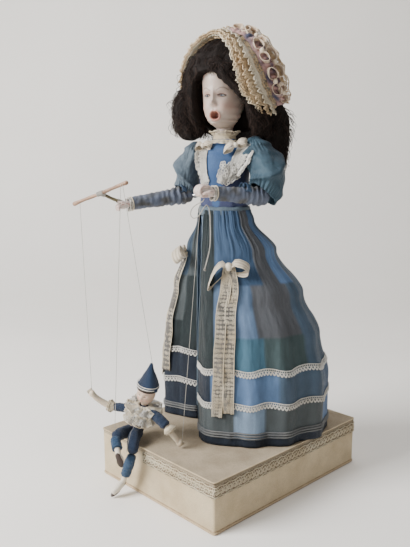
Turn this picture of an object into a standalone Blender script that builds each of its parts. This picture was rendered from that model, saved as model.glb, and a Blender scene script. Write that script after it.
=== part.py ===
"""Musical automaton: a doll in a silk gown works a small marionette from a covered base.

Units are metres, +Z is up, the front of the base looks along -Y and the origin is the
middle of the base's underside. The doll has its own frame, turned on the base.
"""
import math
from typing import NamedTuple

import bmesh
import bpy
from mathutils import Matrix, Vector

MM = 0.001
GAP = 0.3 * MM

# Base
BASE_WIDTH = 230 * MM
BASE_DEPTH = 295 * MM
BASE_HEIGHT = 70 * MM
BASE_WALL = 8 * MM
BOTTOM_THICK = 5 * MM
TOP_THICK = 6 * MM
BASE_CORNER = 3 * MM
SCREW_SHANK = 1.3 * MM
SCREW_HEAD = 2.8 * MM
SCREW_LENGTH = 15 * MM
BRAID_WIDTH = 16 * MM
BRAID_THICK = 1.0 * MM
BRAID_DROP = 5 * MM
BRAID_START_X = -22 * MM

# Doll's place on the base and its turn towards the right
FIGURE_X = 2 * MM
FIGURE_Y = -18 * MM
FIGURE_TURN = math.radians(20)

# Support post and head shaft
POST_RADIUS = 6.5 * MM
POST_FOOT = 12 * MM
WAIST_HEIGHT = 378 * MM
SEAT_THICK = 6 * MM
SEAT_HALF_WIDTH = 29 * MM
SEAT_HALF_DEPTH = 23 * MM
SHAFT_RADIUS = 2.5 * MM
RUNNING_GAP = 0.5 * MM
HEAD_SHAFT_BOTTOM = 50 * MM
HEAD_SHAFT_TOP = WAIST_HEIGHT + 122 * MM
HEAD_CRANK = 14 * MM
CRANK_THICK = 3 * MM
CRANK_HALF_WIDTH = 2.6 * MM
CRANK_PIN = 1.2 * MM

# Clockwork: arbors run along Y between two upright plates
PLATE_THICK = 1.6 * MM
FRONT_PLATE_Y = 6 * MM
BACK_PLATE_Y = 52 * MM
PLATE_LEFT = -66 * MM
PLATE_RIGHT = 62 * MM
PLATE_TOP = 58 * MM
PILLAR_RADIUS = 2.5 * MM
PILLAR_INSET = 3.5 * MM
CYLINDER_X = 26 * MM
CYLINDER_Z = 34 * MM
BARREL_Z = 33 * MM
SECOND_Z = 35 * MM
MODULE_GREAT = 0.9 * MM
MODULE_FLY = 0.7 * MM
BARREL_TEETH = 42
CYLINDER_TEETH = 32
SECOND_TEETH = 36
PINION_LEAVES = 8
WHEEL_THICK = 2.8 * MM
BARREL_RADIUS = 16.5 * MM
BARREL_LENGTH = 29 * MM
BARREL_WALL = 1.5 * MM
ARBOR_RADIUS = 3 * MM
TRAIN_ARBOR = 1.3 * MM
CYLINDER_ARBOR = 2.2 * MM
CYLINDER_RADIUS = 9.5 * MM
PIN_HEIGHT = 1.0 * MM
PIN_COUNT = 26
GOLDEN_TURN = math.radians(131.8)
COMB_TEETH = 24
COMB_PITCH = 1.4 * MM
COMB_THICK = 1.0 * MM
COMB_TOOTH_LENGTH = 9 * MM
COMB_BACK = 8 * MM
FLY_REACH = 13 * MM
RATCHET_TEETH = 16
RATCHET_RADIUS = 9 * MM
RATCHET_DEPTH = 1.6 * MM
CLICK_DISTANCE = 14 * MM
SPRING_TURNS = 3.5
KEY_SQUARE = 2.0 * MM
KEY_SHANK = 4.2 * MM
KEY_LENGTH = 14 * MM
KEY_WING = 8 * MM
KEY_THICK = 2.6 * MM
STOP_RADIUS = 1.2 * MM
STOP_X = -61 * MM
STOP_KNOB = 4 * MM

# Cams, levers and pull rods
CAM_RADIUS = 13 * MM
CAM_LIFT = 4.5 * MM
CAM_THICK = 3 * MM
LEVER_PIVOT_X = 50 * MM
LEVER_PIVOT_Z = 18 * MM
LEVER_THICK = 3 * MM
LEVER_HEIGHT = 5.5 * MM
PIVOT_PIN = 1.5 * MM
FRAME_THICK = 1.7 * MM
HEAD_LEVER_PIVOT_Z = 12 * MM
HEAD_LEVER_TRAVEL = 1.9 * MM
ROD_RADIUS = 1.2 * MM
ROD_PLAY = 0.8 * MM
EYE_WALL = 1.6 * MM
ROD_COLLAR = 3.2 * MM
ROD_COLLAR_THICK = 2.2 * MM
LEVER_TILT_ROOM = 0.45 * MM
CRANK_TILT_ROOM = 1.0 * MM
CRANK_PLAY = 1.2 * MM

# Arms: each forearm turns on a shaft across the doll
ELBOW_HEIGHT = WAIST_HEIGHT + 27 * MM
RIGHT_ELBOW = (-53 * MM, -15 * MM, ELBOW_HEIGHT)
LEFT_ELBOW = (60 * MM, -17 * MM, ELBOW_HEIGHT)
RIGHT_CRANK = 16 * MM
LEFT_CRANK = 17 * MM
RIGHT_CRANK_X = -16 * MM
LEFT_CRANK_X = 9 * MM
ARM_SHAFT = 2.0 * MM
RIGHT_WRIST = (-100 * MM, -82 * MM, ELBOW_HEIGHT - 10 * MM)
LEFT_WRIST = (19 * MM, -72 * MM, ELBOW_HEIGHT + 6 * MM)
FOREARM_RADIUS = 10.2 * MM
CUFF_SHARE = 0.9
FIST_RADIUS = 10.5 * MM
ELBOW_HOLE = 4.0 * MM

# Gown
CLOTH = 2.0 * MM

# Control bar and marionette, in the base's own frame
BAR_JOINT = (-71 * MM, -171 * MM, ELBOW_HEIGHT + 4 * MM)
BAR_LEFT = (-113 * MM, -184 * MM, ELBOW_HEIGHT - 10 * MM)
BAR_RIGHT = (-31 * MM, -160 * MM, ELBOW_HEIGHT + 19 * MM)
BAR_RADIUS = 2.4 * MM
STRING_RADIUS = 0.3 * MM
CORD_RADIUS = 0.7 * MM


def millimetres(values):
    """Turn a point written in millimetres into a vector in metres."""
    return Vector(values) * MM


def doll_matrix():
    """Give the matrix that turns the doll's frame, whose heights count from the underside of the base."""
    return Matrix.Translation((FIGURE_X, FIGURE_Y, 0)) @ Matrix.Rotation(FIGURE_TURN, 4, "Z")


DOLL = doll_matrix()
FIGURE = Matrix.Translation((0, 0, WAIST_HEIGHT)) @ DOLL
WORLD = Matrix.Identity(4)
ALONG_Y = Matrix.Rotation(math.radians(90), 4, "X")


def clear_scene():
    """Remove every object of the open file."""
    for thing in list(bpy.data.objects):
        bpy.data.objects.remove(thing, do_unlink=True)


def finish(name, colour, roughness, metallic=0.0):
    """Make a Principled material."""
    made = bpy.data.materials.new(name)
    made.use_nodes = True
    shader = made.node_tree.nodes["Principled BSDF"]
    shader.inputs["Base Color"].default_value = (*colour, 1.0)
    shader.inputs["Roughness"].default_value = roughness
    shader.inputs["Metallic"].default_value = metallic
    made.diffuse_color = (*colour, 1.0)
    return made


def make_finishes():
    """Make the finishes that the pieces share."""
    return {
        "cover": finish("cover_cloth", (0.62, 0.54, 0.42), 0.9),
        "braid": finish("gold_braid", (0.66, 0.57, 0.40), 0.7),
        "wood": finish("pale_wood", (0.45, 0.30, 0.17), 0.6),
        "bar": finish("bar_wood", (0.30, 0.15, 0.08), 0.5),
        "brass": finish("brass", (0.72, 0.53, 0.25), 0.35, 1.0),
        "steel": finish("steel", (0.50, 0.50, 0.52), 0.35, 1.0),
        "card": finish("moulded_card", (0.55, 0.47, 0.36), 0.9),
        "silk": finish("blue_silk", (0.09, 0.18, 0.30), 0.5),
        "light_silk": finish("light_blue_silk", (0.16, 0.30, 0.44), 0.5),
        "bisque": finish("bisque", (0.72, 0.66, 0.62), 0.45),
        "hair": finish("dark_hair", (0.03, 0.02, 0.02), 0.6),
        "lace": finish("cream_lace", (0.74, 0.66, 0.52), 0.85),
        "thread": finish("thread", (0.55, 0.53, 0.48), 0.8),
        "navy": finish("navy_cotton", (0.03, 0.06, 0.14), 0.8),
        "trousers": finish("blue_cotton", (0.07, 0.14, 0.24), 0.8),
    }


def add_object(name, shape, material, origin=None, smooth_angle=40.0):
    """Make a named object from a bmesh in world space, with its origin at a chosen point."""
    bmesh.ops.recalc_face_normals(shape, faces=shape.faces)
    mesh = bpy.data.meshes.new(name)
    if origin is not None:
        bmesh.ops.translate(shape, verts=shape.verts, vec=-Vector(origin))
    shape.to_mesh(mesh)
    shape.free()
    mesh.materials.append(material)
    mesh.shade_smooth()
    mesh.set_sharp_from_angle(angle=math.radians(smooth_angle))
    thing = bpy.data.objects.new(name, mesh)
    if origin is not None:
        thing.location = Vector(origin)
    bpy.context.scene.collection.objects.link(thing)
    return thing


def tool(name, shape):
    """Make a hidden object that cuts or joins others."""
    bmesh.ops.recalc_face_normals(shape, faces=shape.faces)
    mesh = bpy.data.meshes.new(name)
    shape.to_mesh(mesh)
    shape.free()
    thing = bpy.data.objects.new(name, mesh)
    thing.hide_render = True
    thing.display_type = "WIRE"
    bpy.context.scene.collection.objects.link(thing)
    return thing


def combine(thing, operation, shapes):
    """Join shapes to an object or cut them from it, one Boolean modifier each."""
    for number, shape in enumerate(shapes):
        helper = tool(f"{thing.name}_{operation.lower()}_{len(thing.modifiers)}_{number}", shape)
        modifier = thing.modifiers.new(helper.name, "BOOLEAN")
        modifier.operation = operation
        modifier.solver = "EXACT"
        modifier.object = helper


def grid_solid(rings, ends, matrix=WORLD):
    """Skin rings of points of equal count.

    ends is "caps" to close both ends, or "loop" to join the last ring to the first.
    A ring of one point is a pole.
    """
    shape = bmesh.new()
    rows = [[shape.verts.new(matrix @ Vector(point)) for point in ring] for ring in rings]
    pairs = list(zip(rows, rows[1:]))
    if ends == "loop":
        pairs.append((rows[-1], rows[0]))
    for low, high in pairs:
        count = max(len(low), len(high))
        for index in range(count):
            after = (index + 1) % count
            if len(low) == 1:
                shape.faces.new((low[0], high[after], high[index]))
            elif len(high) == 1:
                shape.faces.new((low[index], low[after], high[0]))
            else:
                shape.faces.new((low[index], low[after], high[after], high[index]))
    if ends == "caps":
        for row in (rows[0], rows[-1]):
            if len(row) > 2:
                shape.faces.new(row)
    return shape


def slab(outer, inner):
    """Close two open grids of the same size into one solid sheet with a thickness."""
    shape = bmesh.new()
    front = [[shape.verts.new(point) for point in row] for row in outer]
    back = [[shape.verts.new(point) for point in row] for row in inner]
    last_row = len(outer) - 1
    last_column = len(outer[0]) - 1
    for i in range(last_row):
        for j in range(last_column):
            shape.faces.new((front[i][j], front[i][j + 1], front[i + 1][j + 1], front[i + 1][j]))
            shape.faces.new((back[i][j], back[i + 1][j], back[i + 1][j + 1], back[i][j + 1]))
    for j in range(last_column):
        shape.faces.new((front[0][j], back[0][j], back[0][j + 1], front[0][j + 1]))
        shape.faces.new((front[last_row][j], front[last_row][j + 1],
                         back[last_row][j + 1], back[last_row][j]))
    for i in range(last_row):
        shape.faces.new((front[i][0], front[i + 1][0], back[i + 1][0], back[i][0]))
        shape.faces.new((front[i][last_column], back[i][last_column],
                         back[i + 1][last_column], front[i + 1][last_column]))
    return shape


def prism(outline, low, high, matrix=WORLD):
    """Extrude a flat outline between two heights."""
    rings = [[(x, y, height) for x, y in outline] for height in (low, high)]
    return grid_solid(rings, "caps", matrix)


def box(corner, opposite):
    """Make a box from two opposite corners in world space."""
    (x0, y0, z0), (x1, y1, z1) = corner, opposite
    return prism(((x0, y0), (x1, y0), (x1, y1), (x0, y1)), z0, z1)


def circle(radius, count, x=0.0, y=0.0):
    """List the points of a circle."""
    turn = 2 * math.pi / count
    return [(x + radius * math.cos(turn * k), y + radius * math.sin(turn * k)) for k in range(count)]


def lathe(profile, count, matrix=WORLD, ends="caps"):
    """Turn a profile of (radius, height) about Z; a radius of nought is a pole."""
    rings = []
    for radius, height in profile:
        if radius == 0:
            rings.append([(0, 0, height)])
        else:
            rings.append([(x, y, height) for x, y in circle(radius, count)])
    return grid_solid(rings, ends, matrix)


def arbor_matrix(x, z, y=0.0):
    """Place a turned shape on an arbor: its own Z runs along +Y from y."""
    return Matrix.Translation((x, y, z)) @ Matrix.Rotation(math.radians(-90), 4, "X")


def rod_between(start, end, radius, count=8):
    """Make a straight round bar between two points."""
    start, end = Vector(start), Vector(end)
    turn = (end - start).to_track_quat("Z", "Y").to_matrix().to_4x4()
    length = (end - start).length
    return lathe(((radius, 0), (radius, length)), count, Matrix.Translation(start) @ turn)


def limb(points, radii, count, round_start=False, round_end=False):
    """Skin a tapering limb along points, square to its path, with flat or round ends."""
    points = [Vector(point) for point in points]
    stations = []
    if round_start:
        back = (points[0] - points[1]).normalized()
        for reach, share in ((1.0, 0.0), (0.8, 0.6), (0.4, 0.92)):
            stations.append((points[0] + back * radii[0] * reach, radii[0] * share))
    stations.extend(zip(points, radii))
    if round_end:
        ahead = (points[-1] - points[-2]).normalized()
        for reach, share in ((0.4, 0.92), (0.8, 0.6), (1.0, 0.0)):
            stations.append((points[-1] + ahead * radii[-1] * reach, radii[-1] * share))
    rings = []
    side = None
    for index, (centre, radius) in enumerate(stations):
        before = stations[max(index - 1, 0)][0]
        after = stations[min(index + 1, len(stations) - 1)][0]
        ahead = (after - before).normalized()
        if side is None:
            side = ahead.orthogonal().normalized()
        side = (side - ahead * side.dot(ahead)).normalized()
        other = ahead.cross(side)
        if radius == 0:
            rings.append([centre])
            continue
        rings.append([centre + side * x + other * y for x, y in circle(radius, count)])
    return grid_solid(rings, "caps")


def smooth_through(keys, value):
    """Read a smooth curve through (position, amount) keys."""
    if value <= keys[0][0]:
        return keys[0][1]
    for (low, first), (high, second) in zip(keys, keys[1:]):
        if value <= high:
            share = (value - low) / (high - low)
            share = share * share * (3 - 2 * share)
            return first + (second - first) * share
    return keys[-1][1]


def rounded_rectangle(width, depth, radius, steps=3):
    """List a rectangle with round corners, counter-clockwise from the right front corner."""
    points = []
    for corner, (sx, sy) in enumerate(((1, -1), (1, 1), (-1, 1), (-1, -1))):
        centre_x = sx * (width / 2 - radius)
        centre_y = sy * (depth / 2 - radius)
        for step in range(steps + 1):
            angle = math.radians(-90 + 90 * corner + 90 * step / steps)
            points.append((centre_x + radius * math.cos(angle), centre_y + radius * math.sin(angle)))
    return points


def screw_places():
    """List the four screws that hold the bottom board to the case."""
    x = (BASE_WIDTH - BASE_WALL) / 2
    y = BASE_DEPTH * 0.38
    return [(side * x, along) for side in (-1, 1) for along in (-y, y)]


def make_base(look):
    """Make the covered case, its boards, screws and braid."""
    outline = rounded_rectangle(BASE_WIDTH, BASE_DEPTH, BASE_CORNER)
    inner = rounded_rectangle(BASE_WIDTH - 2 * BASE_WALL, BASE_DEPTH - 2 * BASE_WALL, BASE_CORNER)
    low = BOTTOM_THICK + GAP
    high = BASE_HEIGHT - TOP_THICK - GAP
    rings = [[(x, y, z) for x, y in line]
             for line, z in ((outline, low), (outline, high), (inner, high), (inner, low))]
    case = add_object("base_case", grid_solid(rings, "loop"), look["cover"])
    bottom = add_object("bottom_board", prism(outline, 0, BOTTOM_THICK), look["wood"])
    top = add_object("top_board", prism(outline, BASE_HEIGHT - TOP_THICK, BASE_HEIGHT), look["cover"])

    neck = GAP + SCREW_HEAD - SCREW_SHANK
    profile = ((0, GAP), (SCREW_HEAD, GAP), (SCREW_SHANK, neck),
               (SCREW_SHANK, SCREW_LENGTH - SCREW_SHANK), (0, SCREW_LENGTH))
    hole = ((0, -MM), (SCREW_HEAD + GAP, -MM), (SCREW_HEAD + GAP, GAP), (SCREW_SHANK + GAP, neck),
            (SCREW_SHANK + GAP, SCREW_LENGTH + GAP), (0, SCREW_LENGTH + GAP))
    holes = bmesh.new()
    for number, (x, y) in enumerate(screw_places(), 1):
        place = Matrix.Translation((x, y, 0))
        add_object(f"base_screw_{number}", lathe(profile, 10, place), look["steel"])
        append(holes, lathe(hole, 10, place))
    combine(bottom, "DIFFERENCE", [holes.copy()])
    back_y = BASE_DEPTH / 2
    through = [lathe(((ARBOR_RADIUS + RUNNING_GAP, -BASE_WALL * 2), (ARBOR_RADIUS + RUNNING_GAP, MM)), 16,
                     arbor_matrix(barrel_x(), BARREL_Z, back_y)),
               lathe(((STOP_RADIUS + RUNNING_GAP, -BASE_WALL * 2), (STOP_RADIUS + RUNNING_GAP, MM)), 12,
                     arbor_matrix(STOP_X, SECOND_Z, back_y))]
    combine(case, "DIFFERENCE", [holes] + through)

    well = [lathe(((SHAFT_RADIUS + RUNNING_GAP, BASE_HEIGHT - 2 * TOP_THICK),
                   (SHAFT_RADIUS + RUNNING_GAP, BASE_HEIGHT + TOP_THICK)), 12,
                  Matrix.Translation((FIGURE_X, FIGURE_Y, 0)))]
    for rod in (right_rod(), left_rod()):
        well.append(lathe(((ROD_RADIUS + ROD_PLAY, BASE_HEIGHT - 2 * TOP_THICK),
                           (ROD_RADIUS + ROD_PLAY, BASE_HEIGHT + TOP_THICK)), 10,
                          Matrix.Translation((rod.x, rod.y, 0))))
    combine(top, "DIFFERENCE", well)
    make_braid(look)


def polar(x, y, distance, degrees):
    """Give the flat point at a distance and a direction from another."""
    angle = math.radians(degrees)
    return x + distance * math.cos(angle), y + distance * math.sin(angle)


def append(target, extra):
    """Add one bmesh to another as a body of its own."""
    mesh = bpy.data.meshes.new("part_of_group")
    extra.to_mesh(mesh)
    extra.free()
    target.from_mesh(mesh)
    bpy.data.meshes.remove(mesh)


def make_braid(look):
    """Make the braid band that runs from the front round three sides."""
    top = BASE_HEIGHT - BRAID_DROP
    bottom = top - BRAID_WIDTH
    lines = []
    for offset in (GAP, GAP + BRAID_THICK):
        path = rounded_rectangle(BASE_WIDTH + 2 * offset, BASE_DEPTH + 2 * offset, BASE_CORNER + offset)
        start = (BRAID_START_X, -BASE_DEPTH / 2 - offset)
        lines.append([start] + path[:12] + [(-BASE_WIDTH / 2 - offset, -BASE_DEPTH / 2 + BASE_CORNER)])
    inner, outer = lines
    outer_grid = [[Vector((x, y, z)) for x, y in outer] for z in (bottom, top)]
    inner_grid = [[Vector((x, y, z)) for x, y in inner] for z in (bottom, top)]
    add_object("trim_braid", slab(outer_grid, inner_grid), look["braid"])


def pitch_radius(teeth, module):
    """Give a gear's pitch radius."""
    return teeth * module / 2


def gear_outline(teeth, module, phase, wheel=True):
    """List a gear's outline with four points to a tooth."""
    shares = (0.50, 0.20, 0.85, 1.15) if wheel else (0.44, 0.16, 0.75, 1.3)
    root_share, tip_share, addendum, dedendum = shares
    radius = pitch_radius(teeth, module)
    pitch = 2 * math.pi / teeth
    points = []
    for tooth in range(teeth):
        middle = phase + tooth * pitch
        for share, reach in ((-root_share, -dedendum), (-tip_share, addendum),
                             (tip_share, addendum), (root_share, -dedendum)):
            angle = middle + share * pitch / 2
            distance = radius + reach * module
            points.append((distance * math.cos(angle), distance * math.sin(angle)))
    return points


def mesh_phase(phase, teeth, mate_teeth, module, direction):
    """Turn a mate so that its tooth stands in this gear's gap along the line of centres."""
    radius = pitch_radius(teeth, module)
    mate_radius = pitch_radius(mate_teeth, module)
    arc = (phase - direction) * radius + math.pi * module / 2
    return direction + math.pi - arc / mate_radius


def barrel_x():
    """Place the barrel so that its wheel meshes with the cylinder's."""
    reach = pitch_radius(BARREL_TEETH, MODULE_GREAT) + pitch_radius(CYLINDER_TEETH, MODULE_GREAT)
    return CYLINDER_X - math.sqrt(reach ** 2 - (CYLINDER_Z - BARREL_Z) ** 2)


def second_x():
    """Place the second arbor so that its pinion meshes with the barrel."""
    reach = pitch_radius(BARREL_TEETH, MODULE_GREAT) + pitch_radius(PINION_LEAVES, MODULE_GREAT)
    return barrel_x() - math.sqrt(reach ** 2 - (SECOND_Z - BARREL_Z) ** 2)


def fly_x():
    """Place the fly arbor level with the second arbor, its pinion in mesh."""
    return second_x() - pitch_radius(SECOND_TEETH, MODULE_FLY) - pitch_radius(PINION_LEAVES, MODULE_FLY)


def upright(x, z):
    """Place a flat outline in the XZ plane: its own Z runs along -Y."""
    return Matrix.Translation((x, 0, z)) @ ALONG_Y


def disc_at(outline, x, z, near, far):
    """Extrude an outline of the XZ plane from one Y to another."""
    return prism(outline, -far, -near, upright(x, z))


def wheel_layer():
    """Give the first and last Y of the great wheel's layer."""
    near = FRONT_PLATE_Y + PLATE_THICK + 1.4 * MM
    return near, near + WHEEL_THICK


def make_plates(look):
    """Make the two brass plates, the front one with its four pillars and the comb's block."""
    low = BOTTOM_THICK + GAP
    outline = ((PLATE_LEFT, low), (PLATE_RIGHT, low), (PLATE_RIGHT, PLATE_TOP), (PLATE_LEFT, PLATE_TOP))
    pivots = ((barrel_x(), BARREL_Z, ARBOR_RADIUS), (CYLINDER_X, CYLINDER_Z, CYLINDER_ARBOR),
              (second_x(), SECOND_Z, TRAIN_ARBOR), (fly_x(), SECOND_Z, TRAIN_ARBOR))
    for name, start in (("movement_front_plate", FRONT_PLATE_Y), ("movement_back_plate", BACK_PLATE_Y)):
        plate = add_object(name, disc_at(outline, 0, 0, start, start + PLATE_THICK), look["brass"])
        bores = bmesh.new()
        places = pivots + ((STOP_X, SECOND_Z, STOP_RADIUS),)
        for x, z, radius in places:
            append(bores, disc_at(circle(radius + GAP, 14), x, z, start - MM, start + PLATE_THICK + MM))
        combine(plate, "DIFFERENCE", [bores])
    front = bpy.data.objects["movement_front_plate"]
    seat = FRONT_PLATE_Y + 0.5 * PLATE_THICK
    posts = []
    for x in (PLATE_LEFT + PILLAR_INSET, PLATE_RIGHT - PILLAR_INSET):
        for z in (low + PILLAR_INSET, PLATE_TOP - PILLAR_INSET):
            pillar = ((PILLAR_RADIUS, seat), (PILLAR_RADIUS, BACK_PLATE_Y - GAP))
            posts.append(lathe(pillar, 10, arbor_matrix(x, z)))
    (start, end), root, back = comb_span()
    posts.append(box((root + 1.5 * MM, seat, low), (back, end, CYLINDER_Z - COMB_THICK / 2 - GAP)))
    combine(front, "UNION", posts)


def comb_span():
    """Give the comb's first and last Y, the X of its teeth's roots and the X of its back."""
    start = wheel_layer()[1] + 3 * MM
    root = CYLINDER_X + CYLINDER_RADIUS + PIN_HEIGHT + GAP + COMB_TOOTH_LENGTH
    return (start, start + COMB_TEETH * COMB_PITCH), root, root + COMB_BACK


def make_barrel(look):
    """Make the toothed going barrel, the mainspring in it and the winding work."""
    x = barrel_x()
    near, far = wheel_layer()
    axis = (x, near, BARREL_Z)
    bore = ARBOR_RADIUS + GAP
    teeth = disc_at(gear_outline(BARREL_TEETH, MODULE_GREAT, 0.0), x, BARREL_Z, near, far)
    barrel = add_object("spring_barrel", teeth, look["brass"], axis)
    start = far - MM
    end = start + BARREL_LENGTH
    drum = ((bore, start), (BARREL_RADIUS, start), (BARREL_RADIUS, end), (bore, end),
            (bore, end - BARREL_WALL), (BARREL_RADIUS - BARREL_WALL, end - BARREL_WALL),
            (BARREL_RADIUS - BARREL_WALL, start + BARREL_WALL + MM), (bore, start + BARREL_WALL + MM))
    combine(barrel, "UNION", [lathe(drum, 28, arbor_matrix(x, BARREL_Z), "loop")])
    combine(barrel, "DIFFERENCE", [disc_at(circle(bore, 28), x, BARREL_Z, near - MM, far + MM)])

    strip = 0.5 * MM
    inner_start = ARBOR_RADIUS + 2 * GAP
    outer_end = BARREL_RADIUS - BARREL_WALL - strip - 2 * GAP
    steps = 30
    inside, outside = [], []
    for step in range(steps + 1):
        angle = 2 * math.pi * SPRING_TURNS * step / steps
        radius = inner_start + (outer_end - inner_start) * step / steps
        inside.append((x + radius * math.cos(angle), BARREL_Z + radius * math.sin(angle)))
        radius += strip
        outside.append((x + radius * math.cos(angle), BARREL_Z + radius * math.sin(angle)))
    span = (start + BARREL_WALL + MM + GAP, end - BARREL_WALL - GAP)
    outer_grid = [[Vector((px, y, pz)) for px, pz in outside] for y in span]
    inner_grid = [[Vector((px, y, pz)) for px, pz in inside] for y in span]
    add_object("mainspring", slab(outer_grid, inner_grid), look["steel"], axis)

    back = BASE_DEPTH / 2
    square_start = back + 2 * MM
    square_end = square_start + KEY_LENGTH - 3 * MM
    round_part = ((ARBOR_RADIUS, FRONT_PLATE_Y), (ARBOR_RADIUS, square_start))
    arbor = add_object("winding_arbor", lathe(round_part, 16, arbor_matrix(x, BARREL_Z)), look["steel"], axis)
    side = KEY_SQUARE
    square = ((-side, -side), (side, -side), (side, side), (-side, side))
    ratchet_y = BACK_PLATE_Y + PLATE_THICK + 4 * GAP
    ratchet = []
    for tooth in range(RATCHET_TEETH):
        pitch = 2 * math.pi / RATCHET_TEETH
        for share, radius in ((0.0, RATCHET_RADIUS), (0.12, RATCHET_RADIUS - RATCHET_DEPTH)):
            angle = (tooth + share) * pitch
            ratchet.append((radius * math.cos(angle), radius * math.sin(angle)))
    combine(arbor, "UNION", [disc_at(square, x, BARREL_Z, square_start - MM, square_end),
                             disc_at(ratchet, x, BARREL_Z, ratchet_y, ratchet_y + 2 * MM)])

    click_x, click_z = polar(x, BARREL_Z, CLICK_DISTANCE, 50)
    tip = RATCHET_RADIUS + GAP
    pawl = [(click_x + 3 * MM, click_z - 1 * MM), (click_x + 2 * MM, click_z + 3 * MM),
            (click_x - 3 * MM, click_z + 2 * MM), polar(x, BARREL_Z, tip + 2.4 * MM, 80),
            polar(x, BARREL_Z, tip, 80), polar(x, BARREL_Z, tip + 0.8 * MM, 68)]
    click = add_object("ratchet_click", disc_at(pawl, 0, 0, ratchet_y, ratchet_y + 1.8 * MM), look["steel"])
    stud_start = BACK_PLATE_Y + PLATE_THICK + GAP
    stud = disc_at(circle(1.5 * MM, 8), click_x, click_z, stud_start, ratchet_y + 0.9 * MM)
    combine(click, "UNION", [stud])

    shank = square_start + GAP
    shank_end = shank + KEY_LENGTH
    bore = KEY_SQUARE * math.sqrt(2) + GAP
    profile = ((0, square_end + GAP), (bore, square_end + GAP), (bore, shank),
               (KEY_SHANK, shank), (KEY_SHANK, shank_end), (0, shank_end + 1.5 * MM))
    key = add_object("winding_key", lathe(profile, 16, arbor_matrix(x, BARREL_Z)), look["steel"], axis)
    wing_y = shank_end + 4 * MM
    wings = [prism(circle(KEY_WING, 18, x + side * KEY_WING * 0.85, wing_y), BARREL_Z - KEY_THICK / 2,
                   BARREL_Z + KEY_THICK / 2) for side in (-1, 1)]
    combine(key, "UNION", wings)
    holes = [prism(circle(KEY_WING * 0.45, 12, x + side * KEY_WING, wing_y), BARREL_Z - KEY_THICK,
                   BARREL_Z + KEY_THICK) for side in (-1, 1)]
    combine(key, "DIFFERENCE", holes)


def make_train(look):
    """Make the second wheel and the fly that keeps the speed down."""
    near, far = wheel_layer()
    mate_near = BACK_PLATE_Y - 9 * MM
    mate_far = mate_near + 2 * MM
    direction = math.atan2(SECOND_Z - BARREL_Z, second_x() - barrel_x())
    phase = mesh_phase(0.0, BARREL_TEETH, PINION_LEAVES, MODULE_GREAT, direction)
    pivot_start = FRONT_PLATE_Y + GAP
    pivot_end = BACK_PLATE_Y + PLATE_THICK
    rod = ((TRAIN_ARBOR, pivot_start), (TRAIN_ARBOR, pivot_end))

    second = add_object("second_wheel", lathe(rod, 10, arbor_matrix(second_x(), SECOND_Z)), look["brass"],
                        (second_x(), near, SECOND_Z))
    pinion = disc_at(gear_outline(PINION_LEAVES, MODULE_GREAT, phase, False), second_x(), SECOND_Z,
                     near - 0.4 * MM, far + 0.4 * MM)
    wheel = disc_at(gear_outline(SECOND_TEETH, MODULE_FLY, phase), second_x(), SECOND_Z, mate_near, mate_far)
    combine(second, "UNION", [pinion, wheel])

    fly_phase = mesh_phase(phase, SECOND_TEETH, PINION_LEAVES, MODULE_FLY, math.pi)
    fly = add_object("fly_governor", lathe(rod, 10, arbor_matrix(fly_x(), SECOND_Z)), look["brass"],
                     (fly_x(), near, SECOND_Z))
    leaves = disc_at(gear_outline(PINION_LEAVES, MODULE_FLY, fly_phase, False), fly_x(), SECOND_Z,
                     mate_near - 0.4 * MM, mate_far + 0.4 * MM)
    vane = ((-FLY_REACH, -0.5 * MM), (FLY_REACH, -0.5 * MM), (FLY_REACH, 0.5 * MM), (-FLY_REACH, 0.5 * MM))
    blades = disc_at(vane, fly_x(), SECOND_Z, far + 3 * MM, mate_near - 5 * MM)
    combine(fly, "UNION", [leaves, blades])


def cam_outline(lift, lobes, lobe_angle):
    """List a cam that reaches its full radius at the lobe angle and falls away smoothly."""
    points = []
    count = 36
    for step in range(count):
        angle = 2 * math.pi * step / count
        wave = 0.5 + 0.5 * math.cos(lobes * (angle - lobe_angle))
        radius = CAM_RADIUS - lift * (1 - wave)
        points.append((radius * math.cos(angle), radius * math.sin(angle)))
    return points


def cam_layers():
    """Give each cam's middle Y: the arms' cams stand over their levers."""
    return {"right_arm_cam": right_rod().y, "left_arm_cam": left_rod().y,
            "head_cam": FIGURE_Y + HEAD_CRANK}


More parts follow.
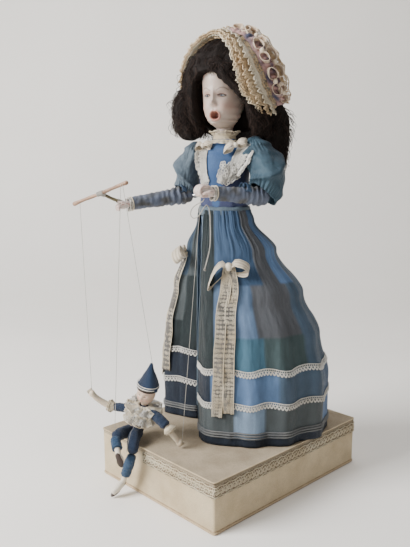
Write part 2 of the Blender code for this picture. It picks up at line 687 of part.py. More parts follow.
def make_cylinder(look):
    """Make the pinned cylinder with its wheel and cams, and the comb that it plays."""
    near, far = wheel_layer()
    axis = (CYLINDER_X, near, CYLINDER_Z)
    place = arbor_matrix(CYLINDER_X, CYLINDER_Z)
    drum_start = far + 1.5 * MM
    drum_end = BACK_PLATE_Y - 2 * MM
    front_end = frame_front() - FRAME_THICK
    profile = ((CYLINDER_ARBOR, front_end), (CYLINDER_ARBOR, drum_start), (CYLINDER_RADIUS, drum_start),
               (CYLINDER_RADIUS, drum_end), (CYLINDER_ARBOR, drum_end),
               (CYLINDER_ARBOR, BACK_PLATE_Y + PLATE_THICK))
    cylinder = add_object("music_cylinder", lathe(profile, 24, place), look["brass"], axis)
    (comb_start, comb_end), root, back = comb_span()
    pins = bmesh.new()
    for number in range(PIN_COUNT):
        angle = number * GOLDEN_TURN
        y = comb_start + ((number * 7) % COMB_TEETH + 0.5) * COMB_PITCH
        half = 0.35 * MM
        outline = ((CYLINDER_RADIUS - 0.5 * MM, -half), (CYLINDER_RADIUS + PIN_HEIGHT, -half * 0.6),
                   (CYLINDER_RADIUS + PIN_HEIGHT, half * 0.6), (CYLINDER_RADIUS - 0.5 * MM, half))
        matrix = upright(CYLINDER_X, CYLINDER_Z) @ Matrix.Rotation(angle, 4, "Z")
        append(pins, prism(outline, -y - half, -y + half, matrix))
    direction = math.atan2(CYLINDER_Z - BARREL_Z, CYLINDER_X - barrel_x())
    phase = mesh_phase(0.0, BARREL_TEETH, CYLINDER_TEETH, MODULE_GREAT, direction)
    wheel = disc_at(gear_outline(CYLINDER_TEETH, MODULE_GREAT, phase), CYLINDER_X, CYLINDER_Z, near, far)
    combine(cylinder, "UNION", [wheel, pins])

    bore = circle(CYLINDER_ARBOR + GAP, 14)
    shapes = {"right_arm_cam": (CAM_LIFT, 3, -math.pi / 2), "left_arm_cam": (CAM_LIFT, 4, -math.pi / 2),
              "head_cam": (CAM_LIFT, 2, math.pi)}
    for name, middle in cam_layers().items():
        start, end = middle - CAM_THICK / 2, middle + CAM_THICK / 2
        cam = add_object(name, disc_at(cam_outline(*shapes[name]), CYLINDER_X, CYLINDER_Z, start, end),
                         look["brass"], axis)
        combine(cam, "DIFFERENCE", [disc_at(bore, CYLINDER_X, CYLINDER_Z, start - MM, end + MM)])

    tip = root - COMB_TOOTH_LENGTH
    slot = 0.25 * COMB_PITCH
    outline = [(back, comb_start), (back, comb_end)]
    for tooth in reversed(range(COMB_TEETH)):
        y = comb_start + tooth * COMB_PITCH
        outline += [(root, y + COMB_PITCH - slot / 2), (tip, y + COMB_PITCH - slot),
                    (tip, y + slot), (root, y + slot / 2)]
    low, high = CYLINDER_Z - COMB_THICK / 2, CYLINDER_Z + COMB_THICK / 2
    add_object("music_comb", prism(outline, low, high), look["steel"])


def right_rod():
    """Place the right arm's pull rod: in line with the crank's free end."""
    return DOLL @ Vector((RIGHT_CRANK_X, RIGHT_ELBOW[1] + RIGHT_CRANK, 0))


def left_rod():
    """Place the left arm's pull rod: in line with the crank's free end."""
    return DOLL @ Vector((LEFT_CRANK_X, LEFT_ELBOW[1] + LEFT_CRANK, 0))


def frame_front():
    """Give the Y of the lever frame's front upright, ahead of the right arm's cam."""
    return right_rod().y - CAM_THICK / 2 - 4 * MM


def make_levers(look):
    """Make the lever frame, the three cam levers and the stop slide."""
    base = BOTTOM_THICK + GAP
    foot = base + FRAME_THICK
    front = frame_front()
    rear = left_rod().y + CAM_THICK / 2 + 3 * MM
    head_y = cam_layers()["head_cam"]
    left_edge = FIGURE_X - 6 * MM
    right_edge = LEVER_PIVOT_X + 7 * MM
    plate = box((left_edge, front - FRAME_THICK, base), (right_edge, head_y + 7 * MM, foot))
    frame = add_object("lever_frame", plate, look["brass"])
    sink = 0.8 * MM
    front_wall = box((CYLINDER_X - 6 * MM, front - FRAME_THICK, foot - sink),
                     (right_edge, front, CYLINDER_Z + 6 * MM))
    rear_wall = box((LEVER_PIVOT_X - 5 * MM, rear, foot - sink),
                    (right_edge, rear + FRAME_THICK, LEVER_PIVOT_Z + 6 * MM))
    pin = lathe(((PIVOT_PIN, front - 0.5 * FRAME_THICK), (PIVOT_PIN, rear + 0.5 * FRAME_THICK)), 10,
                arbor_matrix(LEVER_PIVOT_X, LEVER_PIVOT_Z))
    lug_gap = LEVER_THICK / 2 + 2 * GAP
    lugs = [box((FIGURE_X - 3.5 * MM, head_y + side - FRAME_THICK / 2, foot - sink),
                (FIGURE_X + 3.5 * MM, head_y + side + FRAME_THICK / 2, HEAD_LEVER_PIVOT_Z + 3.5 * MM))
            for side in (-lug_gap - FRAME_THICK / 2, lug_gap + FRAME_THICK / 2)]
    reach = lug_gap + 0.5 * FRAME_THICK
    head_pin = lathe(((PIVOT_PIN, head_y - reach), (PIVOT_PIN, head_y + reach)), 10,
                     arbor_matrix(FIGURE_X, HEAD_LEVER_PIVOT_Z))
    combine(frame, "UNION", [front_wall, rear_wall, pin, *lugs, head_pin])
    bore = circle(CYLINDER_ARBOR + GAP, 14)
    combine(frame, "DIFFERENCE", [disc_at(bore, CYLINDER_X, CYLINDER_Z, front - 2 * FRAME_THICK, front + MM)])

    lever_top = CYLINDER_Z - CAM_RADIUS - GAP
    lever_low = lever_top - LEVER_HEIGHT
    for name, rod in (("right_arm_lever", right_rod()), ("left_arm_lever", left_rod())):
        start, end = rod.y - LEVER_THICK / 2, rod.y + LEVER_THICK / 2
        tip = rod.x - ROD_RADIUS - 3 * ROD_PLAY
        heel = LEVER_PIVOT_X + 4 * MM
        outline = ((tip, lever_low), (LEVER_PIVOT_X, lever_low - 0.6 * MM), (heel, LEVER_PIVOT_Z - 2 * MM),
                   (heel, LEVER_PIVOT_Z + 2 * MM), (LEVER_PIVOT_X, lever_top), (tip, lever_top))
        lever = add_object(name, disc_at(outline, 0, 0, start, end), look["steel"],
                           (LEVER_PIVOT_X, rod.y, LEVER_PIVOT_Z))
        eye = prism(circle(ROD_RADIUS + ROD_PLAY + EYE_WALL, 14, rod.x, rod.y), lever_low, lever_top)
        combine(lever, "UNION", [eye])
        cuts = [disc_at(circle(PIVOT_PIN + GAP, 12), LEVER_PIVOT_X, LEVER_PIVOT_Z, start - MM, end + MM),
                prism(circle(ROD_RADIUS + ROD_PLAY, 10, rod.x, rod.y), lever_low - MM, lever_top + MM)]
        combine(lever, "DIFFERENCE", cuts)

    top = HEAD_SHAFT_BOTTOM - 4 * GAP
    half = CRANK_HALF_WIDTH
    nose = CYLINDER_X - CAM_RADIUS - HEAD_LEVER_TRAVEL - GAP
    x = FIGURE_X
    notch = CRANK_PIN + RUNNING_GAP
    low = HEAD_LEVER_PIVOT_Z - 3 * MM
    slot = top - 3.5 * MM
    outline = ((x - half, low), (x + half, low),
               (x + half, CYLINDER_Z - 4 * MM), (nose, CYLINDER_Z - 1.5 * MM), (nose, CYLINDER_Z + 1.5 * MM),
               (x + half, CYLINDER_Z + 4 * MM), (x + half, top), (x + notch, top), (x + notch, slot),
               (x - notch, slot), (x - notch, top), (x - half, top))
    bar = disc_at(outline, 0, 0, head_y - LEVER_THICK / 2, head_y + LEVER_THICK / 2)
    head_lever = add_object("head_lever", bar, look["steel"], (x, head_y, HEAD_LEVER_PIVOT_Z))
    combine(head_lever, "DIFFERENCE", [disc_at(circle(PIVOT_PIN + GAP, 12), x, HEAD_LEVER_PIVOT_Z,
                                               head_y - LEVER_THICK, head_y + LEVER_THICK)])

    back = BASE_DEPTH / 2
    inner = FRONT_PLATE_Y + 24 * MM
    profile = ((STOP_RADIUS, inner), (STOP_RADIUS, back + 3 * MM), (STOP_KNOB * 0.6, back + 3.5 * MM),
               (STOP_KNOB, back + 5.5 * MM), (STOP_KNOB, back + 7.5 * MM), (STOP_KNOB * 0.5, back + 9 * MM))
    add_object("stop_slide", lathe(profile, 12, arbor_matrix(STOP_X, SECOND_Z)), look["steel"],
               (STOP_X, back, SECOND_Z))


def make_rods(look):
    """Make the two pull rods, with a collar on each side of the lever and of the crank."""
    lever_top = CYLINDER_Z - CAM_RADIUS - GAP
    lever_low = lever_top - LEVER_HEIGHT
    crank_low = ELBOW_HEIGHT - CRANK_THICK / 2
    crank_top = ELBOW_HEIGHT + CRANK_THICK / 2
    for name, rod in (("right_pull_rod", right_rod()), ("left_pull_rod", left_rod())):
        faces = (lever_low - LEVER_TILT_ROOM - ROD_COLLAR_THICK, lever_top + LEVER_TILT_ROOM,
                 crank_low - CRANK_TILT_ROOM - ROD_COLLAR_THICK, crank_top + CRANK_TILT_ROOM)
        profile = [(0, faces[0])]
        for low in faces:
            high = low + ROD_COLLAR_THICK
            profile += [(ROD_RADIUS, low), (ROD_COLLAR, low), (ROD_COLLAR, high), (ROD_RADIUS, high)]
        profile.pop(1)
        profile.pop()
        profile.append((0, faces[-1] + ROD_COLLAR_THICK))
        add_object(name, lathe(profile, 10, Matrix.Translation((rod.x, rod.y, 0))), look["steel"],
                   (rod.x, rod.y, lever_top))


def make_post(look):
    """Make the turned post that carries the body, and the shaft that turns the head."""
    stand = BASE_HEIGHT + GAP
    seat_low = WAIST_HEIGHT - SEAT_THICK
    axis = Matrix.Translation((FIGURE_X, FIGURE_Y, 0))
    flare = POST_RADIUS + 3 * MM
    profile = ((POST_FOOT, stand), (POST_FOOT, stand + 5 * MM), (POST_RADIUS, stand + 9 * MM),
               (POST_RADIUS, seat_low - 12 * MM), (flare, seat_low - 6 * MM), (flare, seat_low + MM))
    post = add_object("support_post", lathe(profile, 20, axis), look["wood"])
    seat = prism([(SEAT_HALF_WIDTH * x, SEAT_HALF_DEPTH * y) for x, y in circle(1.0, 32)],
                 seat_low, WAIST_HEIGHT, DOLL)
    combine(post, "UNION", [seat])
    bores = [(FIGURE_X, FIGURE_Y, SHAFT_RADIUS + RUNNING_GAP)]
    bores += [(rod.x, rod.y, ROD_RADIUS + ROD_PLAY) for rod in (right_rod(), left_rod())]
    cuts = [lathe(((radius, stand - MM), (radius, WAIST_HEIGHT + MM)), 12, Matrix.Translation((x, y, 0)))
            for x, y, radius in bores]
    combine(post, "DIFFERENCE", cuts)

    rod = lathe(((SHAFT_RADIUS, HEAD_SHAFT_BOTTOM), (SHAFT_RADIUS, HEAD_SHAFT_TOP)), 12, axis)
    shaft = add_object("head_shaft", rod, look["steel"], (FIGURE_X, FIGURE_Y, HEAD_SHAFT_TOP))
    half = 3 * MM
    low = HEAD_SHAFT_BOTTOM
    arm = box((FIGURE_X - half, FIGURE_Y - half, low),
              (FIGURE_X + half, FIGURE_Y + HEAD_CRANK + half, low + CRANK_THICK))
    drop = 3.2 * MM
    pin = lathe(((CRANK_PIN, low - drop), (CRANK_PIN, low + 0.5 * CRANK_THICK)), 8,
                Matrix.Translation((FIGURE_X, FIGURE_Y + HEAD_CRANK, 0)))
    combine(shaft, "UNION", [arm, pin])


# Upper body: heights in these tables count from the waist, all in millimetres
TORSO_WALL = 2.0
BODICE_CLEARANCE = 0.4
TORSO_RINGS = ((0.3, 31, 25, 0), (17, 31.5, 25.5, 0), (37, 32, 26.5, -1), (59, 32.5, 27, -1),
               (77, 32, 25, 0), (88, 29, 21, 0), (96, 20, 16, 0), (103, 12.5, 12.5, 0), (109, 11.5, 11.5, 0))


def oval_ring(height, half_width, half_depth, forward=0.0, across=0.0, count=22):
    """List one level oval ring in the doll's frame, all in millimetres."""
    return [millimetres((across + half_width * x, forward + half_depth * y, height))
            for x, y in circle(1.0, count)]


def make_torso(look):
    """Make the moulded card torso and the bodice over it, both open at the waist."""
    wall = TORSO_WALL
    outer = [oval_ring(z, a, b, y) for z, a, b, y in TORSO_RINGS]
    inner = [oval_ring(z, a - wall, b - wall, y) for z, a, b, y in reversed(TORSO_RINGS)]
    torso = add_object("torso_shell", grid_solid(outer + inner, "loop", FIGURE), look["card"])
    clear = BODICE_CLEARANCE
    cloth = CLOTH / MM
    kept = TORSO_RINGS[:-1]
    outer = [oval_ring(z, a + clear + cloth, b + clear + cloth, y) for z, a, b, y in kept]
    inner = [oval_ring(z, a + clear, b + clear, y) for z, a, b, y in reversed(kept)]
    bodice = add_object("bodice", grid_solid(outer + inner, "loop", FIGURE), look["light_silk"])
    for elbow, side in ((RIGHT_ELBOW, -1), (LEFT_ELBOW, 1)):
        for thing in (torso, bodice):
            inside = DOLL @ Vector((side * 18 * MM, elbow[1], elbow[2]))
            outside = DOLL @ Vector((side * 45 * MM, elbow[1], elbow[2]))
            hole = rod_between(inside, outside, ELBOW_HOLE, 12)
            combine(thing, "DIFFERENCE", [hole])


class Drape(NamedTuple):
    """One skirt: its hem as laid on the base and its oval at the waist, in millimetres."""

    hem: tuple
    closed: bool
    half_width: float
    half_depth: float
    fold: float


# The gown's hem runs from its front edge round to the other one; the petticoat's is a whole loop
GOWN = Drape(((-3, -64), (12, -74), (30, -78), (52, -66), (72, -51), (89, -36), (103, -15), (113, 8),
              (120, 35), (121, 62), (109, 86), (84, 108), (50, 121), (12, 124), (-30, 112), (-66, 86),
              (-90, 50), (-101, 14), (-104, -18), (-97, -45), (-70, -38), (-44, -27)), False, 37.5, 31, 3.0)
PETTICOAT = Drape(((-9, -50), (12, -62), (30, -66), (48, -55), (66, -42), (80, -27), (92, -8), (101, 13),
                   (108, 37), (108, 60), (98, 79), (77, 98), (48, 109), (12, 112), (-25, 101), (-57, 78),
                   (-79, 46), (-90, 14), (-92, -12), (-86, -29), (-68, -26), (-46, -18)),
                  True, 33.1, 26.6, 0.0)
HEM_CENTRE = (13, 17)
FOLDS_FROM = ((2, 0), (6, 1))
# Heights on the skirts, and how far each has drawn in to the waist, as shares of the way to the waist
DRAWN_IN = ((0.0, 0.0), (0.26, 0.0), (0.455, 0.12), (0.646, 0.34), (0.844, 0.68), (0.981, 0.96), (1.026, 1.0))
GOWN_LEVELS = (0.0016, 0.188, 0.292, 0.39, 0.494, 0.597, 0.701, 0.792, 0.893, 0.948, 0.9935, 1.026)
PETTICOAT_LEVELS = (0.0016, 0.188, 0.39, 0.597, 0.792, 0.893, 0.948, 0.9935)


def read_line(points, place, closed):
    """Read the smooth line through points at a place counted in points."""
    count = len(points)
    index = int(place) if closed else min(int(place), count - 2)
    share = place - index

    def at(number):
        """Give a point of the line, carried on in a straight line past open ends."""
        if closed:
            return Vector(points[number % count])
        if number < 0:
            return Vector(points[0]) * 2 - Vector(points[1])
        if number >= count:
            return Vector(points[-1]) * 2 - Vector(points[-2])
        return Vector(points[number])

    before, a, b, after = (at(index + step) for step in (-1, 0, 1, 2))
    return 0.5 * ((2 * a) + (b - before) * share + (2 * before - 5 * a + 4 * b - after) * share ** 2
                  + (3 * a - before - 3 * b + after) * share ** 3)


def drape_face(drape, place, level):
    """Give a point of a skirt's outer face, in millimetres, at a place along its hem and a level."""
    flat = read_line(drape.hem, place, drape.closed)
    spoke = flat - Vector(HEM_CENTRE)
    share = smooth_through(DRAWN_IN, level)
    fold = drape.fold * math.sin(place * math.pi) * (1 - share) * smooth_through(FOLDS_FROM, place)
    turn = math.atan2(spoke.y, spoke.x) - FIGURE_TURN
    waist = DOLL @ Vector((drape.half_width * math.cos(turn) * MM, drape.half_depth * math.sin(turn) * MM, 0))
    low = flat + spoke.normalized() * fold
    return low * (1 - share) + Vector((waist.x, waist.y)) / MM * share


def drape_point(drape, place, level, inset=0.0):
    """Give a point of a skirt in world space, set in from its outer face by a number of millimetres."""
    step = 0.05
    here = drape_face(drape, place, level)
    along = drape_face(drape, place + step, level) - drape_face(drape, place - step, level)
    inward = Vector((-along.y, along.x)).normalized()
    flat = here + inward * inset
    return Vector((flat.x * MM, flat.y * MM, BASE_HEIGHT + level * (WAIST_HEIGHT - BASE_HEIGHT)))


def make_skirt(look):
    """Make the gown's skirt, open down the front, and the petticoat behind the opening."""
    wall = CLOTH / MM
    places = [step * 0.5 for step in range((len(GOWN.hem) - 1) * 2 + 1)]
    outer = [[drape_point(GOWN, place, level) for place in places] for level in GOWN_LEVELS]
    inner = [[drape_point(GOWN, place, level, wall) for place in places] for level in GOWN_LEVELS]
    add_object("overskirt", slab(outer, inner), look["silk"])
    places = [step * 0.5 for step in range(len(PETTICOAT.hem) * 2)]
    rings = [[drape_point(PETTICOAT, place, level) for place in places] for level in PETTICOAT_LEVELS]
    rings += [[drape_point(PETTICOAT, place, level, wall) for place in places]
              for level in reversed(PETTICOAT_LEVELS)]
    add_object("petticoat", grid_solid(rings, "loop"), look["light_silk"])


SLEEVE_RIGHT = ((94, 7, 7, -1, -44), (89, 10, 13, -1, -45.5), (77, 13.3, 17.5, -2, -48),
                (62, 13.8, 19.5, -5, -51.8), (50, 14.2, 19, -8, -53), (42.5, 13, 16, -12, -53),
                (39, 11.5, 13, -14, -53))
SLEEVE_LEFT = ((100, 8, 8, -3, 46), (94, 14, 15, -4, 50), (77, 21, 21.5, -5, 55.2), (64, 22, 23.5, -8, 58),
               (52, 21, 22, -11, 60), (46, 17.5, 18.5, -12.5, 60), (42.3, 13, 14, -14, 60))


def make_sleeves(look):
    """Make the two puffed upper sleeves as bags open at the elbow."""
    wall = CLOTH / MM
    for name, rings in (("right_puff_sleeve", SLEEVE_RIGHT), ("left_puff_sleeve", SLEEVE_LEFT)):
        peak = rings[0]
        outer = [[millimetres((peak[4], peak[3], peak[0] + 2))]]
        outer += [oval_ring(z, a, b, y, x, 18) for z, a, b, y, x in rings]
        inner = [oval_ring(z, a - wall, b - wall, y, x, 18) for z, a, b, y, x in reversed(rings)]
        inner[-1] = oval_ring(peak[0] - wall, peak[1] - wall, peak[2] - wall, peak[3], peak[4], 18)
        inner.append([millimetres((peak[4], peak[3], peak[0] - wall + 0.5))])
        add_object(name, grid_solid(outer + inner, "open", FIGURE), look["silk"])


def make_arm(look, side, elbow, wrist, crank_x, crank):
    """Make one forearm with the shaft and crank that turn it."""
    pivot = DOLL @ Vector(elbow)
    sign = 1 if elbow[0] > 0 else -1
    shaft_end = DOLL @ Vector((crank_x - sign * 3 * MM, elbow[1], elbow[2]))
    shaft_start = DOLL @ Vector((elbow[0] - sign * 6 * MM, elbow[1], elbow[2]))
    rod = rod_between(shaft_start, shaft_end, ARM_SHAFT, 10)
    shaft = add_object(f"{side}_arm_shaft", rod, look["steel"], pivot)
    low, high = elbow[2] - CRANK_THICK / 2, elbow[2] + CRANK_THICK / 2
    half = CRANK_HALF_WIDTH
    bar = prism(((crank_x - half, elbow[1] - half), (crank_x + half, elbow[1] - half),
                 (crank_x + half, elbow[1] + crank), (crank_x - half, elbow[1] + crank)), low, high, DOLL)
    hole = ROD_RADIUS + CRANK_PLAY
    eye = prism(circle(hole + 1.8 * MM, 16, crank_x, elbow[1] + crank), low, high, DOLL)
    combine(shaft, "UNION", [bar, eye])
    bore = circle(hole, 12, crank_x, elbow[1] + crank)
    combine(shaft, "DIFFERENCE", [prism(bore, low - MM, high + MM, DOLL)])

    wrist_point = DOLL @ Vector(wrist)
    middle = pivot.lerp(wrist_point, 0.5)
    radii = [FOREARM_RADIUS, FOREARM_RADIUS, FOREARM_RADIUS * CUFF_SHARE]
    shape = limb([pivot, middle, wrist_point], radii, 14, True)
    forearm = add_object(f"{side}_forearm", shape, look["silk"], pivot)
    seat_start = DOLL @ Vector((elbow[0] - sign * 16 * MM, elbow[1], elbow[2]))
    seat_end = DOLL @ Vector((elbow[0] - sign * (6 * MM - GAP), elbow[1], elbow[2]))
    combine(forearm, "DIFFERENCE", [rod_between(seat_start, seat_end, ARM_SHAFT + GAP, 10)])


def make_hands(look):
    """Make the right hand round the bar's handle, and the left fist."""
    pivot_right = DOLL @ Vector(RIGHT_ELBOW)
    pivot_left = DOLL @ Vector(LEFT_ELBOW)
    right_wrist = DOLL @ Vector(RIGHT_WRIST)
    ahead = (right_wrist - pivot_right).normalized()
    start = right_wrist + ahead * GAP
    palm = start + ahead * 9 * MM
    tips = palm + ahead * 6 * MM + Vector((0, 0, -4 * MM))
    radii = [5 * MM, 5.5 * MM, 7.5 * MM, 5.5 * MM]
    shape = limb([start, start + ahead * 3 * MM, palm, tips], radii, 12, False, True)
    add_object("right_hand", shape, look["bisque"], pivot_right)
    left_wrist = DOLL @ Vector(LEFT_WRIST)
    ahead = (left_wrist - pivot_left).normalized()
    start = left_wrist + ahead * GAP
    palm = start + ahead * 9 * MM + Vector((0, 0, 2 * MM))
    knuckles = palm + ahead * 10 * MM + Vector((0, 0, 2 * MM))
    radii = [6 * MM, 7 * MM, 10 * MM, FIST_RADIUS]
    shape = limb([start, start + ahead * 3 * MM, palm, knuckles], radii, 12, False, True)
    add_object("left_hand", shape, look["bisque"], pivot_left)
    return tips, knuckles


def make_control_bar(look, tips):
    """Make the crossbar and the handle that the right hand holds."""
    pivot = DOLL @ Vector(RIGHT_ELBOW)
    left, right, joint = Vector(BAR_LEFT), Vector(BAR_RIGHT), Vector(BAR_JOINT)
    along = (right - left).normalized()
    joint = left + along * (joint - left).dot(along)
    add_object("crossbar", rod_between(left, right, BAR_RADIUS, 10), look["bar"], pivot)
    handle_end = tips + Vector((0, 0, FOREARM_RADIUS * CUFF_SHARE))
    towards = (handle_end - joint).normalized()
    start = joint + towards * (BAR_RADIUS * 1.05 + GAP)
    add_object("bar_handle", rod_between(start, handle_end, BAR_RADIUS * 0.9, 10), look["bar"], pivot)


HEAD_RINGS = ((118, 12, 13, 11), (122, 15, 29, 13), (126, 18.5, 33, 17), (133, 22, 34, 23),
              (142, 24.5, 34, 29), (153, 26, 34, 34), (165, 27, 35.5, 36), (177, 27.5, 36, 37),
              (189, 27, 34.5, 36), (200, 25, 31, 33), (210, 20, 24, 26), (218, 12, 14, 16))
HEAD_FORWARD = -2.0
NECK_RADIUS = 11.0
NECK_FOOT = 110.6
WIG_CLEARANCE = 0.9


def face_relief(across, height):
    """Give how far the face stands out at a place on its front, in millimetres."""

    def bump(x, z, wide, tall, rise):
        """Raise or hollow one feature: a soft mound of a width, a height and a rise."""
        return rise * math.exp(-((across - x) / wide) ** 2 - ((height - z) / tall) ** 2)

    nose = bump(0, 149, 3.6, 5, 5.5) + bump(0, 158, 2.8, 8, 2.2)
    eyes = sum(bump(side * 9.5, 158.5, 6, 4.5, -2.2) for side in (-1, 1))
    cheeks = sum(bump(side * 14, 144, 8, 8, 1.6) for side in (-1, 1))
    mouth = bump(0, 133.5, 5.2, 5.0, -7.0)
    chin = bump(0, 123, 7, 4, 1.5)
    return nose + eyes + cheeks + mouth + chin


def head_ring(height, half_width, front, back, count, offset=0.0):
    """List one ring of the head in the doll's frame, face to -Y, in millimetres."""
    points = []
    for k in range(count):
        angle = 2 * math.pi * k / count
        x = (half_width + offset) * math.sin(angle)
        reach = (front if math.cos(angle) > 0 else back) + offset
        y = HEAD_FORWARD - reach * math.cos(angle)
        if math.cos(angle) > 0.2 and offset == 0.0:
            y -= face_relief(x, height)
        points.append(millimetres((x, y, height)))
    return points


def head_rings(count, offset=0.0):
    """List the head's rings from the neck to the crown."""
    neck = NECK_RADIUS + offset
    rings = [oval_ring(z - offset, neck, neck, 0, 0, count) for z in (NECK_FOOT, NECK_FOOT + 5.4)]
    shift = count // 4
    rings = [ring[-shift:] + ring[:-shift] for ring in rings]
    jaw = HEAD_RINGS[0][0]
    rings += [head_ring(z - (offset if z == jaw else 0), a, f, b, count, offset) for z, a, f, b in HEAD_RINGS]
    rings.append([millimetres((0, HEAD_FORWARD, HEAD_RINGS[-1][0] + 4 + offset))])
    return rings


WIG_RINGS = ((79, 10, 5, 56), (85, 24, 13, 55), (94, 32, 19, 52), (104, 39, 30, 43), (113, 46, 42, 28),
             (123, 53.5, 51, 18), (136, 59.5, 57, 15.5), (153, 63.8, 61.6, 16), (170, 65.8, 63.8, 16),
             (188, 63, 61.2, 16), (205, 55.5, 53.7, 16), (220, 42.5, 41, 16), (230, 27, 26, 16))


# Outline of the face between the locks, seen from the front
FACE_WINDOW = ((-22, 108), (-26, 122), (-26.5, 142), (-25.5, 167), (-19, 184), (-8, 190), (2, 187), (13, 175),
               (19, 163), (28, 149), (35, 134), (38, 121), (34, 108))


def make_head(look):
    """Make the bisque head on its shaft, the wig round it and the bonnet."""
    origin = (FIGURE_X, FIGURE_Y, HEAD_SHAFT_TOP)
    head = add_object("head", grid_solid(head_rings(32), "caps", FIGURE), look["bisque"], origin)
    bore = SHAFT_RADIUS + GAP
    socket_foot = (NECK_FOOT - 8) * MM
    socket = lathe(((bore, socket_foot), (bore, HEAD_SHAFT_TOP - WAIST_HEIGHT + GAP)), 12, FIGURE)
    combine(head, "DIFFERENCE", [socket])

    nape, _, _, nape_back = WIG_RINGS[0]
    rings = [[millimetres((0, nape_back + 3, nape - 2))]]
    rings += [oval_ring(z, a, b, y, 0, 20) for z, a, b, y in WIG_RINGS]
    crown, _, _, crown_back = WIG_RINGS[-1]
    rings.append([millimetres((0, crown_back, crown + 5))])
    wig = add_object("wig", grid_solid(rings, "caps", FIGURE), look["hair"], origin)
    cutter = grid_solid(head_rings(24, WIG_CLEARANCE), "caps", FIGURE)
    collar = (NECK_FOOT - 0.6) * MM
    hollow = 30 * MM
    profile = ((hollow, collar - 48 * MM), (hollow, collar), (hollow - 8 * MM, collar + 9 * MM))
    neck = lathe(profile, 24, FIGURE)
    window = [(x * MM, z * MM) for x, z in FACE_WINDOW]
    face = prism(window, 8 * MM, 80 * MM, FIGURE @ ALONG_Y)
    combine(wig, "DIFFERENCE", [cutter, neck, face])
    make_bonnet(look, origin)


BONNET_TILT = math.radians(18)
BONNET_CENTRE = (0, 16, 170)
BONNET_RADII = (66, 64, 66)
BONNET_SPAN = math.radians(118)
BONNET_ROWS = ((8, 5, 1.5), (26, 6, 1.5), (45, 6, 1.5), (62, 6, 1.5), (76, 7.5, 2.5), (84, 12, 7),
               (92, 20, 15))


def make_bonnet(look, origin):
    """Make the bonnet: a cap over the back of the hair with a flared lace brim."""
    axis = Vector((0, math.cos(BONNET_TILT), math.sin(BONNET_TILT)))
    up = Vector((0, -math.sin(BONNET_TILT), math.cos(BONNET_TILT)))
    across = Vector((1, 0, 0))
    grids = [[], []]
    columns = 19
    for angle_from_back, outer, inner in BONNET_ROWS:
        for grid, offset in zip(grids, (outer, inner)):
            row = []
            for step in range(columns):
                turn = BONNET_SPAN * (2 * step / (columns - 1) - 1)
                angle = math.radians(angle_from_back)
                aside = up * math.cos(turn) + across * math.sin(turn)
                way = axis * math.cos(angle) + aside * math.sin(angle)
                stretch = [(radius + offset) * part for radius, part in zip(BONNET_RADII, way)]
                row.append(FIGURE @ millimetres([c + s for c, s in zip(BONNET_CENTRE, stretch)]))
            grid.append(row)
    add_object("bonnet", slab(*grids), look["lace"], origin)


# The cord's way from the fist, out over the edge of the palm and down the front of the gown
CORD_ROUTE = ((10.5, -83.4, 26.5), (8.5, -84.4, 23), (3.5, -85.5, 20.5), (-2, -86.5, 17), (-6, -87, 12),
              (-7, -87, 6), (-3.5, -87, 2), (1.5, -86, 3), (5.5, -84, 8), (8, -81, 14), (10.5, -77, 18),
              (11.5, -72, 14), (11.3, -68.5, 4), (10.5, -66, -8), (10, -64.5, -20), (9, -63, -32),
              (7, -62, -43), (4.5, -61.5, -52), (2, -61, -60), (0, -61, -67))


def make_hand_cord(look):
    """Make the white cord that loops out of the left hand and hangs down the gown."""
    curve = bpy.data.curves.new("hand_cord", "CURVE")
    curve.dimensions = "3D"
    spline = curve.splines.new("POLY")
    points = []
    for step in range(2 * len(CORD_ROUTE) - 1):
        points.append(read_line(CORD_ROUTE, step / 2, False))
    origin = DOLL @ Vector(LEFT_ELBOW)
    spline.points.add(len(points) - 1)
    for spot, point in zip(spline.points, points):
        spot.co = (*(FIGURE @ (point * MM) - origin), 1.0)
    curve.bevel_depth = CORD_RADIUS
    curve.bevel_resolution = 2
    curve.use_fill_caps = True
    curve.materials.append(look["thread"])
    thing = bpy.data.objects.new("hand_cord", curve)
    thing.location = origin
    bpy.context.scene.collection.objects.link(thing)


# Marionette, in millimetres in the base's own frame
PUPPET_TRUNK = (((-57, -132, 79.8), 8.9, 11.5), ((-56, -132, 88), 8.6, 10.5), ((-50, -133, 98), 9.5, 12.5),
                ((-43, -133, 110), 9.8, 15), ((-39.5, -133, 118), 7.5, 11), ((-37.5, -133, 122.5), 4.5, 5))
PUPPET_RIGHT_THIGH = (((-61, -138, 79.9), 8.2), ((-54, -157, 84), 8.0), ((-46, -176, 87), 7.0))
PUPPET_LEFT_THIGH = (((-51, -136, 79.6), 8.4), ((-36, -152, 80), 8.0), ((-21, -166, 67), 6.8))
PUPPET_RIGHT_ANKLE = (-22, -188, 71)
PUPPET_LEFT_ANKLE = (-43, -167, 19)
PUPPET_RIGHT_TOE = (-17, -187, 61)
PUPPET_LEFT_TOE = (-44, -184, 8.5)
PUPPET_RIGHT_ARM = (((-64, -135, 113), 5.2), ((-79, -143, 110), 5.4), ((-93, -151, 111), 4.2),
                    ((-103, -163, 121), 3.4), ((-107, -170, 130), 3.8))
PUPPET_LEFT_ARM = (((-22.8, -131.7, 115), 5.2), ((-7, -130, 110), 5.6), ((6, -127, 101), 4.6),
                   ((12, -120, 87), 3.2), ((15, -115, 77.5), 3.0))
PUPPET_LEFT_SHOULDER = PUPPET_LEFT_ARM[0][0]
PUPPET_NECK = (-36, -133.4, 124.3)
PUPPET_HEAD = (-27, -135, 141)
PUPPET_HAT_TIP = (-19, -132, 185)


def oval_limb(stations, across, count):
    """Skin a body along stations of (centre, half depth, half width), level oval rings."""
    side = Vector(across).normalized()
    ahead = Vector((-side.y, side.x, 0))
    return [[millimetres(centre) + side * half_width * MM * x + ahead * half_depth * MM * y
             for x, y in circle(1.0, count)] for centre, half_depth, half_width in stations]


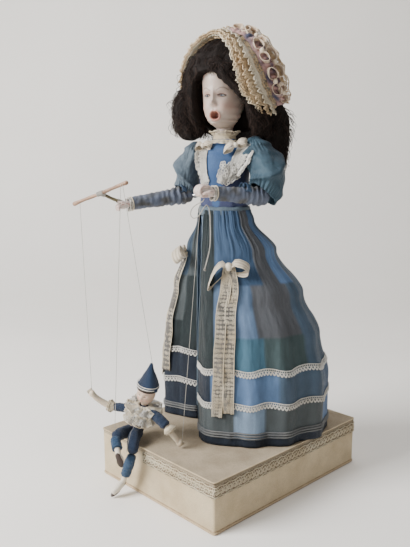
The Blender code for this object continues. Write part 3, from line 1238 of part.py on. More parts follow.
def make_puppet_body(look):
    """Make the marionette's trunk with its two thighs."""
    origin = Vector(BAR_JOINT)
    rings = oval_limb(PUPPET_TRUNK, (1, 0.08, 0), 16)
    trunk = add_object("puppet_body", grid_solid(rings, "caps"), look["navy"], origin)
    thighs = []
    for stations in (PUPPET_RIGHT_THIGH, PUPPET_LEFT_THIGH):
        points = [millimetres(point) for point, _ in stations]
        radii = [radius * MM for _, radius in stations]
        thighs.append(limb(points, radii, 10, True, True))
    combine(trunk, "UNION", thighs)


def shin(thigh, ankle, toe, name, look):
    """Make a lower leg that starts clear of the knee's ball, with its shoe."""
    knee_point, knee_radius = thigh[-1]
    knee, ankle, toe = millimetres(knee_point), millimetres(ankle), millimetres(toe)
    ahead = (ankle - knee).normalized()
    start = knee + ahead * (knee_radius * MM + GAP)
    leg = limb([start, knee.lerp(ankle, 0.62), ankle], [5.6 * MM, 6.2 * MM, 3.6 * MM], 10)
    thing = add_object(name, leg, look["trousers"], knee)
    heel = ankle - (toe - ankle).normalized() * 2 * MM
    shoe = limb([heel, heel.lerp(toe, 0.55), toe], [4.4 * MM, 4.8 * MM, 3.6 * MM], 10, True, True)
    combine(thing, "UNION", [shoe])


def make_puppet(look, knuckles):
    """Make the marionette's body, limbs, head, hat and strings."""
    make_puppet_body(look)
    origin = Vector(BAR_JOINT)
    shin(PUPPET_RIGHT_THIGH, PUPPET_RIGHT_ANKLE, PUPPET_RIGHT_TOE, "puppet_right_leg", look)
    shin(PUPPET_LEFT_THIGH, PUPPET_LEFT_ANKLE, PUPPET_LEFT_TOE, "puppet_left_leg", look)
    for name, stations, base in (("puppet_right_arm", PUPPET_RIGHT_ARM, origin),
                                 ("puppet_left_arm", PUPPET_LEFT_ARM, millimetres(PUPPET_LEFT_SHOULDER))):
        points = [millimetres(point) for point, _ in stations]
        radii = [radius * MM for _, radius in stations]
        add_object(name, limb(points, radii, 10, True, True), look["navy"], base)

    lean = Vector((8, 1, 30)).normalized()
    neck = millimetres(PUPPET_NECK)
    crown = millimetres(PUPPET_HEAD) + lean * 10.5 * MM
    stations = ((0.0, 4.2), (0.12, 5.5), (0.22, 9.2), (0.4, 11.8), (0.6, 12.6), (0.8, 12.4), (1.0, 11.6))
    points = [neck.lerp(crown, share) for share, _ in stations]
    radii = [radius * MM for _, radius in stations]
    add_object("puppet_head", limb(points, radii, 14), look["bisque"], origin)
    tip = millimetres(PUPPET_HAT_TIP)
    axis = (crown - neck).normalized()
    base = crown + axis * 2 * GAP
    brim = base + axis * 4 * MM
    shape = limb([base, brim, brim.lerp(tip, 0.4), brim.lerp(tip, 0.78), tip],
                 [14.5 * MM, 14.5 * MM, 10.5 * MM, 5 * MM, 1.5 * MM], 14)
    add_object("puppet_hat", shape, look["navy"], origin)
    make_strings(look, knuckles)


def make_strings(look, knuckles):
    """Make the three strings of the control bar and the string of the left hand."""
    origin = Vector(BAR_JOINT)
    left, right = Vector(BAR_LEFT), Vector(BAR_RIGHT)
    along = (right - left).normalized()
    clear = BAR_RADIUS + GAP + STRING_RADIUS
    outward = Vector((math.sin(FIGURE_TURN), -math.cos(FIGURE_TURN), 0))
    ends = []
    for point, radius in (PUPPET_RIGHT_ARM[-1], PUPPET_RIGHT_THIGH[-1], (PUPPET_HAT_TIP, 0.4)):
        ends.append(millimetres(point) + Vector((0, 0, radius * MM + GAP)))
    hand, knee, hat = ends
    runs = (("wrist_string", left + along * 7 * MM - outward * clear, hand),
            ("knee_string", right - along * 7 * MM + outward * clear, knee),
            ("hat_string", right - along * 4 * MM + outward * clear, hat))
    for name, start, end in runs:
        add_object(name, rod_between(start, end, STRING_RADIUS, 6), look["thread"], origin)
    fist = knuckles - Vector((0, 0, FIST_RADIUS + GAP))
    hand, radius = PUPPET_LEFT_ARM[-1]
    reach = radius * MM + GAP + STRING_RADIUS
    towards = Vector((fist.x - hand[0] * MM, fist.y - hand[1] * MM, 0)).normalized()
    low = millimetres(hand) + towards * reach
    add_object("left_hand_string", rod_between(fist, low, STRING_RADIUS, 6), look["thread"], low)


def main():
    """Build the whole automaton."""
    clear_scene()
    look = make_finishes()
    make_base(look)
    make_plates(look)
    make_barrel(look)
    make_train(look)
    make_cylinder(look)
    make_levers(look)
    make_rods(look)
    make_post(look)
    make_torso(look)
    make_skirt(look)
    make_sleeves(look)
    make_arm(look, "right", RIGHT_ELBOW, RIGHT_WRIST, RIGHT_CRANK_X, RIGHT_CRANK)
    make_arm(look, "left", LEFT_ELBOW, LEFT_WRIST, LEFT_CRANK_X, LEFT_CRANK)
    tips, knuckles = make_hands(look)
    make_control_bar(look, tips)
    make_head(look)
    make_hand_cord(look)
    make_puppet(look, knuckles)


main()
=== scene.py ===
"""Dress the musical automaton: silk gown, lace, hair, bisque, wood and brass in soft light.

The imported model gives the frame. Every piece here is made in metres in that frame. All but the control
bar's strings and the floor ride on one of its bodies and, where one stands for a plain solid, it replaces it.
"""

import logging
import math
import random
from dataclasses import dataclass, field
from enum import Enum
from typing import Callable, Optional, Sequence

import bpy
from mathutils import Matrix, Vector, noise

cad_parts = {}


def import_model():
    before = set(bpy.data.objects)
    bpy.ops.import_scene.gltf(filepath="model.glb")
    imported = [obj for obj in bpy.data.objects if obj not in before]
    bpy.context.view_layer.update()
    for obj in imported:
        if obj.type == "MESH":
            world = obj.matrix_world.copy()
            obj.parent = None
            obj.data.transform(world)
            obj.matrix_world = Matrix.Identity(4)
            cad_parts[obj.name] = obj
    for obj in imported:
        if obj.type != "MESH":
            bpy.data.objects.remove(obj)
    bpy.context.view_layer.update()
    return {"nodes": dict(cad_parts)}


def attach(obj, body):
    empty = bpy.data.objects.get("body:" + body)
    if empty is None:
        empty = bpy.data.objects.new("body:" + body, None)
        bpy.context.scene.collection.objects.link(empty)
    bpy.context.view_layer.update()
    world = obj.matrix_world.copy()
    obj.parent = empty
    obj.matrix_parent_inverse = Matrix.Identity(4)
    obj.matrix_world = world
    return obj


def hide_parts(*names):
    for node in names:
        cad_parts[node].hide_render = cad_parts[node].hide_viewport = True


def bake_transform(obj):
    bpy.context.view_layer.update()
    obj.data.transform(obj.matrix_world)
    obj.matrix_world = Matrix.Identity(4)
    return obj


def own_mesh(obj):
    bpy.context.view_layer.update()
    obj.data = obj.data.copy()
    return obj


LOG = logging.getLogger("automaton")
MM = 0.001
SEED = 7

Colour = tuple[float, float, float]
Triple = tuple[float, float, float]
Pair = tuple[float, float]
Grid = list[list[Vector]]
Station = tuple[float, float, float, float]
Dye = Colour | Callable[[int, int], Colour]
# A frill's root, the way it stands out and the way it waves
Stand = tuple[Vector, Vector, Vector]
Socket = bpy.types.NodeSocket
UP = Vector((0, 0, 1))
WHITE = (1, 1, 1)

# The height of the doll's waist, and the top of its neck, in millimetres
WAIST = 386.0
NECK = 494
# The doll's own frame: its axis on the base and its turn
FIGURE = Vector((2.0, -18.0, 0.0))
FIGURE_TURN = math.radians(20)
DOLL = Matrix.Translation(FIGURE * MM) @ Matrix.Rotation(FIGURE_TURN, 4, "Z")
DOLL_ROTATION = DOLL.to_3x3()


def doll(x: float, y: float, z: float) -> Vector:
    """Turn a point of the doll's frame, in millimetres, into a point of the model's frame."""
    return DOLL @ (Vector((x, y, z)) * MM)


def mm(x: float, y: float, z: float) -> Vector:
    """Turn a point of the base's frame, in millimetres, into metres."""
    return Vector((x, y, z)) * MM


def mix(first: Colour, second: Colour, share: float) -> Colour:
    """Mix two colours."""
    share = max(0.0, min(1.0, share))
    return tuple(a + (b - a) * share for a, b in zip(first, second))


def smooth_through(keys: Sequence[Sequence[float]], value: float) -> float:
    """Read a smooth curve through (position, amount) keys.

    Args:
        keys: The curve's knots, in rising order of position.
        value: Where to read it.

    Returns:
        The amount at that position, held level past both ends.
    """
    if value <= keys[0][0]:
        return keys[0][1]
    for (low, first), (high, second) in zip(keys, keys[1:]):
        if value <= high:
            share = (value - low) / (high - low)
            share = share * share * (3 - 2 * share)
            return first + (second - first) * share
    return keys[-1][1]


def read_line(points: Sequence[Sequence[float]], place: float, closed: bool) -> Vector:
    """Read the smooth line through points at a place counted in points.

    Args:
        points: The line's knots, flat or in space.
        place: Where to read, nought at the first knot.
        closed: Whether the last knot joins the first.

    Returns:
        The point on the line.
    """
    count = len(points)
    index = math.floor(place) if closed else max(0, min(int(place), count - 2))
    share = place - index

    def at(number: int) -> Vector:
        """Give a knot, carried on in a straight line past open ends."""
        if closed:
            return Vector(points[number % count])
        if number < 0:
            return Vector(points[0]) * 2 - Vector(points[1])
        if number >= count:
            return Vector(points[-1]) * 2 - Vector(points[-2])
        return Vector(points[number])

    before, a, b, after = (at(index + step) for step in (-1, 0, 1, 2))
    return 0.5 * ((2 * a) + (b - before) * share + (2 * before - 5 * a + 4 * b - after) * share ** 2
                  + (3 * a - before - 3 * b + after) * share ** 3)


def smooth_route(points: Sequence[Sequence[float]], steps: int) -> list[Vector]:
    """Read the smooth line through points at an even number of places.

    Args:
        points: The line's knots.
        steps: How many stretches each pair of knots is cut into.

    Returns:
        The points along the line.
    """
    count = (len(points) - 1) * steps
    return [read_line(points, step / steps, False) for step in range(count + 1)]


def circle(count: int, extra: int = 0) -> list[Pair]:
    """Give the cosine and sine at even steps of a turn, with extra steps past its end."""
    return [(math.cos(2 * math.pi * k / count), math.sin(2 * math.pi * k / count))
            for k in range(count + extra)]


def ways_across(line: Sequence[Vector], level: bool = False) -> list[tuple[Vector, Vector]]:
    """Carry two ways across a line along it without twist.

    Args:
        line: The line's points.
        level: Whether the first way starts level where the line isn't upright.

    Returns:
        Both ways at each point.
    """
    found = []
    side = None
    for index in range(len(line)):
        ahead = (line[min(index + 1, len(line) - 1)] - line[max(index - 1, 0)]).normalized()
        if side is None:
            flat = ahead.cross(UP)
            side = flat.normalized() if level and flat.length > 0.05 else ahead.orthogonal().normalized()
        side = (side - ahead * side.dot(ahead)).normalized()
        found.append((side, ahead.cross(side)))
    return found


def read_rings(rings: Sequence[Sequence[float]], height: float) -> list[float]:
    """Read each measure of a body given as rings of (height, measures), at a height."""
    return [smooth_through([(ring[0], ring[part]) for ring in rings], height)
            for part in range(1, len(rings[0]))]


class Side(Enum):
    """The doll's two sides; the value is the sign of its own X."""

    RIGHT = -1
    LEFT = 1


class Paint:
    """Builds the nodes of one material, one short call for each node."""

    def __init__(self, name: str) -> None:
        """Start a material with only its output and its Principled shader."""
        self.material = bpy.data.materials.new(name)
        self.material.use_nodes = True
        self.nodes = self.material.node_tree.nodes
        self.links = self.material.node_tree.links
        self.shader = self.nodes["Principled BSDF"]

    def add(self, kind: str, inputs: Optional[dict] = None, **settings: object) -> bpy.types.Node:
        """Add a node.

        Args:
            kind: The node's type name without its ShaderNode prefix.
            inputs: Values or output sockets for its inputs, by name or number.
            settings: Attributes to set on the node.

        Returns:
            The node.
        """
        node = self.nodes.new(f"ShaderNode{kind}")
        for name, value in settings.items():
            setattr(node, name, value)
        for name, value in (inputs or {}).items():
            if isinstance(value, Socket):
                self.links.new(value, node.inputs[name])
            else:
                node.inputs[name].default_value = value
        return node

    def place(self) -> Socket:
        """Give the object's own coordinates."""
        return self.add("TexCoord").outputs["Object"]

    def grain(self, scale: float, detail: float, stretch: Triple = WHITE) -> Socket:
        """Give fractal noise from nought to one.

        Args:
            scale: Grains to the metre.
            detail: How many octaves.
            stretch: A scale for each axis.

        Returns:
            The noise's value.
        """
        mapping = self.add("Mapping", {"Vector": self.place(), "Scale": stretch})
        return self.add("TexNoise",
                        {"Vector": mapping.outputs[0], "Scale": scale, "Detail": detail}).outputs["Fac"]

    def sum(self, kind: str, first: object, second: object) -> Socket:
        """Combine two values with a Math node."""
        return self.add("Math", {0: first, 1: second}, operation=kind).outputs[0]

    def spread(self, value: Socket, low: float, high: float) -> Socket:
        """Stretch a value so that low becomes nought and high becomes one."""
        return self.add("MapRange", {"Value": value, "From Min": low, "From Max": high}).outputs[0]

    def blend(self, share: object, first: object, second: object, kind: str = "MIX") -> Socket:
        """Mix two colours by a share."""
        node = self.add("Mix", data_type="RGBA", blend_type=kind)
        for index, value in ((0, share), (6, first), (7, second)):
            if isinstance(value, Socket):
                self.links.new(value, node.inputs[index])
            elif index == 0:
                node.inputs[0].default_value = value
            else:
                node.inputs[index].default_value = (*value, 1.0)
        return node.outputs[2]

    def attribute(self, name: str) -> Socket:
        """Give a colour attribute of the mesh."""
        return self.add("Attribute", attribute_name=name).outputs["Color"]

    def weave(self, pitch: float) -> Socket:
        """Give a plain weave's height: threads across and along at a pitch in metres."""
        x, y, z = self.add("SeparateXYZ", {"Vector": self.place()}).outputs

        def wave(place: Socket) -> Socket:
            """Give a wave of that pitch."""
            return self.sum("SINE", self.sum("MULTIPLY", place, 2 * math.pi / pitch), 0.0)

        across, up, level = wave(self.sum("ADD", x, y)), wave(z), wave(self.sum("SUBTRACT", x, y))
        return self.sum("ADD", self.sum("MULTIPLY", across, up), self.sum("MULTIPLY", across, level))

    def bump(self, height: Socket, depth: float, before: Optional[Socket] = None) -> Socket:
        """Turn a height into a normal.

        Args:
            height: The height, about nought to one.
            depth: How deep one stands, in metres.
            before: A normal from another bump to add to.

        Returns:
            The normal.
        """
        inputs = {"Height": height, "Distance": depth, "Strength": 1.0}
        if before is not None:
            inputs["Normal"] = before
        return self.add("Bump", inputs).outputs[0]

    def done(self, colour: object, rough_share: object, normal: Optional[Socket] = None,
             **constants: float) -> bpy.types.Material:
        """Link the surface and give the material.

        Args:
            colour: A colour or a socket.
            rough_share: A roughness or a socket.
            normal: The normal, if the surface has relief.
            constants: Shader sockets that are the same all over, by name with underscores.

        Returns:
            The material.
        """
        for name, value in (("Base Color", colour), ("Roughness", rough_share), ("Normal", normal)):
            if isinstance(value, Socket):
                self.links.new(value, self.shader.inputs[name])
            elif value is not None:
                self.shader.inputs[name].default_value = (*value, 1.0) if name == "Base Color" else value
        for name, value in constants.items():
            self.shader.inputs[name.replace("_", " ")].default_value = value
        if not isinstance(colour, Socket):
            self.material.diffuse_color = (*colour, 1.0)
        return self.material


class Finish:
    """A named finish whose material is built once."""

    name: str

    def material(self) -> bpy.types.Material:
        """Give the finish's material, building it the first time."""
        title = f"{self.name}_finish"
        return bpy.data.materials.get(title) or self.look(Paint(title))

    def look(self, paint: Paint) -> bpy.types.Material:
        """Build the material; each kind of finish does it in its own way."""
        raise NotImplementedError


@dataclass(frozen=True)
class Fabric(Finish):
    """A woven cloth: its colour, its threads, relief and creases in millimetres, and how it shines."""

    name: str
    colour: Colour
    faded: Colour
    roughness: float
    thread: float
    relief: float
    crumple: float
    crumple_scale: float
    sheen: float
    painted: bool = False
    streak: Triple = WHITE

    def look(self, paint: Paint) -> bpy.types.Material:
        """Build the cloth's material."""
        wear = paint.spread(paint.grain(38, 5, stretch=self.streak), 0.35, 0.7)
        if self.painted:
            dye = paint.attribute("Dye")
            darker = paint.blend(1.0, dye, mix(WHITE, self.faded, 0.35), "MULTIPLY")
            base = paint.blend(wear, dye, darker)
        else:
            base = paint.blend(wear, self.colour, self.faded)
        threads = paint.weave(self.thread * MM)
        fine = paint.spread(paint.grain(900, 3, stretch=(1, 1, 2.2)), 0.3, 0.7)
        base = paint.blend(paint.sum("MULTIPLY", fine, 0.28), base, (0.02, 0.02, 0.03), "MULTIPLY")
        folds = paint.bump(paint.grain(self.crumple_scale, 4, stretch=self.streak), self.crumple * MM)
        normal = paint.bump(threads, self.relief * MM, folds)
        gloss = paint.sum("ADD", self.roughness, paint.sum("MULTIPLY", wear, 0.12))
        return paint.done(base, gloss, normal, Sheen_Weight=self.sheen, Sheen_Roughness=0.4,
                          IOR=1.45, Specular_IOR_Level=0.28)


@dataclass(frozen=True)
class Metal(Finish):
    """A worked metal with fine turning marks and a little tarnish."""

    name: str
    colour: Colour
    tarnish: Colour
    roughness: float

    def look(self, paint: Paint) -> bpy.types.Material:
        """Build the metal's material."""
        age = paint.spread(paint.grain(120, 6), 0.45, 0.75)
        marks = paint.grain(1500, 2, stretch=(1, 0.06, 1))
        gloss = paint.sum("ADD", self.roughness, paint.sum("MULTIPLY", age, 0.2))
        return paint.done(paint.blend(age, self.colour, self.tarnish), gloss, paint.bump(marks, 0.03 * MM),
                          Metallic=1.0)


@dataclass(frozen=True)
class Timber(Finish):
    """Wood with grain along one axis under a thin worn varnish."""

    name: str
    light: Colour
    dark: Colour
    roughness: float
    along: Triple = (1, 1, 0.08)

    def look(self, paint: Paint) -> bpy.types.Material:
        """Build the wood's material."""
        figure = paint.spread(paint.grain(220, 6, stretch=self.along), 0.35, 0.68)
        pores = paint.grain(1400, 3, stretch=self.along)
        gloss = paint.sum("ADD", self.roughness, paint.sum("MULTIPLY", figure, 0.15))
        return paint.done(paint.blend(figure, self.light, self.dark), gloss, paint.bump(pores, 0.08 * MM),
                          Coat_Weight=0.25, Coat_Roughness=0.3)


@dataclass(frozen=True)
class Coloured(Finish):
    """A matt or silky skin painted by the mesh's own Dye attribute, with fine relief in millimetres."""

    name: str
    roughness: float
    grain: float
    relief: float
    subsurface: float = 0.0
    shine: float = 0.5

    def look(self, paint: Paint) -> bpy.types.Material:
        """Build the painted skin's material."""
        dye = paint.attribute("Dye")
        tone = paint.spread(paint.grain(60, 5), 0.3, 0.75)
        base = paint.blend(paint.sum("MULTIPLY", tone, 0.14), dye, (0.35, 0.28, 0.24), "MULTIPLY")
        gloss = paint.sum("ADD", self.roughness, paint.sum("MULTIPLY", tone, 0.1))
        return paint.done(base, gloss, paint.bump(paint.grain(self.grain, 3), self.relief * MM),
                          Subsurface_Weight=self.subsurface, Subsurface_Scale=1.5 * MM,
                          Specular_IOR_Level=self.shine)


# The top board's cloth: the cover cloth darkened as painted shade
PAINTED_SHADE_TOP_CLOTH = Fabric("top_cloth", (0.56, 0.45, 0.31), (0.42, 0.33, 0.22), 0.88, 0.9, 0.16, 0.5, 40, 0.1)
COVER_CLOTH = Fabric("cover_cloth", (0.79, 0.64, 0.41), (0.64, 0.50, 0.30), 0.85, 0.9, 0.16, 0.5, 40, 0.2)
BRAID_THREAD = Fabric("braid_thread", (0.92, 0.83, 0.62), (0.74, 0.60, 0.38), 0.6, 0.5, 0.12, 0.2, 300, 0.2)
LACE_THREAD = Fabric("lace_thread", (0.86, 0.77, 0.60), (0.68, 0.56, 0.38), 0.85, 0.4, 0.08, 0.1, 300, 0.2)
WHITE_LACE = Fabric("white_lace", (0.90, 0.88, 0.82), (0.68, 0.63, 0.54), 0.85, 0.4, 0.08, 0.1, 300, 0.2)
GROUND_NET = Fabric("lace_ground", (0.66, 0.58, 0.45), (0.42, 0.35, 0.26), 0.9, 0.8, 0.2, 0.3, 120, 0.2)
BRAID_GROUND = Fabric("braid_ground", (0.30, 0.20, 0.11), (0.20, 0.13, 0.07), 0.8, 0.8, 0.2, 0.3, 120, 0.2)
# A thin dark cord under the case's top piping: painted shadow
PAINTED_SHADOW_CORD = Fabric("dark_edging", (0.20, 0.15, 0.10), (0.13, 0.10, 0.07), 0.8, 0.6, 0.1, 0.1, 200, 0.1)
TAIL_NET = Fabric("tail_net", (0.13, 0.12, 0.11), (0.22, 0.20, 0.17), 0.9, 1.6, 0.3, 0.3, 120, 0.2)
HEM_CORD = Fabric("hem_cord", (0.25, 0.25, 0.24), (0.14, 0.15, 0.16), 0.7, 0.8, 0.2, 0.2, 300, 0.2)
RIBBON = Fabric("ecru_ribbon", (0.66, 0.55, 0.40), (0.75, 0.66, 0.55), 0.5, 0.4, 0.05, 0.4, 120, 0.4, True)
MAUVE_SATIN = Fabric("mauve_satin", (0.36, 0.33, 0.42), (0.75, 0.6, 0.6),
                     0.38, 0.4, 0.03, 1.2, 150, 0.05, True)
CROCHET = Fabric("crochet_thread", (0.88, 0.69, 0.44), (0.68, 0.47, 0.26), 0.8, 0.4, 0.08, 0.1, 300, 0.2)
PATCHED_SILK = Fabric("patched_silk", (0.1, 0.2, 0.3), (0.30, 0.34, 0.36), 0.46, 0.45, 0.05, 2.6, 38, 0.05,
                      True, (1, 1, 0.6))
TEAL_SILK = Fabric("teal_silk", (0.050, 0.095, 0.130), (0.024, 0.048, 0.070), 0.40, 0.45, 0.04, 3.0, 40, 0.06,
                   streak=(1, 1, 0.5))
NAVY_SILK = Fabric("navy_silk", (0.03, 0.065, 0.13), (0.05, 0.08, 0.13), 0.42, 0.45, 0.04, 0.8, 70, 0.06)
SLATE_SILK = Fabric("slate_silk", (0.125, 0.165, 0.20), (0.07, 0.10, 0.13), 0.45, 0.45, 0.04, 2.4, 45, 0.06,
                    streak=(1, 1, 0.5))
PUPPET_CLOTH = Fabric("puppet_cotton", (0.1, 0.1, 0.1), (0.75, 0.8, 0.95),
                      0.75, 0.6, 0.10, 0.6, 160, 0.12, True)
CARD = Fabric("moulded_card", (0.52, 0.43, 0.32), (0.38, 0.30, 0.22), 0.9, 1.2, 0.05, 0.3, 200, 0.0)
CORD_THREAD = Fabric("cord_thread", (0.78, 0.75, 0.68), (0.52, 0.48, 0.42), 0.8, 0.6, 0.2, 0.2, 400, 0.2)
FINE_THREAD = Fabric("fine_thread", (0.60, 0.57, 0.50), (0.42, 0.40, 0.36), 0.8, 0.3, 0.1, 0.1, 500, 0.2)
BRASS = Metal("brass", (0.72, 0.53, 0.25), (0.42, 0.30, 0.15), 0.3)
STEEL = Metal("steel", (0.52, 0.52, 0.54), (0.25, 0.24, 0.24), 0.32)
PALE_WOOD = Timber("pale_wood", (0.50, 0.36, 0.22), (0.33, 0.21, 0.12), 0.6)
BAR_WOOD = Timber("bar_wood", (0.34, 0.20, 0.12), (0.15, 0.08, 0.045), 0.5, (0.1, 1, 1))
HANDLE_WOOD = Timber("handle_wood", (0.16, 0.13, 0.06), (0.08, 0.06, 0.03), 0.5, (1, 0.1, 1))
BISQUE = Coloured("bisque", 0.42, 700, 0.03, 0.08)
HAIR = Coloured("dark_hair", 0.7, 1800, 0.15, shine=0.15)
LEATHER = Coloured("shoe_leather", 0.5, 900, 0.08)


def thicken(piece: bpy.types.Object, wall: float, inward: bool) -> None:
    """Give an open sheet a wall in metres, with its faces' normals or against them."""
    modifier = piece.modifiers.new("wall", "SOLIDIFY")
    modifier.thickness = wall
    modifier.offset = -1.0 if inward else 1.0


class Shape:
    """Gathers the points, faces and dyes of one piece."""

    def __init__(self) -> None:
        """Start with nothing."""
        self.points: list[Vector] = []
        self.faces: list[tuple[int, ...]] = []
        self.dyes: list[Colour] = []

    def point(self, where: Vector, dye: Colour) -> int:
        """Add a point and give its number."""
        self.points.append(where)
        self.dyes.append(dye)
        return len(self.points) - 1

    def sheet(self, rows: Sequence[Sequence[Vector]], round_rows: bool = False, round_columns: bool = False,
              dye: Optional[Callable[[int, int], Colour]] = None) -> None:
        """Skin a grid of points.

        Args:
            rows: The grid.
            round_rows: Whether each row closes on itself.
            round_columns: Whether the last row joins the first.
            dye: The colour at a row and a column.
        """
        numbers = [[self.point(spot, dye(i, j) if dye else WHITE) for j, spot in enumerate(row)]
                   for i, row in enumerate(rows)]
        height = len(rows) if round_columns else len(rows) - 1
        width = len(rows[0]) if round_rows else len(rows[0]) - 1
        for i in range(height):
            for j in range(width):
                low, high = numbers[i], numbers[(i + 1) % len(rows)]
                after = (j + 1) % len(rows[0])
                self.faces.append((low[j], low[after], high[after], high[j]))

    def solid(self, rings: Sequence[Sequence[Vector]], dye: Dye) -> None:
        """Skin closed rings and close both ends."""
        pick = dye if callable(dye) else (lambda i, j: dye)
        start = len(self.points)
        self.sheet(rings, round_rows=True, dye=pick)
        count = len(rings[0])
        for ring, first, turn in ((rings[0], start, -1), (rings[-1], start + count * (len(rings) - 1), 1)):
            middle = sum(ring, Vector()) / count
            hub = self.point(middle, pick(0 if turn < 0 else len(rings) - 1, 0))
            for j in range(count):
                edge = (first + j, first + (j + 1) % count)
                self.faces.append((*edge[::turn], hub))

    def tube(self, route: Sequence[Vector], radii: float | Sequence[float], sides: int, flat: float = 1.0,
             dye: Dye = WHITE, round_ends: bool = False) -> None:
        """Skin a round or flattened tube along a route.

        Args:
            route: The points it follows.
            radii: One radius, or one for each point.
            sides: How many sides it has.
            flat: The share of its radius that it keeps across the other way.
            dye: Its colour, or a colour for each station and side.
            round_ends: Whether its ends are domed.
        """
        route = [Vector(spot) for spot in route]
        sizes = list(radii) if isinstance(radii, (list, tuple)) else [radii] * len(route)

        def dome(end: Vector, near: Vector, size: float) -> list[tuple[Vector, float]]:
            """Give the two stations that dome an end."""
            way = (end - near).normalized()
            return [(end + way * size * 0.55, size * 0.82), (end + way * size * 0.92, size * 0.4)]

        if round_ends:
            start, finish = dome(route[0], route[1], sizes[0]), dome(route[-1], route[-2], sizes[-1])
            route, sizes = zip(*start[::-1], *zip(route, sizes), *finish)
        self.solid([[spot + side * size * c + other * size * flat * s for c, s in circle(sides)]
                    for spot, size, (side, other) in zip(route, sizes, ways_across(route, level=True))], dye)

    def ball(self, centre: Vector, radii: Triple, dye: Colour, sides: int,
             turn: Optional[Matrix] = None) -> None:
        """Add a ball or an egg, turned by a matrix if one is given."""
        turn = turn or Matrix.Identity(3)
        self.solid([[centre + turn @ Vector((radii[0] * math.sin(tilt) * c, radii[1] * math.sin(tilt) * s,
                                             -radii[2] * math.cos(tilt))) for c, s in circle(sides)]
                    for tilt in (math.pi * step / 6 for step in range(1, 6))], dye)

    def ring(self, centre: Vector, normal: Vector, radius: float, thick: float, sides: int) -> None:
        """Add a small loop of thread."""
        across = normal.orthogonal().normalized()
        up = normal.cross(across).normalized()
        rows = []
        for way in (across * c + up * s for c, s in circle(sides)):
            rows.append([centre + way * radius + way * thick * c + normal * thick * s for c, s in circle(3)])
        self.sheet(rows, round_rows=True, round_columns=True)

    def piece(self, name: str, finish: Finish, wall: float = 0.0, subdivide: int = 0, inward: bool = False
              ) -> bpy.types.Object:
        """Make the object.

        Args:
            name: The piece's name.
            finish: Its finish.
            wall: A thickness to give an open sheet, in metres.
            subdivide: Rounds of subdivision.
            inward: Whether the wall grows against the faces' normals.

        Returns:
            The object, at the origin.
        """
        mesh = bpy.data.meshes.new(name)
        mesh.from_pydata([tuple(spot) for spot in self.points], [], self.faces)
        dyes = mesh.color_attributes.new("Dye", "FLOAT_COLOR", "POINT")
        dyes.data.foreach_set("color", [value for dye in self.dyes for value in (*dye, 1.0)])
        mesh.materials.append(finish.material())
        mesh.shade_smooth()
        mesh.update()
        made = bpy.data.objects.new(name, mesh)
        bpy.context.scene.collection.objects.link(made)
        if subdivide:
            round_off = made.modifiers.new("round", "SUBSURF")
            round_off.levels = subdivide
            round_off.render_levels = subdivide
        if wall:
            thicken(made, wall, inward)
        return made


def settle(piece: bpy.types.Object, body: str, slot: str, *nodes: str) -> bpy.types.Object:
    """Let a piece ride on a body and hide the solids it stands for.

    Args:
        piece: The finished object.
        body: The body it rides on.
        slot: The record's material slot; not used.
        nodes: The nodes that it replaces.

    Returns:
        The piece.
    """
    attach(piece, body)
    if nodes:
        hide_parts(*nodes)
    LOG.info("%s: %d faces on %s", piece.name, len(piece.data.polygons), body)
    return piece


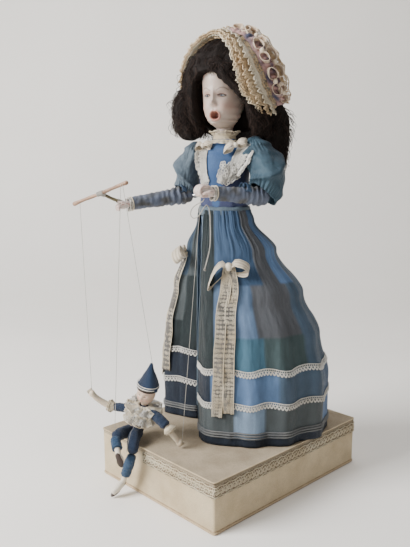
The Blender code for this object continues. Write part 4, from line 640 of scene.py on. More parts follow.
class MotifNet:
    """A tree of Geometry Nodes that sets one small motif on every face of a net."""

    INPUTS = (("Motif", "NodeSocketObject"), ("Size", "NodeSocketFloat"), ("Uneven", "NodeSocketFloat"),
              ("Finish", "NodeSocketMaterial"))
    NODES = (("source", "NodeGroupInput"), ("result", "NodeGroupOutput"),
             ("points", "GeometryNodeMeshToPoints"),
             ("normal", "GeometryNodeInputNormal"), ("keep", "GeometryNodeCaptureAttribute"),
             ("align", "FunctionNodeAlignRotationToVector"), ("motif", "GeometryNodeObjectInfo"),
             ("scatter", "FunctionNodeRandomValue"), ("scale", "ShaderNodeMath"), ("times", "ShaderNodeMath"),
             ("instance", "GeometryNodeInstanceOnPoints"), ("real", "GeometryNodeRealizeInstances"),
             ("dress", "GeometryNodeSetMaterial"))
    LINKS = (("source", "Geometry", "keep", "Geometry"), ("normal", 0, "keep", 1),
             ("keep", "Geometry", "points", "Mesh"), ("keep", 1, "align", "Vector"),
             ("source", "Motif", "motif", "Object"), ("scatter", 1, "scale", 0),
             ("source", "Uneven", "scale", 1), ("scale", 0, "times", 0), ("source", "Size", "times", 1),
             ("points", 0, "instance", "Points"), ("motif", "Geometry", "instance", "Instance"),
             ("align", 0, "instance", "Rotation"), ("times", 0, "instance", "Scale"),
             ("instance", 0, "real", 0), ("real", 0, "dress", 0),
             ("source", "Finish", "dress", "Material"), ("dress", 0, "result", 0))

    def __init__(self) -> None:
        """Build the tree."""
        self.tree = bpy.data.node_groups.new("motif_on_each_face", "GeometryNodeTree")
        self.tree.interface.new_socket("Geometry", in_out="INPUT", socket_type="NodeSocketGeometry")
        for name, kind in self.INPUTS:
            self.tree.interface.new_socket(name, in_out="INPUT", socket_type=kind)
        self.tree.interface.new_socket("Geometry", in_out="OUTPUT", socket_type="NodeSocketGeometry")
        made = {name: self.tree.nodes.new(kind) for name, kind in self.NODES}
        made["points"].mode = "FACES"
        made["keep"].domain = "FACE"
        made["keep"].capture_items.new("VECTOR", "Normal")
        for name, value in (("Seed", SEED), ("Min", -1.0), ("Max", 1.0)):
            made["scatter"].inputs[name].default_value = value
        made["scale"].operation = "MULTIPLY_ADD"
        made["scale"].inputs[2].default_value = 1.0
        made["times"].operation = "MULTIPLY"
        for start, out, end, into in self.LINKS:
            self.tree.links.new(made[start].outputs[out], made[end].inputs[into])

    def lay(self, net: Shape, motif: bpy.types.Object, size: float, uneven: float, name: str, finish: Finish
            ) -> bpy.types.Object:
        """Set the motif on every face of a net.

        Args:
            net: The net; only its faces' centres and normals count.
            motif: The motif, one unit wide, facing along its Z.
            size: The motif's width in metres.
            uneven: The share by which sizes vary.
            name: The piece's name.
            finish: Its finish.

        Returns:
            The piece as a plain mesh.
        """
        guide = net.piece(f"{name}_guide", finish)
        modifier = guide.modifiers.new("motifs", "NODES")
        modifier.node_group = self.tree
        values = {"Motif": motif, "Size": size, "Uneven": uneven, "Finish": finish.material()}
        for item in self.tree.interface.items_tree:
            if item.in_out == "INPUT" and item.name in values:
                modifier[item.identifier] = values[item.name]
        mesh = bpy.data.meshes.new_from_object(guide.evaluated_get(bpy.context.evaluated_depsgraph_get()))
        mesh.name = name
        mesh.shade_smooth()
        made = bpy.data.objects.new(name, mesh)
        bpy.context.scene.collection.objects.link(made)
        bpy.data.objects.remove(guide)
        return made


class Motifs:
    """The small shapes that lace and hair are made of."""

    def __init__(self) -> None:
        """Make each motif once, out of the scene's collections."""
        self.net = MotifNet()
        loop = Shape()
        loop.ring(Vector(), UP, 0.42, 0.09, 8)
        self.loop = self.keep(loop, "loop_motif")
        flower = Shape()
        for c, s in circle(5):
            flower.ring(Vector((c, s, 0)) * 0.27, UP, 0.2, 0.075, 6)
        self.flower = self.keep(flower, "flower_motif")

    def keep(self, shape: Shape, name: str) -> bpy.types.Object:
        """Make a motif's object without showing it."""
        made = shape.piece(name, LACE_THREAD)
        bpy.context.scene.collection.objects.unlink(made)
        return made


@dataclass
class Skirt:
    """A skirt laid on the base and drawn in to the waist, in millimetres."""

    hem: tuple[Pair, ...]
    closed: bool
    half_width: float
    half_depth: float
    fold: float
    centre: Pair = (13, 17)
    drawn_in: tuple[Pair, ...] = ((70, 0.0), (150, 0.0), (210, 0.12), (269, 0.34), (330, 0.68), (372, 0.96),
                                  (WAIST, 1.0))

    def face(self, place: float, height: float) -> Vector:
        """Give the flat point of the skirt's face at a place along its hem and a height."""
        flat = read_line(self.hem, place, self.closed)
        spoke = flat - Vector(self.centre)
        share = smooth_through(self.drawn_in, height)
        fold = self.fold * math.sin(place * math.pi) * (1 - share) * smooth_through(((2, 0), (6, 1)), place)
        turn = math.atan2(spoke.y, spoke.x) - FIGURE_TURN
        waist = DOLL @ Vector((self.half_width * math.cos(turn) * MM,
                               self.half_depth * math.sin(turn) * MM, 0))
        return (flat + spoke.normalized() * fold) * (1 - share) + waist.xy / MM * share

    def outward(self, place: float, height: float) -> Vector:
        """Give the flat outward normal."""
        along = self.face(place + 0.05, height) - self.face(place - 0.05, height)
        return Vector((along.y, -along.x)).normalized()

    def relief(self, place: float, height: float) -> float:
        """Give the gathers and creases of the cloth, outward in millimetres."""
        near_waist = math.exp(-((height - WAIST) / 55) ** 2)
        gathers = near_waist * (0.7 * math.sin(place * 9 + 2 * math.sin(place * 3.1))
                                + 0.25 * math.sin(place * 23))
        spot = Vector((place * 0.9, height * 0.006, self.half_width))
        hang = 1.3 * noise.noise(spot) * (1 - near_waist)
        crease = 1.1 * noise.noise(Vector((place * 2.3, height * 0.035, 3.0)))
        small = 0.45 * noise.noise(Vector((place * 6.0, height * 0.10, 9.0)))
        return gathers + hang + crease + small

    def point(self, place: float, height: float, out: float = 0.0) -> Vector:
        """Give a point of the cloth in metres, out from its face by millimetres."""
        away = out + self.relief(place, height) - 0.8
        flat = self.face(place, height) + self.outward(place, height) * away
        return mm(flat.x, flat.y, height)


GOWN = Skirt(((-3, -64), (12, -74), (30, -78), (52, -66), (72, -51), (89, -36), (103, -15), (113, 8),
              (120, 35), (121, 62), (109, 86), (84, 108), (50, 121), (12, 124), (-30, 112), (-66, 86),
              (-90, 50), (-101, 14), (-104, -18), (-97, -45), (-70, -38), (-44, -27)), False, 37.5, 31, 3.0)
UNDERSKIRT = Skirt(((-9, -50), (12, -62), (30, -66), (48, -55), (66, -42), (80, -27), (92, -8), (101, 13),
                    (108, 37), (108, 60), (98, 79), (77, 98), (48, 109), (12, 112), (-25, 101), (-57, 78),
                    (-79, 46), (-90, 14), (-92, -12), (-86, -29), (-68, -26), (-46, -18)),
                    True, 33.1, 26.6, 0.0)


@dataclass
class Lace:
    """Sews bands and frills of lace: threads, loops and scallops with the cloth seen between them."""

    motifs: Motifs

    def flowers(self, name: str, body: str, cells: Shape, width: float,
                uneven: float, finish: Fabric) -> None:
        """Sew one lace flower, some millimetres wide, on each cell of a net."""
        sewn = self.motifs.net.lay(cells, self.motifs.flower, width * MM, uneven, name, finish)
        settle(sewn, body, "cream_lace")

    def cord(self, shape: Shape, spots: Sequence[Vector], thick: float) -> None:
        """Lay a thread through spots."""
        shape.tube(spots, thick, 5)

    def band(self, name: str, body: str, at: Callable[[float, float], Vector], length: float, height: float,
             finish: Fabric, ring: float, ground: float = 0.0, wide: float = 5.6 * MM) -> None:
        """Sew on a flat band with a scalloped edge.

        Args:
            name: The start of the pieces' names.
            body: The body it rides on.
            at: Gives the point at a share of the length and of the height, from the edge that is sewn down.
            length: The band's length in metres.
            height: The band's height in metres.
            finish: The thread's finish.
            ring: The width of one loop in metres.
            ground: The share of the height that is close cloth.
            wide: The width of one scallop in metres.
        """
        scallops = max(2, round(length / wide))
        steps = scallops * 6
        cords = Shape()

        def edge(along: float) -> float:
            """Give the scalloped edge's share of the height."""
            return 0.5 + 0.5 * abs(math.sin(math.pi * scallops * along))

        for share, thick in ((0.03, 0.5), (0.45, 0.3)):
            self.cord(cords, [at(step / steps, share) for step in range(steps + 1)], thick * MM)
        for inset, thick in ((0.0, 0.62), (0.15, 0.5)):
            self.cord(cords, [at(step / steps, edge(step / steps) - inset) for step in range(steps + 1)],
                      thick * MM)
        if ground:
            cords.sheet([[at(step / steps, ground * level / 3) for step in range(steps + 1)]
                         for level in range(4)])
        net = Shape()
        cells = max(3, round(length / ring))
        levels = max(1, round(height * 0.45 / ring))
        net.sheet([[at(step / cells, 0.02 + 0.45 * level / levels) for step in range(cells + 1)]
                   for level in range(levels + 1)])
        loops = self.motifs.net.lay(net, self.motifs.loop, ring * 1.1, 0.12, f"{name}_loops", finish)
        for piece in (cords.piece(name, finish), loops):
            settle(piece, body, "cream_lace")

    def ruffle(self, name: str, body: str, at: Callable[[float], Stand], length: float, width: float,
               finish: Fabric, depth: float, wave: float, lacy: float = 0.45, ring: float = 3.3 * MM) -> None:
        """Sew on a gathered frill, close at its root and open loops at its edge.

        Args:
            name: The start of the pieces' names.
            body: The body it rides on.
            at: Gives how the frill stands at a share of its length.
            length: The sewn edge's length in metres.
            width: How far it stands out, in metres.
            finish: The cloth.
            depth: How far it waves, in metres.
            wave: The length of one wave in metres.
            lacy: The share of its width that is open loops.
            ring: The width of one loop in metres.
        """
        waves = max(2, round(length / wave))
        steps = waves * 8

        def spot(along: float, share: float) -> Vector:
            """Give a point of the frill."""
            root, way, side = at(along)
            turn = 2 * math.pi * waves * along + 1.3 * math.sin(along * 31) + 0.7 * math.sin(along * 83)
            sway = depth * share * (math.sin(turn) + 0.35 * math.sin(turn * 2.3 + 1))
            return root + way * width * share * (1 + 0.1 * share * math.sin(turn * 0.43)) + side * sway

        close = 1 - lacy
        frill = Shape()
        frill.sheet([[spot(step / steps, close * level / 4) for step in range(steps + 1)]
                     for level in range(5)])
        for share, thick in ((1.0, 0.5), (close, 0.35)):
            self.cord(frill, [spot(step / steps, share) for step in range(steps + 1)], thick * MM)
        edge = [spot(step / steps, 0.85) for step in range(steps + 1)]
        full = sum((b - a).length for a, b in zip(edge, edge[1:]))
        cells = max(4, round(full / ring))
        levels = max(1, round(width * lacy / ring))
        net = Shape()
        net.sheet([[spot(step / cells, close + lacy * level / levels) for step in range(cells + 1)]
                   for level in range(levels + 1)])
        loops = self.motifs.net.lay(net, self.motifs.loop, ring * 1.15, 0.15, f"{name}_loops", finish)
        for piece in (frill.piece(name, finish, 0.3 * MM), loops):
            settle(piece, body, "cream_lace")


@dataclass
class Ribbon:
    """Ties bows: two loops and a knot."""

    name: str
    finish: Fabric
    width: float
    loop: float
    pale: Colour = (0.74, 0.65, 0.50)
    shade: Colour = (0.50, 0.40, 0.28)

    def strip(self, shape: Shape, route: Sequence[Vector], ways: Sequence[Vector]) -> None:
        """Lay the ribbon along a route, its width along a way given for each station."""
        rows = []
        for index, (spot, way) in enumerate(zip(route, ways)):
            curl = route[min(index + 1, len(route) - 1)] - route[max(index - 1, 0)]
            lift = curl.cross(way).normalized() if curl.length > 0 else UP
            rows.append([spot + way * self.width * (share - 0.5)
                         + lift * 0.5 * MM * math.sin(index * 1.3 + share * 5)
                         for share in (0, 0.17, 0.33, 0.5, 0.67, 0.83, 1)])
        shape.sheet(rows, dye=lambda i, j: self.pale if j % 2 == 0 else self.shade)

    def tie(self, knot: Vector, right: Vector, up: Vector, droop: Pair) -> bpy.types.Object:
        """Make the loops and the knot.

        Args:
            knot: The knot's place.
            right: The way of the second loop.
            up: The way up across the bow.
            droop: How far each loop hangs, as a share of its length.

        Returns:
            The bow.
        """
        right, up = right.normalized(), up.normalized()
        out = right.cross(up).normalized()
        bow = Shape()
        for side, sag in ((-1, droop[0]), (1, droop[1])):
            route, ways = [], []
            for step in range(17):
                angle = 2 * math.pi * step / 16
                reach = 0.5 - 0.5 * math.cos(angle)
                thick = math.sin(angle) * (0.34 if reach > 0.3 else 0.12)
                spot = knot + right * side * self.loop * reach - up * self.loop * sag * reach ** 2
                route.append(spot + (out * 0.6 + up * 0.8) * self.loop * thick)
                ways.append((up * 0.6 - out * 0.8)
                            * (0.35 + 0.65 * smooth_through(((0, 0), (0.5, 1)), reach)))
            self.strip(bow, route, ways)
        bow.ball(knot + out * 1.2 * MM, (self.width * 0.3, self.width * 0.3, self.width * 0.38),
                 self.pale, 10)
        return bow.piece(self.name, self.finish, 0.35 * MM)


class Base:
    """The covered case: its cloth, piping and braid."""

    width = 230 * MM
    depth = 295 * MM
    height = 70 * MM
    corner = 3 * MM

    def outline(self, out: float) -> list[Vector]:
        """List the case's outline, set out by a distance, counter-clockwise from the right front corner."""
        points = []
        for number, (sx, sy) in enumerate(((1, -1), (1, 1), (-1, 1), (-1, -1))):
            middle = Vector((sx * (self.width / 2 - self.corner), sy * (self.depth / 2 - self.corner), 0))
            for step in range(7):
                angle = math.radians(-90 + 90 * number + 90 * step / 6)
                points.append(middle + Vector((math.cos(angle), math.sin(angle), 0)) * (self.corner + out))
        return points

    def dense(self, points: Sequence[Vector], gap: float) -> list[Vector]:
        """Cut a line into even steps about a gap long."""
        found = []
        for first, second in zip(points, points[1:]):
            count = max(1, round((second - first).length / gap))
            found.extend(first.lerp(second, step / count) for step in range(count))
        found.append(points[-1])
        return found

    def around(self, out: float, gap: float) -> list[Vector]:
        """List even steps about a gap long all round the case, set out by a distance."""
        line = self.outline(out)
        return self.dense(line + line[:1], gap)

    def dress(self) -> None:
        """Clothe the case's own boards, lay the piping and the braid, and lay a dark cord under the top
        piping as painted shadow.
        """
        self.finish_node("base_case", COVER_CLOTH.material())
        # The top board gets the darker cloth, painted shade
        self.finish_node("top_board", PAINTED_SHADE_TOP_CLOTH.material())
        piping = Shape()
        for level in (self.height - 0.6 * MM, 3.0 * MM):
            piping.tube([spot + Vector((0, 0, level + 0.15 * MM * noise.noise(spot / (9 * MM))))
                         for spot in self.around(0.5 * MM, 3 * MM)], 0.9 * MM, 8)
        settle(piping.piece("case_piping", COVER_CLOTH), "base", "cover_cloth")
        # Painted shadow: a thin dark cord just under the top piping
        shadow_line = Shape()
        shadow_line.tube([spot + Vector((0, 0, self.height - 2.0 * MM)) for spot in self.around(0.4 * MM, 4 * MM)],
                  0.4 * MM, 6)
        settle(shadow_line.piece("case_seam", PAINTED_SHADOW_CORD), "base", "cover_cloth")
        self.braid()

    def finish_node(self, node: str, material: bpy.types.Material) -> None:
        """Give a CAD node another material on all its slots."""
        thing = bpy.data.objects[node]
        for slot in thing.material_slots:
            slot.material = material

    def braid(self) -> None:
        """Weave the braid: a thin ground with wavy gimp cords, chevrons and picots on it."""
        line = [Vector((-22 * MM, -self.depth / 2, 0))]
        line += self.outline(0)[:24]
        line.append(Vector((-self.width / 2, -self.depth / 2 + 6 * MM, 0)))
        line = self.dense(line, 1.6 * MM)
        normals = []
        for index in range(len(line)):
            ahead = line[min(index + 1, len(line) - 1)] - line[max(index - 1, 0)]
            normals.append(Vector((ahead.y, -ahead.x, 0)).normalized())
        low, top = 49 * MM, 65 * MM

        def at(index: int, height: float, out: float) -> Vector:
            """Give a point on the braid."""
            return line[index] + normals[index] * out + Vector((0, 0, low + height))

        ground = Shape()
        tall = top - low
        ground.sheet([[at(index, tall * share, 0.5 * MM) for index in range(len(line))]
                      for share in (0, 0.3, 0.7, 1)])
        settle(ground.piece("braid_ground", BRAID_GROUND, 0.4 * MM), "base", "gold_braid", "trim_braid")
        cords = Shape()
        for middle, wave, phase in ((0.5, 0.16, 0), (0.5, 0.16, math.pi), (0.12, 0.04, 0), (0.88, 0.04, 0)):
            route = [at(index, tall * (middle + wave * math.sin(index * 0.62 + phase)),
                        1.15 * MM + 0.2 * MM * math.cos(index * 0.62 + phase)) for index in range(len(line))]
            cords.tube(route, 0.72 * MM, 6)
        for index in range(0, len(line) - 4, 5):
            for foot, out, tip_out, radius in ((index, 1.0, 1.5, 0.85), (index + 2, 0.9, 1.3, 0.6)):
                cords.tube([at(foot, tall * 0.22, out * MM), at(foot + 2, tall * 0.5, tip_out * MM),
                            at(foot, tall * 0.78, out * MM)], radius * MM, 5)
        for index in range(0, len(line) - 2, 3):
            for edge, way in ((0.02, -1), (0.98, 1)):
                cords.tube([at(index, tall * edge, 0.8 * MM),
                            at(index + 1, tall * (edge + way * 0.05), 0.9 * MM),
                            at(index + 2, tall * edge, 0.8 * MM)], 0.4 * MM, 4)
        settle(cords.piece("braid_cords", BRAID_THREAD), "base", "gold_braid")


# One patch of the gown's silk: from this place along the hem on, this dye
Patch = tuple[float, Colour]


@dataclass
class Gown:
    """The patched silk skirt with its lace rows, cords, bows and the underskirt in its opening."""

    lace: Lace
    low: float = 71.0
    top: float = WAIST
    dark_teal: Colour = (0.013, 0.021, 0.023)
    navy: Colour = (0.013, 0.020, 0.034)
    mid_blue: Colour = (0.045, 0.088, 0.165)
    slate: Colour = (0.062, 0.098, 0.145)
    pale_slate: Colour = (0.120, 0.190, 0.310)
    brown_grey: Colour = (0.095, 0.100, 0.112)
    teal: Colour = (0.058, 0.145, 0.210)
    green: Colour = (0.050, 0.080, 0.084)
    blue: Colour = (0.110, 0.190, 0.340)
    light_blue: Colour = (0.230, 0.320, 0.440)
    grey_teal: Colour = (0.076, 0.090, 0.094)
    tiers: list[tuple[float, list[Patch]]] = field(default_factory=list)

    def __post_init__(self) -> None:
        """Lay out the patchwork: each tier's lowest height and its patches."""
        self.tiers = [
            (289, [(0, self.dark_teal), (2.5, self.mid_blue), (6.1, self.brown_grey), (7.6, self.blue),
                   (9, self.slate), (12, self.mid_blue), (15, self.brown_grey), (18.0, self.slate),
                   (19.9, self.grey_teal)]),
            (221, [(0, self.dark_teal), (2.4, self.pale_slate), (5.1, self.brown_grey), (7.9, self.slate),
                   (10.5, self.teal), (13.5, self.blue), (16.5, self.slate), (19, self.grey_teal),
                   (20, self.dark_teal)]),
            (176, [(0, self.dark_teal), (2.4, self.teal), (5.4, self.green), (8, self.slate),
                   (11, self.green), (14, self.teal), (17, self.green), (19.2, self.dark_teal)]),
            (128, [(0, self.navy), (2.2, self.blue), (6, self.slate), (9, self.mid_blue), (12, self.slate),
                   (15, self.blue), (18, self.navy)]),
            (82, [(0, self.grey_teal), (3.5, self.light_blue), (5.3, self.grey_teal), (9, self.blue),
                  (12, self.pale_slate), (15, self.grey_teal), (18, self.navy)]),
            (0, [(0, self.navy)])]

    def dye(self, place: float, height: float) -> Colour:
        """Give the silk's colour, woven in soft checks inside each patch."""
        for floor, patches in self.tiers:
            if height >= floor:
                colour = patches[0][1]
                before = colour
                for start, shade in patches:
                    if place >= start:
                        before, colour = colour, shade
                        edge = place - start
                if len(patches) > 1 and edge < 0.12:
                    colour = mix(before, colour, 0.5 + edge * 4)
                break
        check = 0.08 * math.sin(place * 9.5) + 0.05 * math.sin(height * 0.16) + 0.1 * noise.noise(
            Vector((place * 1.3, height * 0.02, 5)))
        return tuple(max(0.0, part * (1 + check)) for part in colour)

    def build(self) -> None:
        """Make the skirts and everything sewn to them."""
        steps = 16
        places = [step / steps for step in range((len(GOWN.hem) - 1) * steps + 1)]
        heights = [self.low + (self.top - self.low) * level / 96 for level in range(97)]
        silk = Shape()
        silk.sheet([[GOWN.point(place, height) for place in places] for height in heights],
                   dye=lambda i, j: self.dye(places[j], heights[i]))
        piece = silk.piece("gown_skirt", PATCHED_SILK)
        thicken(piece, 0.8 * MM, inward=True)
        settle(piece, "base", "blue_silk", "overskirt")
        self.underskirt()
        self.rows()
        self.cords()
        self.bows()

    def underskirt(self) -> None:
        """Make the pale petticoat that shows between the gown's edges."""
        steps = 8
        count = len(UNDERSKIRT.hem)
        places = [step / steps for step in range(count * steps)]
        heights = [self.low + (376 - self.low) * level / 60 for level in range(61)]

        def dye(i: int, j: int) -> Colour:
            """Paint the petticoat light blue at its top front, darkening to navy as painted shade towards its
            foot and round its sides inside the gown.
            """
            # Painted shade: darker towards the foot and on the sides hidden inside the gown
            share = smooth_through(((120, 0), (300, 1)), heights[i])
            front = 1 if places[j] < 3 or places[j] > count - 4 else 0.4
            return mix(self.navy, self.light_blue, share * front)

        silk = Shape()
        silk.sheet([[UNDERSKIRT.point(place, height) for place in places] for height in heights],
                   round_rows=True, dye=dye)
        piece = silk.piece("underskirt", PATCHED_SILK)
        thicken(piece, 0.8 * MM, inward=True)
        settle(piece, "base", "light_blue_silk", "petticoat")

    def rows(self) -> None:
        """Sew the two rows of scalloped lace."""
        fall = 8.8
        for number, height in enumerate((178, 132), 1):
            def at(along: float, down: float, height: float = height) -> Vector:
                """Give a point on the row."""
                place = 21 * along
                return GOWN.point(place, height - fall * down + 1.8 * math.sin(place * 2.6), 1.2)

            self.lace.band(f"skirt_lace_{number}", "base", at, 0.68, fall * MM,
                           WHITE_LACE, 3.2 * MM, wide=5.8 * MM)

    def cords(self) -> None:
        """Sew three cords round the hem and one along each edge of the opening."""
        hem = Shape()
        for height, radius in ((90.5, 1.0), (87.2, 1.3), (83.6, 1.0)):
            hem.tube([GOWN.point(step / 8, height, 1.1) for step in range(21 * 8 + 1)], radius * MM, 6)
        settle(hem.piece("hem_cords", HEM_CORD), "base", "thread")
        edge = Shape()
        for place in (0.0, 21.0):
            edge.tube([GOWN.point(place, 92 + 3 * step, 0.6) for step in range(97)], 0.7 * MM, 6)
        settle(edge.piece("opening_edges", SLATE_SILK), "base", "blue_silk")

    def tail(self, shape: Shape, edges: Shape, net: Shape, stations: Sequence[Triple], width: float) -> None:
        """Lay one tail of lace down the skirt.

        Args:
            shape: Takes the ribbon.
            edges: Takes the pale cords at its edges.
            net: Takes the cells that flowers go on.
            stations: Place along the hem, height and distance out at each.
            width: The ribbon's width in millimetres.
        """
        rows = []
        for place, height, out in smooth_route(stations, 8):
            along = (GOWN.face(place + 0.05, height) - GOWN.face(place - 0.05, height)).length / 0.1
            half = width / 2 / along
            row = []
            for share in (-1, -0.67, -0.33, 0, 0.33, 0.67, 1):
                curl = 0.8 * math.sin(height * 0.11 + share * 1.4)
                row.append(GOWN.point(place + half * share, height, out + 1.2 + curl))
            rows.append(row)
        shape.sheet(rows)
        for column in (0, 6):
            edges.tube([row[column] for row in rows], 0.65 * MM, 5)
        net.sheet([row[::2] for row in rows])

    def bows(self) -> None:
        """Tie the two lace bows with their long tails."""
        sets = (("near", (((3.8, 314, 3), (3.35, 290, 2), (2.95, 250, 2),
                           (2.75, 200, 2), (2.65, 150, 2), (2.6, 112, 2)),
                          ((3.85, 314, 3), (3.85, 290, 2), (3.5, 250, 2),
                           (3.3, 200, 2), (3.2, 150, 2), (3.2, 118, 2))),
                 (3.8, 314), (1.0, 0.15)),
                ("left", (((18.8, 324, 3), (18.5, 290, 2), (18.45, 250, 2), (18.5, 200, 2), (18.6, 130, 2)),
                          ((18.85, 324, 3), (19.0, 290, 2), (19.0, 250, 2), (19.1, 200, 2), (19.15, 140, 2))),
                 (18.8, 324), (0.8, 0.3)))
        for name, tails, (place, height), droop in sets:
            ribbon, edges, net = Shape(), Shape(), Shape()
            for stations in tails:
                self.tail(ribbon, edges, net, stations, 13.5)
            settle(ribbon.piece(f"{name}_bow_tails", TAIL_NET, 0.35 * MM), "base", "cream_lace")
            settle(edges.piece(f"{name}_bow_tail_edges", LACE_THREAD), "base", "cream_lace")
            self.lace.flowers(f"{name}_bow_flowers", "base", net, 4.7, 0.35, LACE_THREAD)
            out = GOWN.outward(place, height)
            knot = GOWN.point(place, height, 6.5)
            along = Vector((-out.y, out.x, 0))
            bow = Ribbon(f"{name}_skirt_bow", RIBBON, 15 * MM, 27 * MM,
                         (0.88, 0.80, 0.66), (0.52, 0.43, 0.31))
            settle(bow.tie(knot, along, UP, droop), "base", "cream_lace")


TORSO: tuple[Station, ...] = (
    (378.3, 31, 25, 0), (395, 31.5, 25.5, 0), (415, 32, 26.5, -1), (437, 32.5, 27, -1), (455, 32, 25, 0),
    (466, 29, 21, 0), (474, 20, 16, 0), (481, 12.5, 12.5, 0), (487, 11.5, 11.5, 0))


def torso_ring(height: float, out: float = 0.0) -> Triple:
    """Give the torso's half width, half depth and middle at a height, all in millimetres."""
    wide, deep, middle = read_rings(TORSO, height)
    return wide + out, deep + out, middle


def chest(x: float, height: float, out: float) -> Vector:
    """Give a point on the bodice's front in metres, by millimetres across, up and out from the torso."""
    wide, deep, middle = torso_ring(height, out)
    return doll(x, middle - deep * math.sqrt(max(0.0, 1 - (x / wide) ** 2)), height)


@dataclass
class Bodice:
    """The bodice with its plain front, lapels, collar, shoulder bows and jabot."""

    lace: Lace
    vest: Colour = (0.036, 0.090, 0.220)
    vest_pale: Colour = (0.058, 0.115, 0.245)
    jacket: Colour = (0.030, 0.042, 0.105)
    jacket_pale: Colour = (0.060, 0.070, 0.150)

    def build(self) -> None:
        """Make the bodice and its trimmings."""
        rings = []
        heights = [379 + (480 - 379) * step / 43 for step in range(44)]
        for height in heights:
            wide, deep, middle = torso_ring(height, 2.4)
            ring = []
            for k, (c, s) in enumerate(circle(96)):
                crease = 0.45 * noise.noise(Vector((k * 0.35, height * 0.09, 2))) + 0.3 * math.sin(
                    k * 0.79) * math.exp(-((height - 384) / 16) ** 2)
                ring.append(doll((wide + crease) * c, middle + (deep + crease) * s, height))
            rings.append(ring)
        cloth = Shape()

        def dye(i: int, j: int) -> Colour:
            """Keep the front between the lapels bright blue and the jacket dark."""
            angle = 2 * math.pi * j / 96
            height = heights[i]
            across = torso_ring(height)[0] * math.cos(angle)
            right = smooth_through(((382, 2.5), (400, 5), (424, 10), (450, 15), (480, 15)), height)
            left = smooth_through(((382, 2.5), (405, 6), (428, 12), (454, 22), (480, 27)), height)
            front = math.sin(angle) < 0 and -right < across < left
            patch = 0.5 + 0.5 * noise.noise(Vector((math.cos(angle) * 2, height * 0.05, 4)))
            return mix(*((self.vest, self.vest_pale) if front else (self.jacket, self.jacket_pale)), patch)

        cloth.sheet(rings, round_rows=True, dye=dye)
        settle(cloth.piece("bodice_silk", PATCHED_SILK, 0.8 * MM, inward=True),
               "base", "light_blue_silk", "bodice")
        self.sash()
        for side in Side:
            self.lapel(side)
        self.collar()
        self.bows()
        self.jabot()

    def sash(self) -> None:
        """Bind the waist with a folded band."""
        band = Shape()
        rows = []
        for step, (height, out) in enumerate((
                (378.5, 3.6), (381, 4.6), (384, 4.0), (387, 4.7), (390.5, 3.4))):
            wide, deep, middle = torso_ring(height, out)
            rows.append([doll(wide * c, middle + deep * s, height + 0.5 * math.sin(k * 0.7 + step))
                         for k, (c, s) in enumerate(circle(96))])
        band.sheet(rows, round_rows=True)
        settle(band.piece("waist_band", SLATE_SILK, 0.7 * MM), "base", "blue_silk")

    def lapel(self, side: Side) -> None:
        """Lay one lace lapel from the shoulder down to the waist, with a frilled edge."""
        sign = side.value
        inner = (((26, 476), (25, 466), (22, 454), (17, 440), (12, 428)) if side is Side.LEFT else
                 ((13.5, 478), (15.5, 466), (15, 452), (13, 438), (10, 424)))
        width = ((0, 14), (0.25, 22), (0.5, 21), (0.75, 15), (1, 6)) if side is Side.LEFT else (
            (0, 8), (0.25, 14), (0.6, 13), (1, 6))
        route = smooth_route([(x * sign, z, 0) for x, z in inner], 8)
        last = len(route) - 1

        def at(along: float, down: float) -> Vector:
            """Give a point on the lapel."""
            spot = route[min(last, round(along * last))]
            x = spot.x + sign * smooth_through(width, along) * down
            within, low = max(-26.0, min(26.0, x)), min(spot.y - 3 * down, 456.0)
            lift = spot.y - 3 * down - low
            over = Vector((x - within, 0.55 * lift - 0.3 * abs(x - within), lift)) * MM
            return chest(within, low, 3.6 + 1.6 * down) + DOLL_ROTATION @ over

        name = side.name.lower()
        self.lace.band(f"lapel_{name}", "base", at, 0.06, smooth_through(width, 0.4) * MM,
                       WHITE_LACE, 3.6 * MM, 0.5, 6 * MM)
        self.blossoms(side, at)
        edge = Shape()
        edge.tube([at(step / 60, 0.0) + DOLL_ROTATION @ Vector((0, -0.6 * MM, 0)) for step in range(61)],
                  0.9 * MM, 6)
        settle(edge.piece(f"lapel_edge_{name}", WHITE_LACE), "base", "cream_lace")

        def frill(along: float) -> Stand:
            """Give the frill's root, its way out and its way of waving."""
            root = at(along, 1.0)
            way = (at(along, 1.0) - at(along, 0.8)).normalized()
            return root, way, DOLL_ROTATION @ Vector((0, -1, 0))

        self.lace.ruffle(f"lapel_frill_{name}", "base", frill, 0.065,
                         (6.0 if side is Side.LEFT else 3.5) * MM, WHITE_LACE, 1.5 * MM, 6 * MM)

    def blossoms(self, side: Side, at: Callable[[float, float], Vector]) -> None:
        """Scatter pale flowers over a lapel.

        Args:
            side: Which lapel.
            at: Gives a point on the lapel at a share of its length and width.
        """
        cells = Shape()
        columns = 3 if side is Side.LEFT else 2
        cells.sheet([[at(step / 13, 0.08 + 0.8 * column / columns) + DOLL_ROTATION @ Vector((0, -1.0 * MM, 0))
                      for step in range(14)] for column in range(columns + 1)])
        self.lace.flowers(f"lapel_flowers_{side.name.lower()}", "base", cells, 7.6, 0.35, WHITE_LACE)

    def collar(self) -> None:
        """Stand the lace collar round the neck in two frills."""
        for name, height, radius, stand, flare, width in (("low", 480, 14.0, -3.5, 8, 13),
                                                          ("high", 483, 13.5, 6, 5.5, 9.5)):
            def at(along: float, height: float = height, radius: float = radius, stand: float = stand,
                   flare: float = flare) -> Stand:
                """Give the frill's root, its way up and out, and its way of waving."""
                angle = 2 * math.pi * along
                way = Vector((math.cos(angle), math.sin(angle), 0))
                rise = (way * flare + Vector((0, 0, stand))).normalized()
                return (doll(way.x * radius, way.y * radius, height), DOLL_ROTATION @ rise,
                        DOLL_ROTATION @ way)

            self.lace.ruffle(f"collar_{name}", "base", at, 2 * math.pi * radius * MM, width * MM, LACE_THREAD,
                             1.2 * MM, 5 * MM)

        def band(along: float, down: float) -> Vector:
            """Give a point on the collar's band."""
            angle = 2 * math.pi * along
            return doll(15.0 * math.cos(angle), 15.0 * math.sin(angle), 486 - 10 * down)

        self.lace.band("collar_band", "base", band, 0.094, 10 * MM, LACE_THREAD, 3 * MM, 0.8)

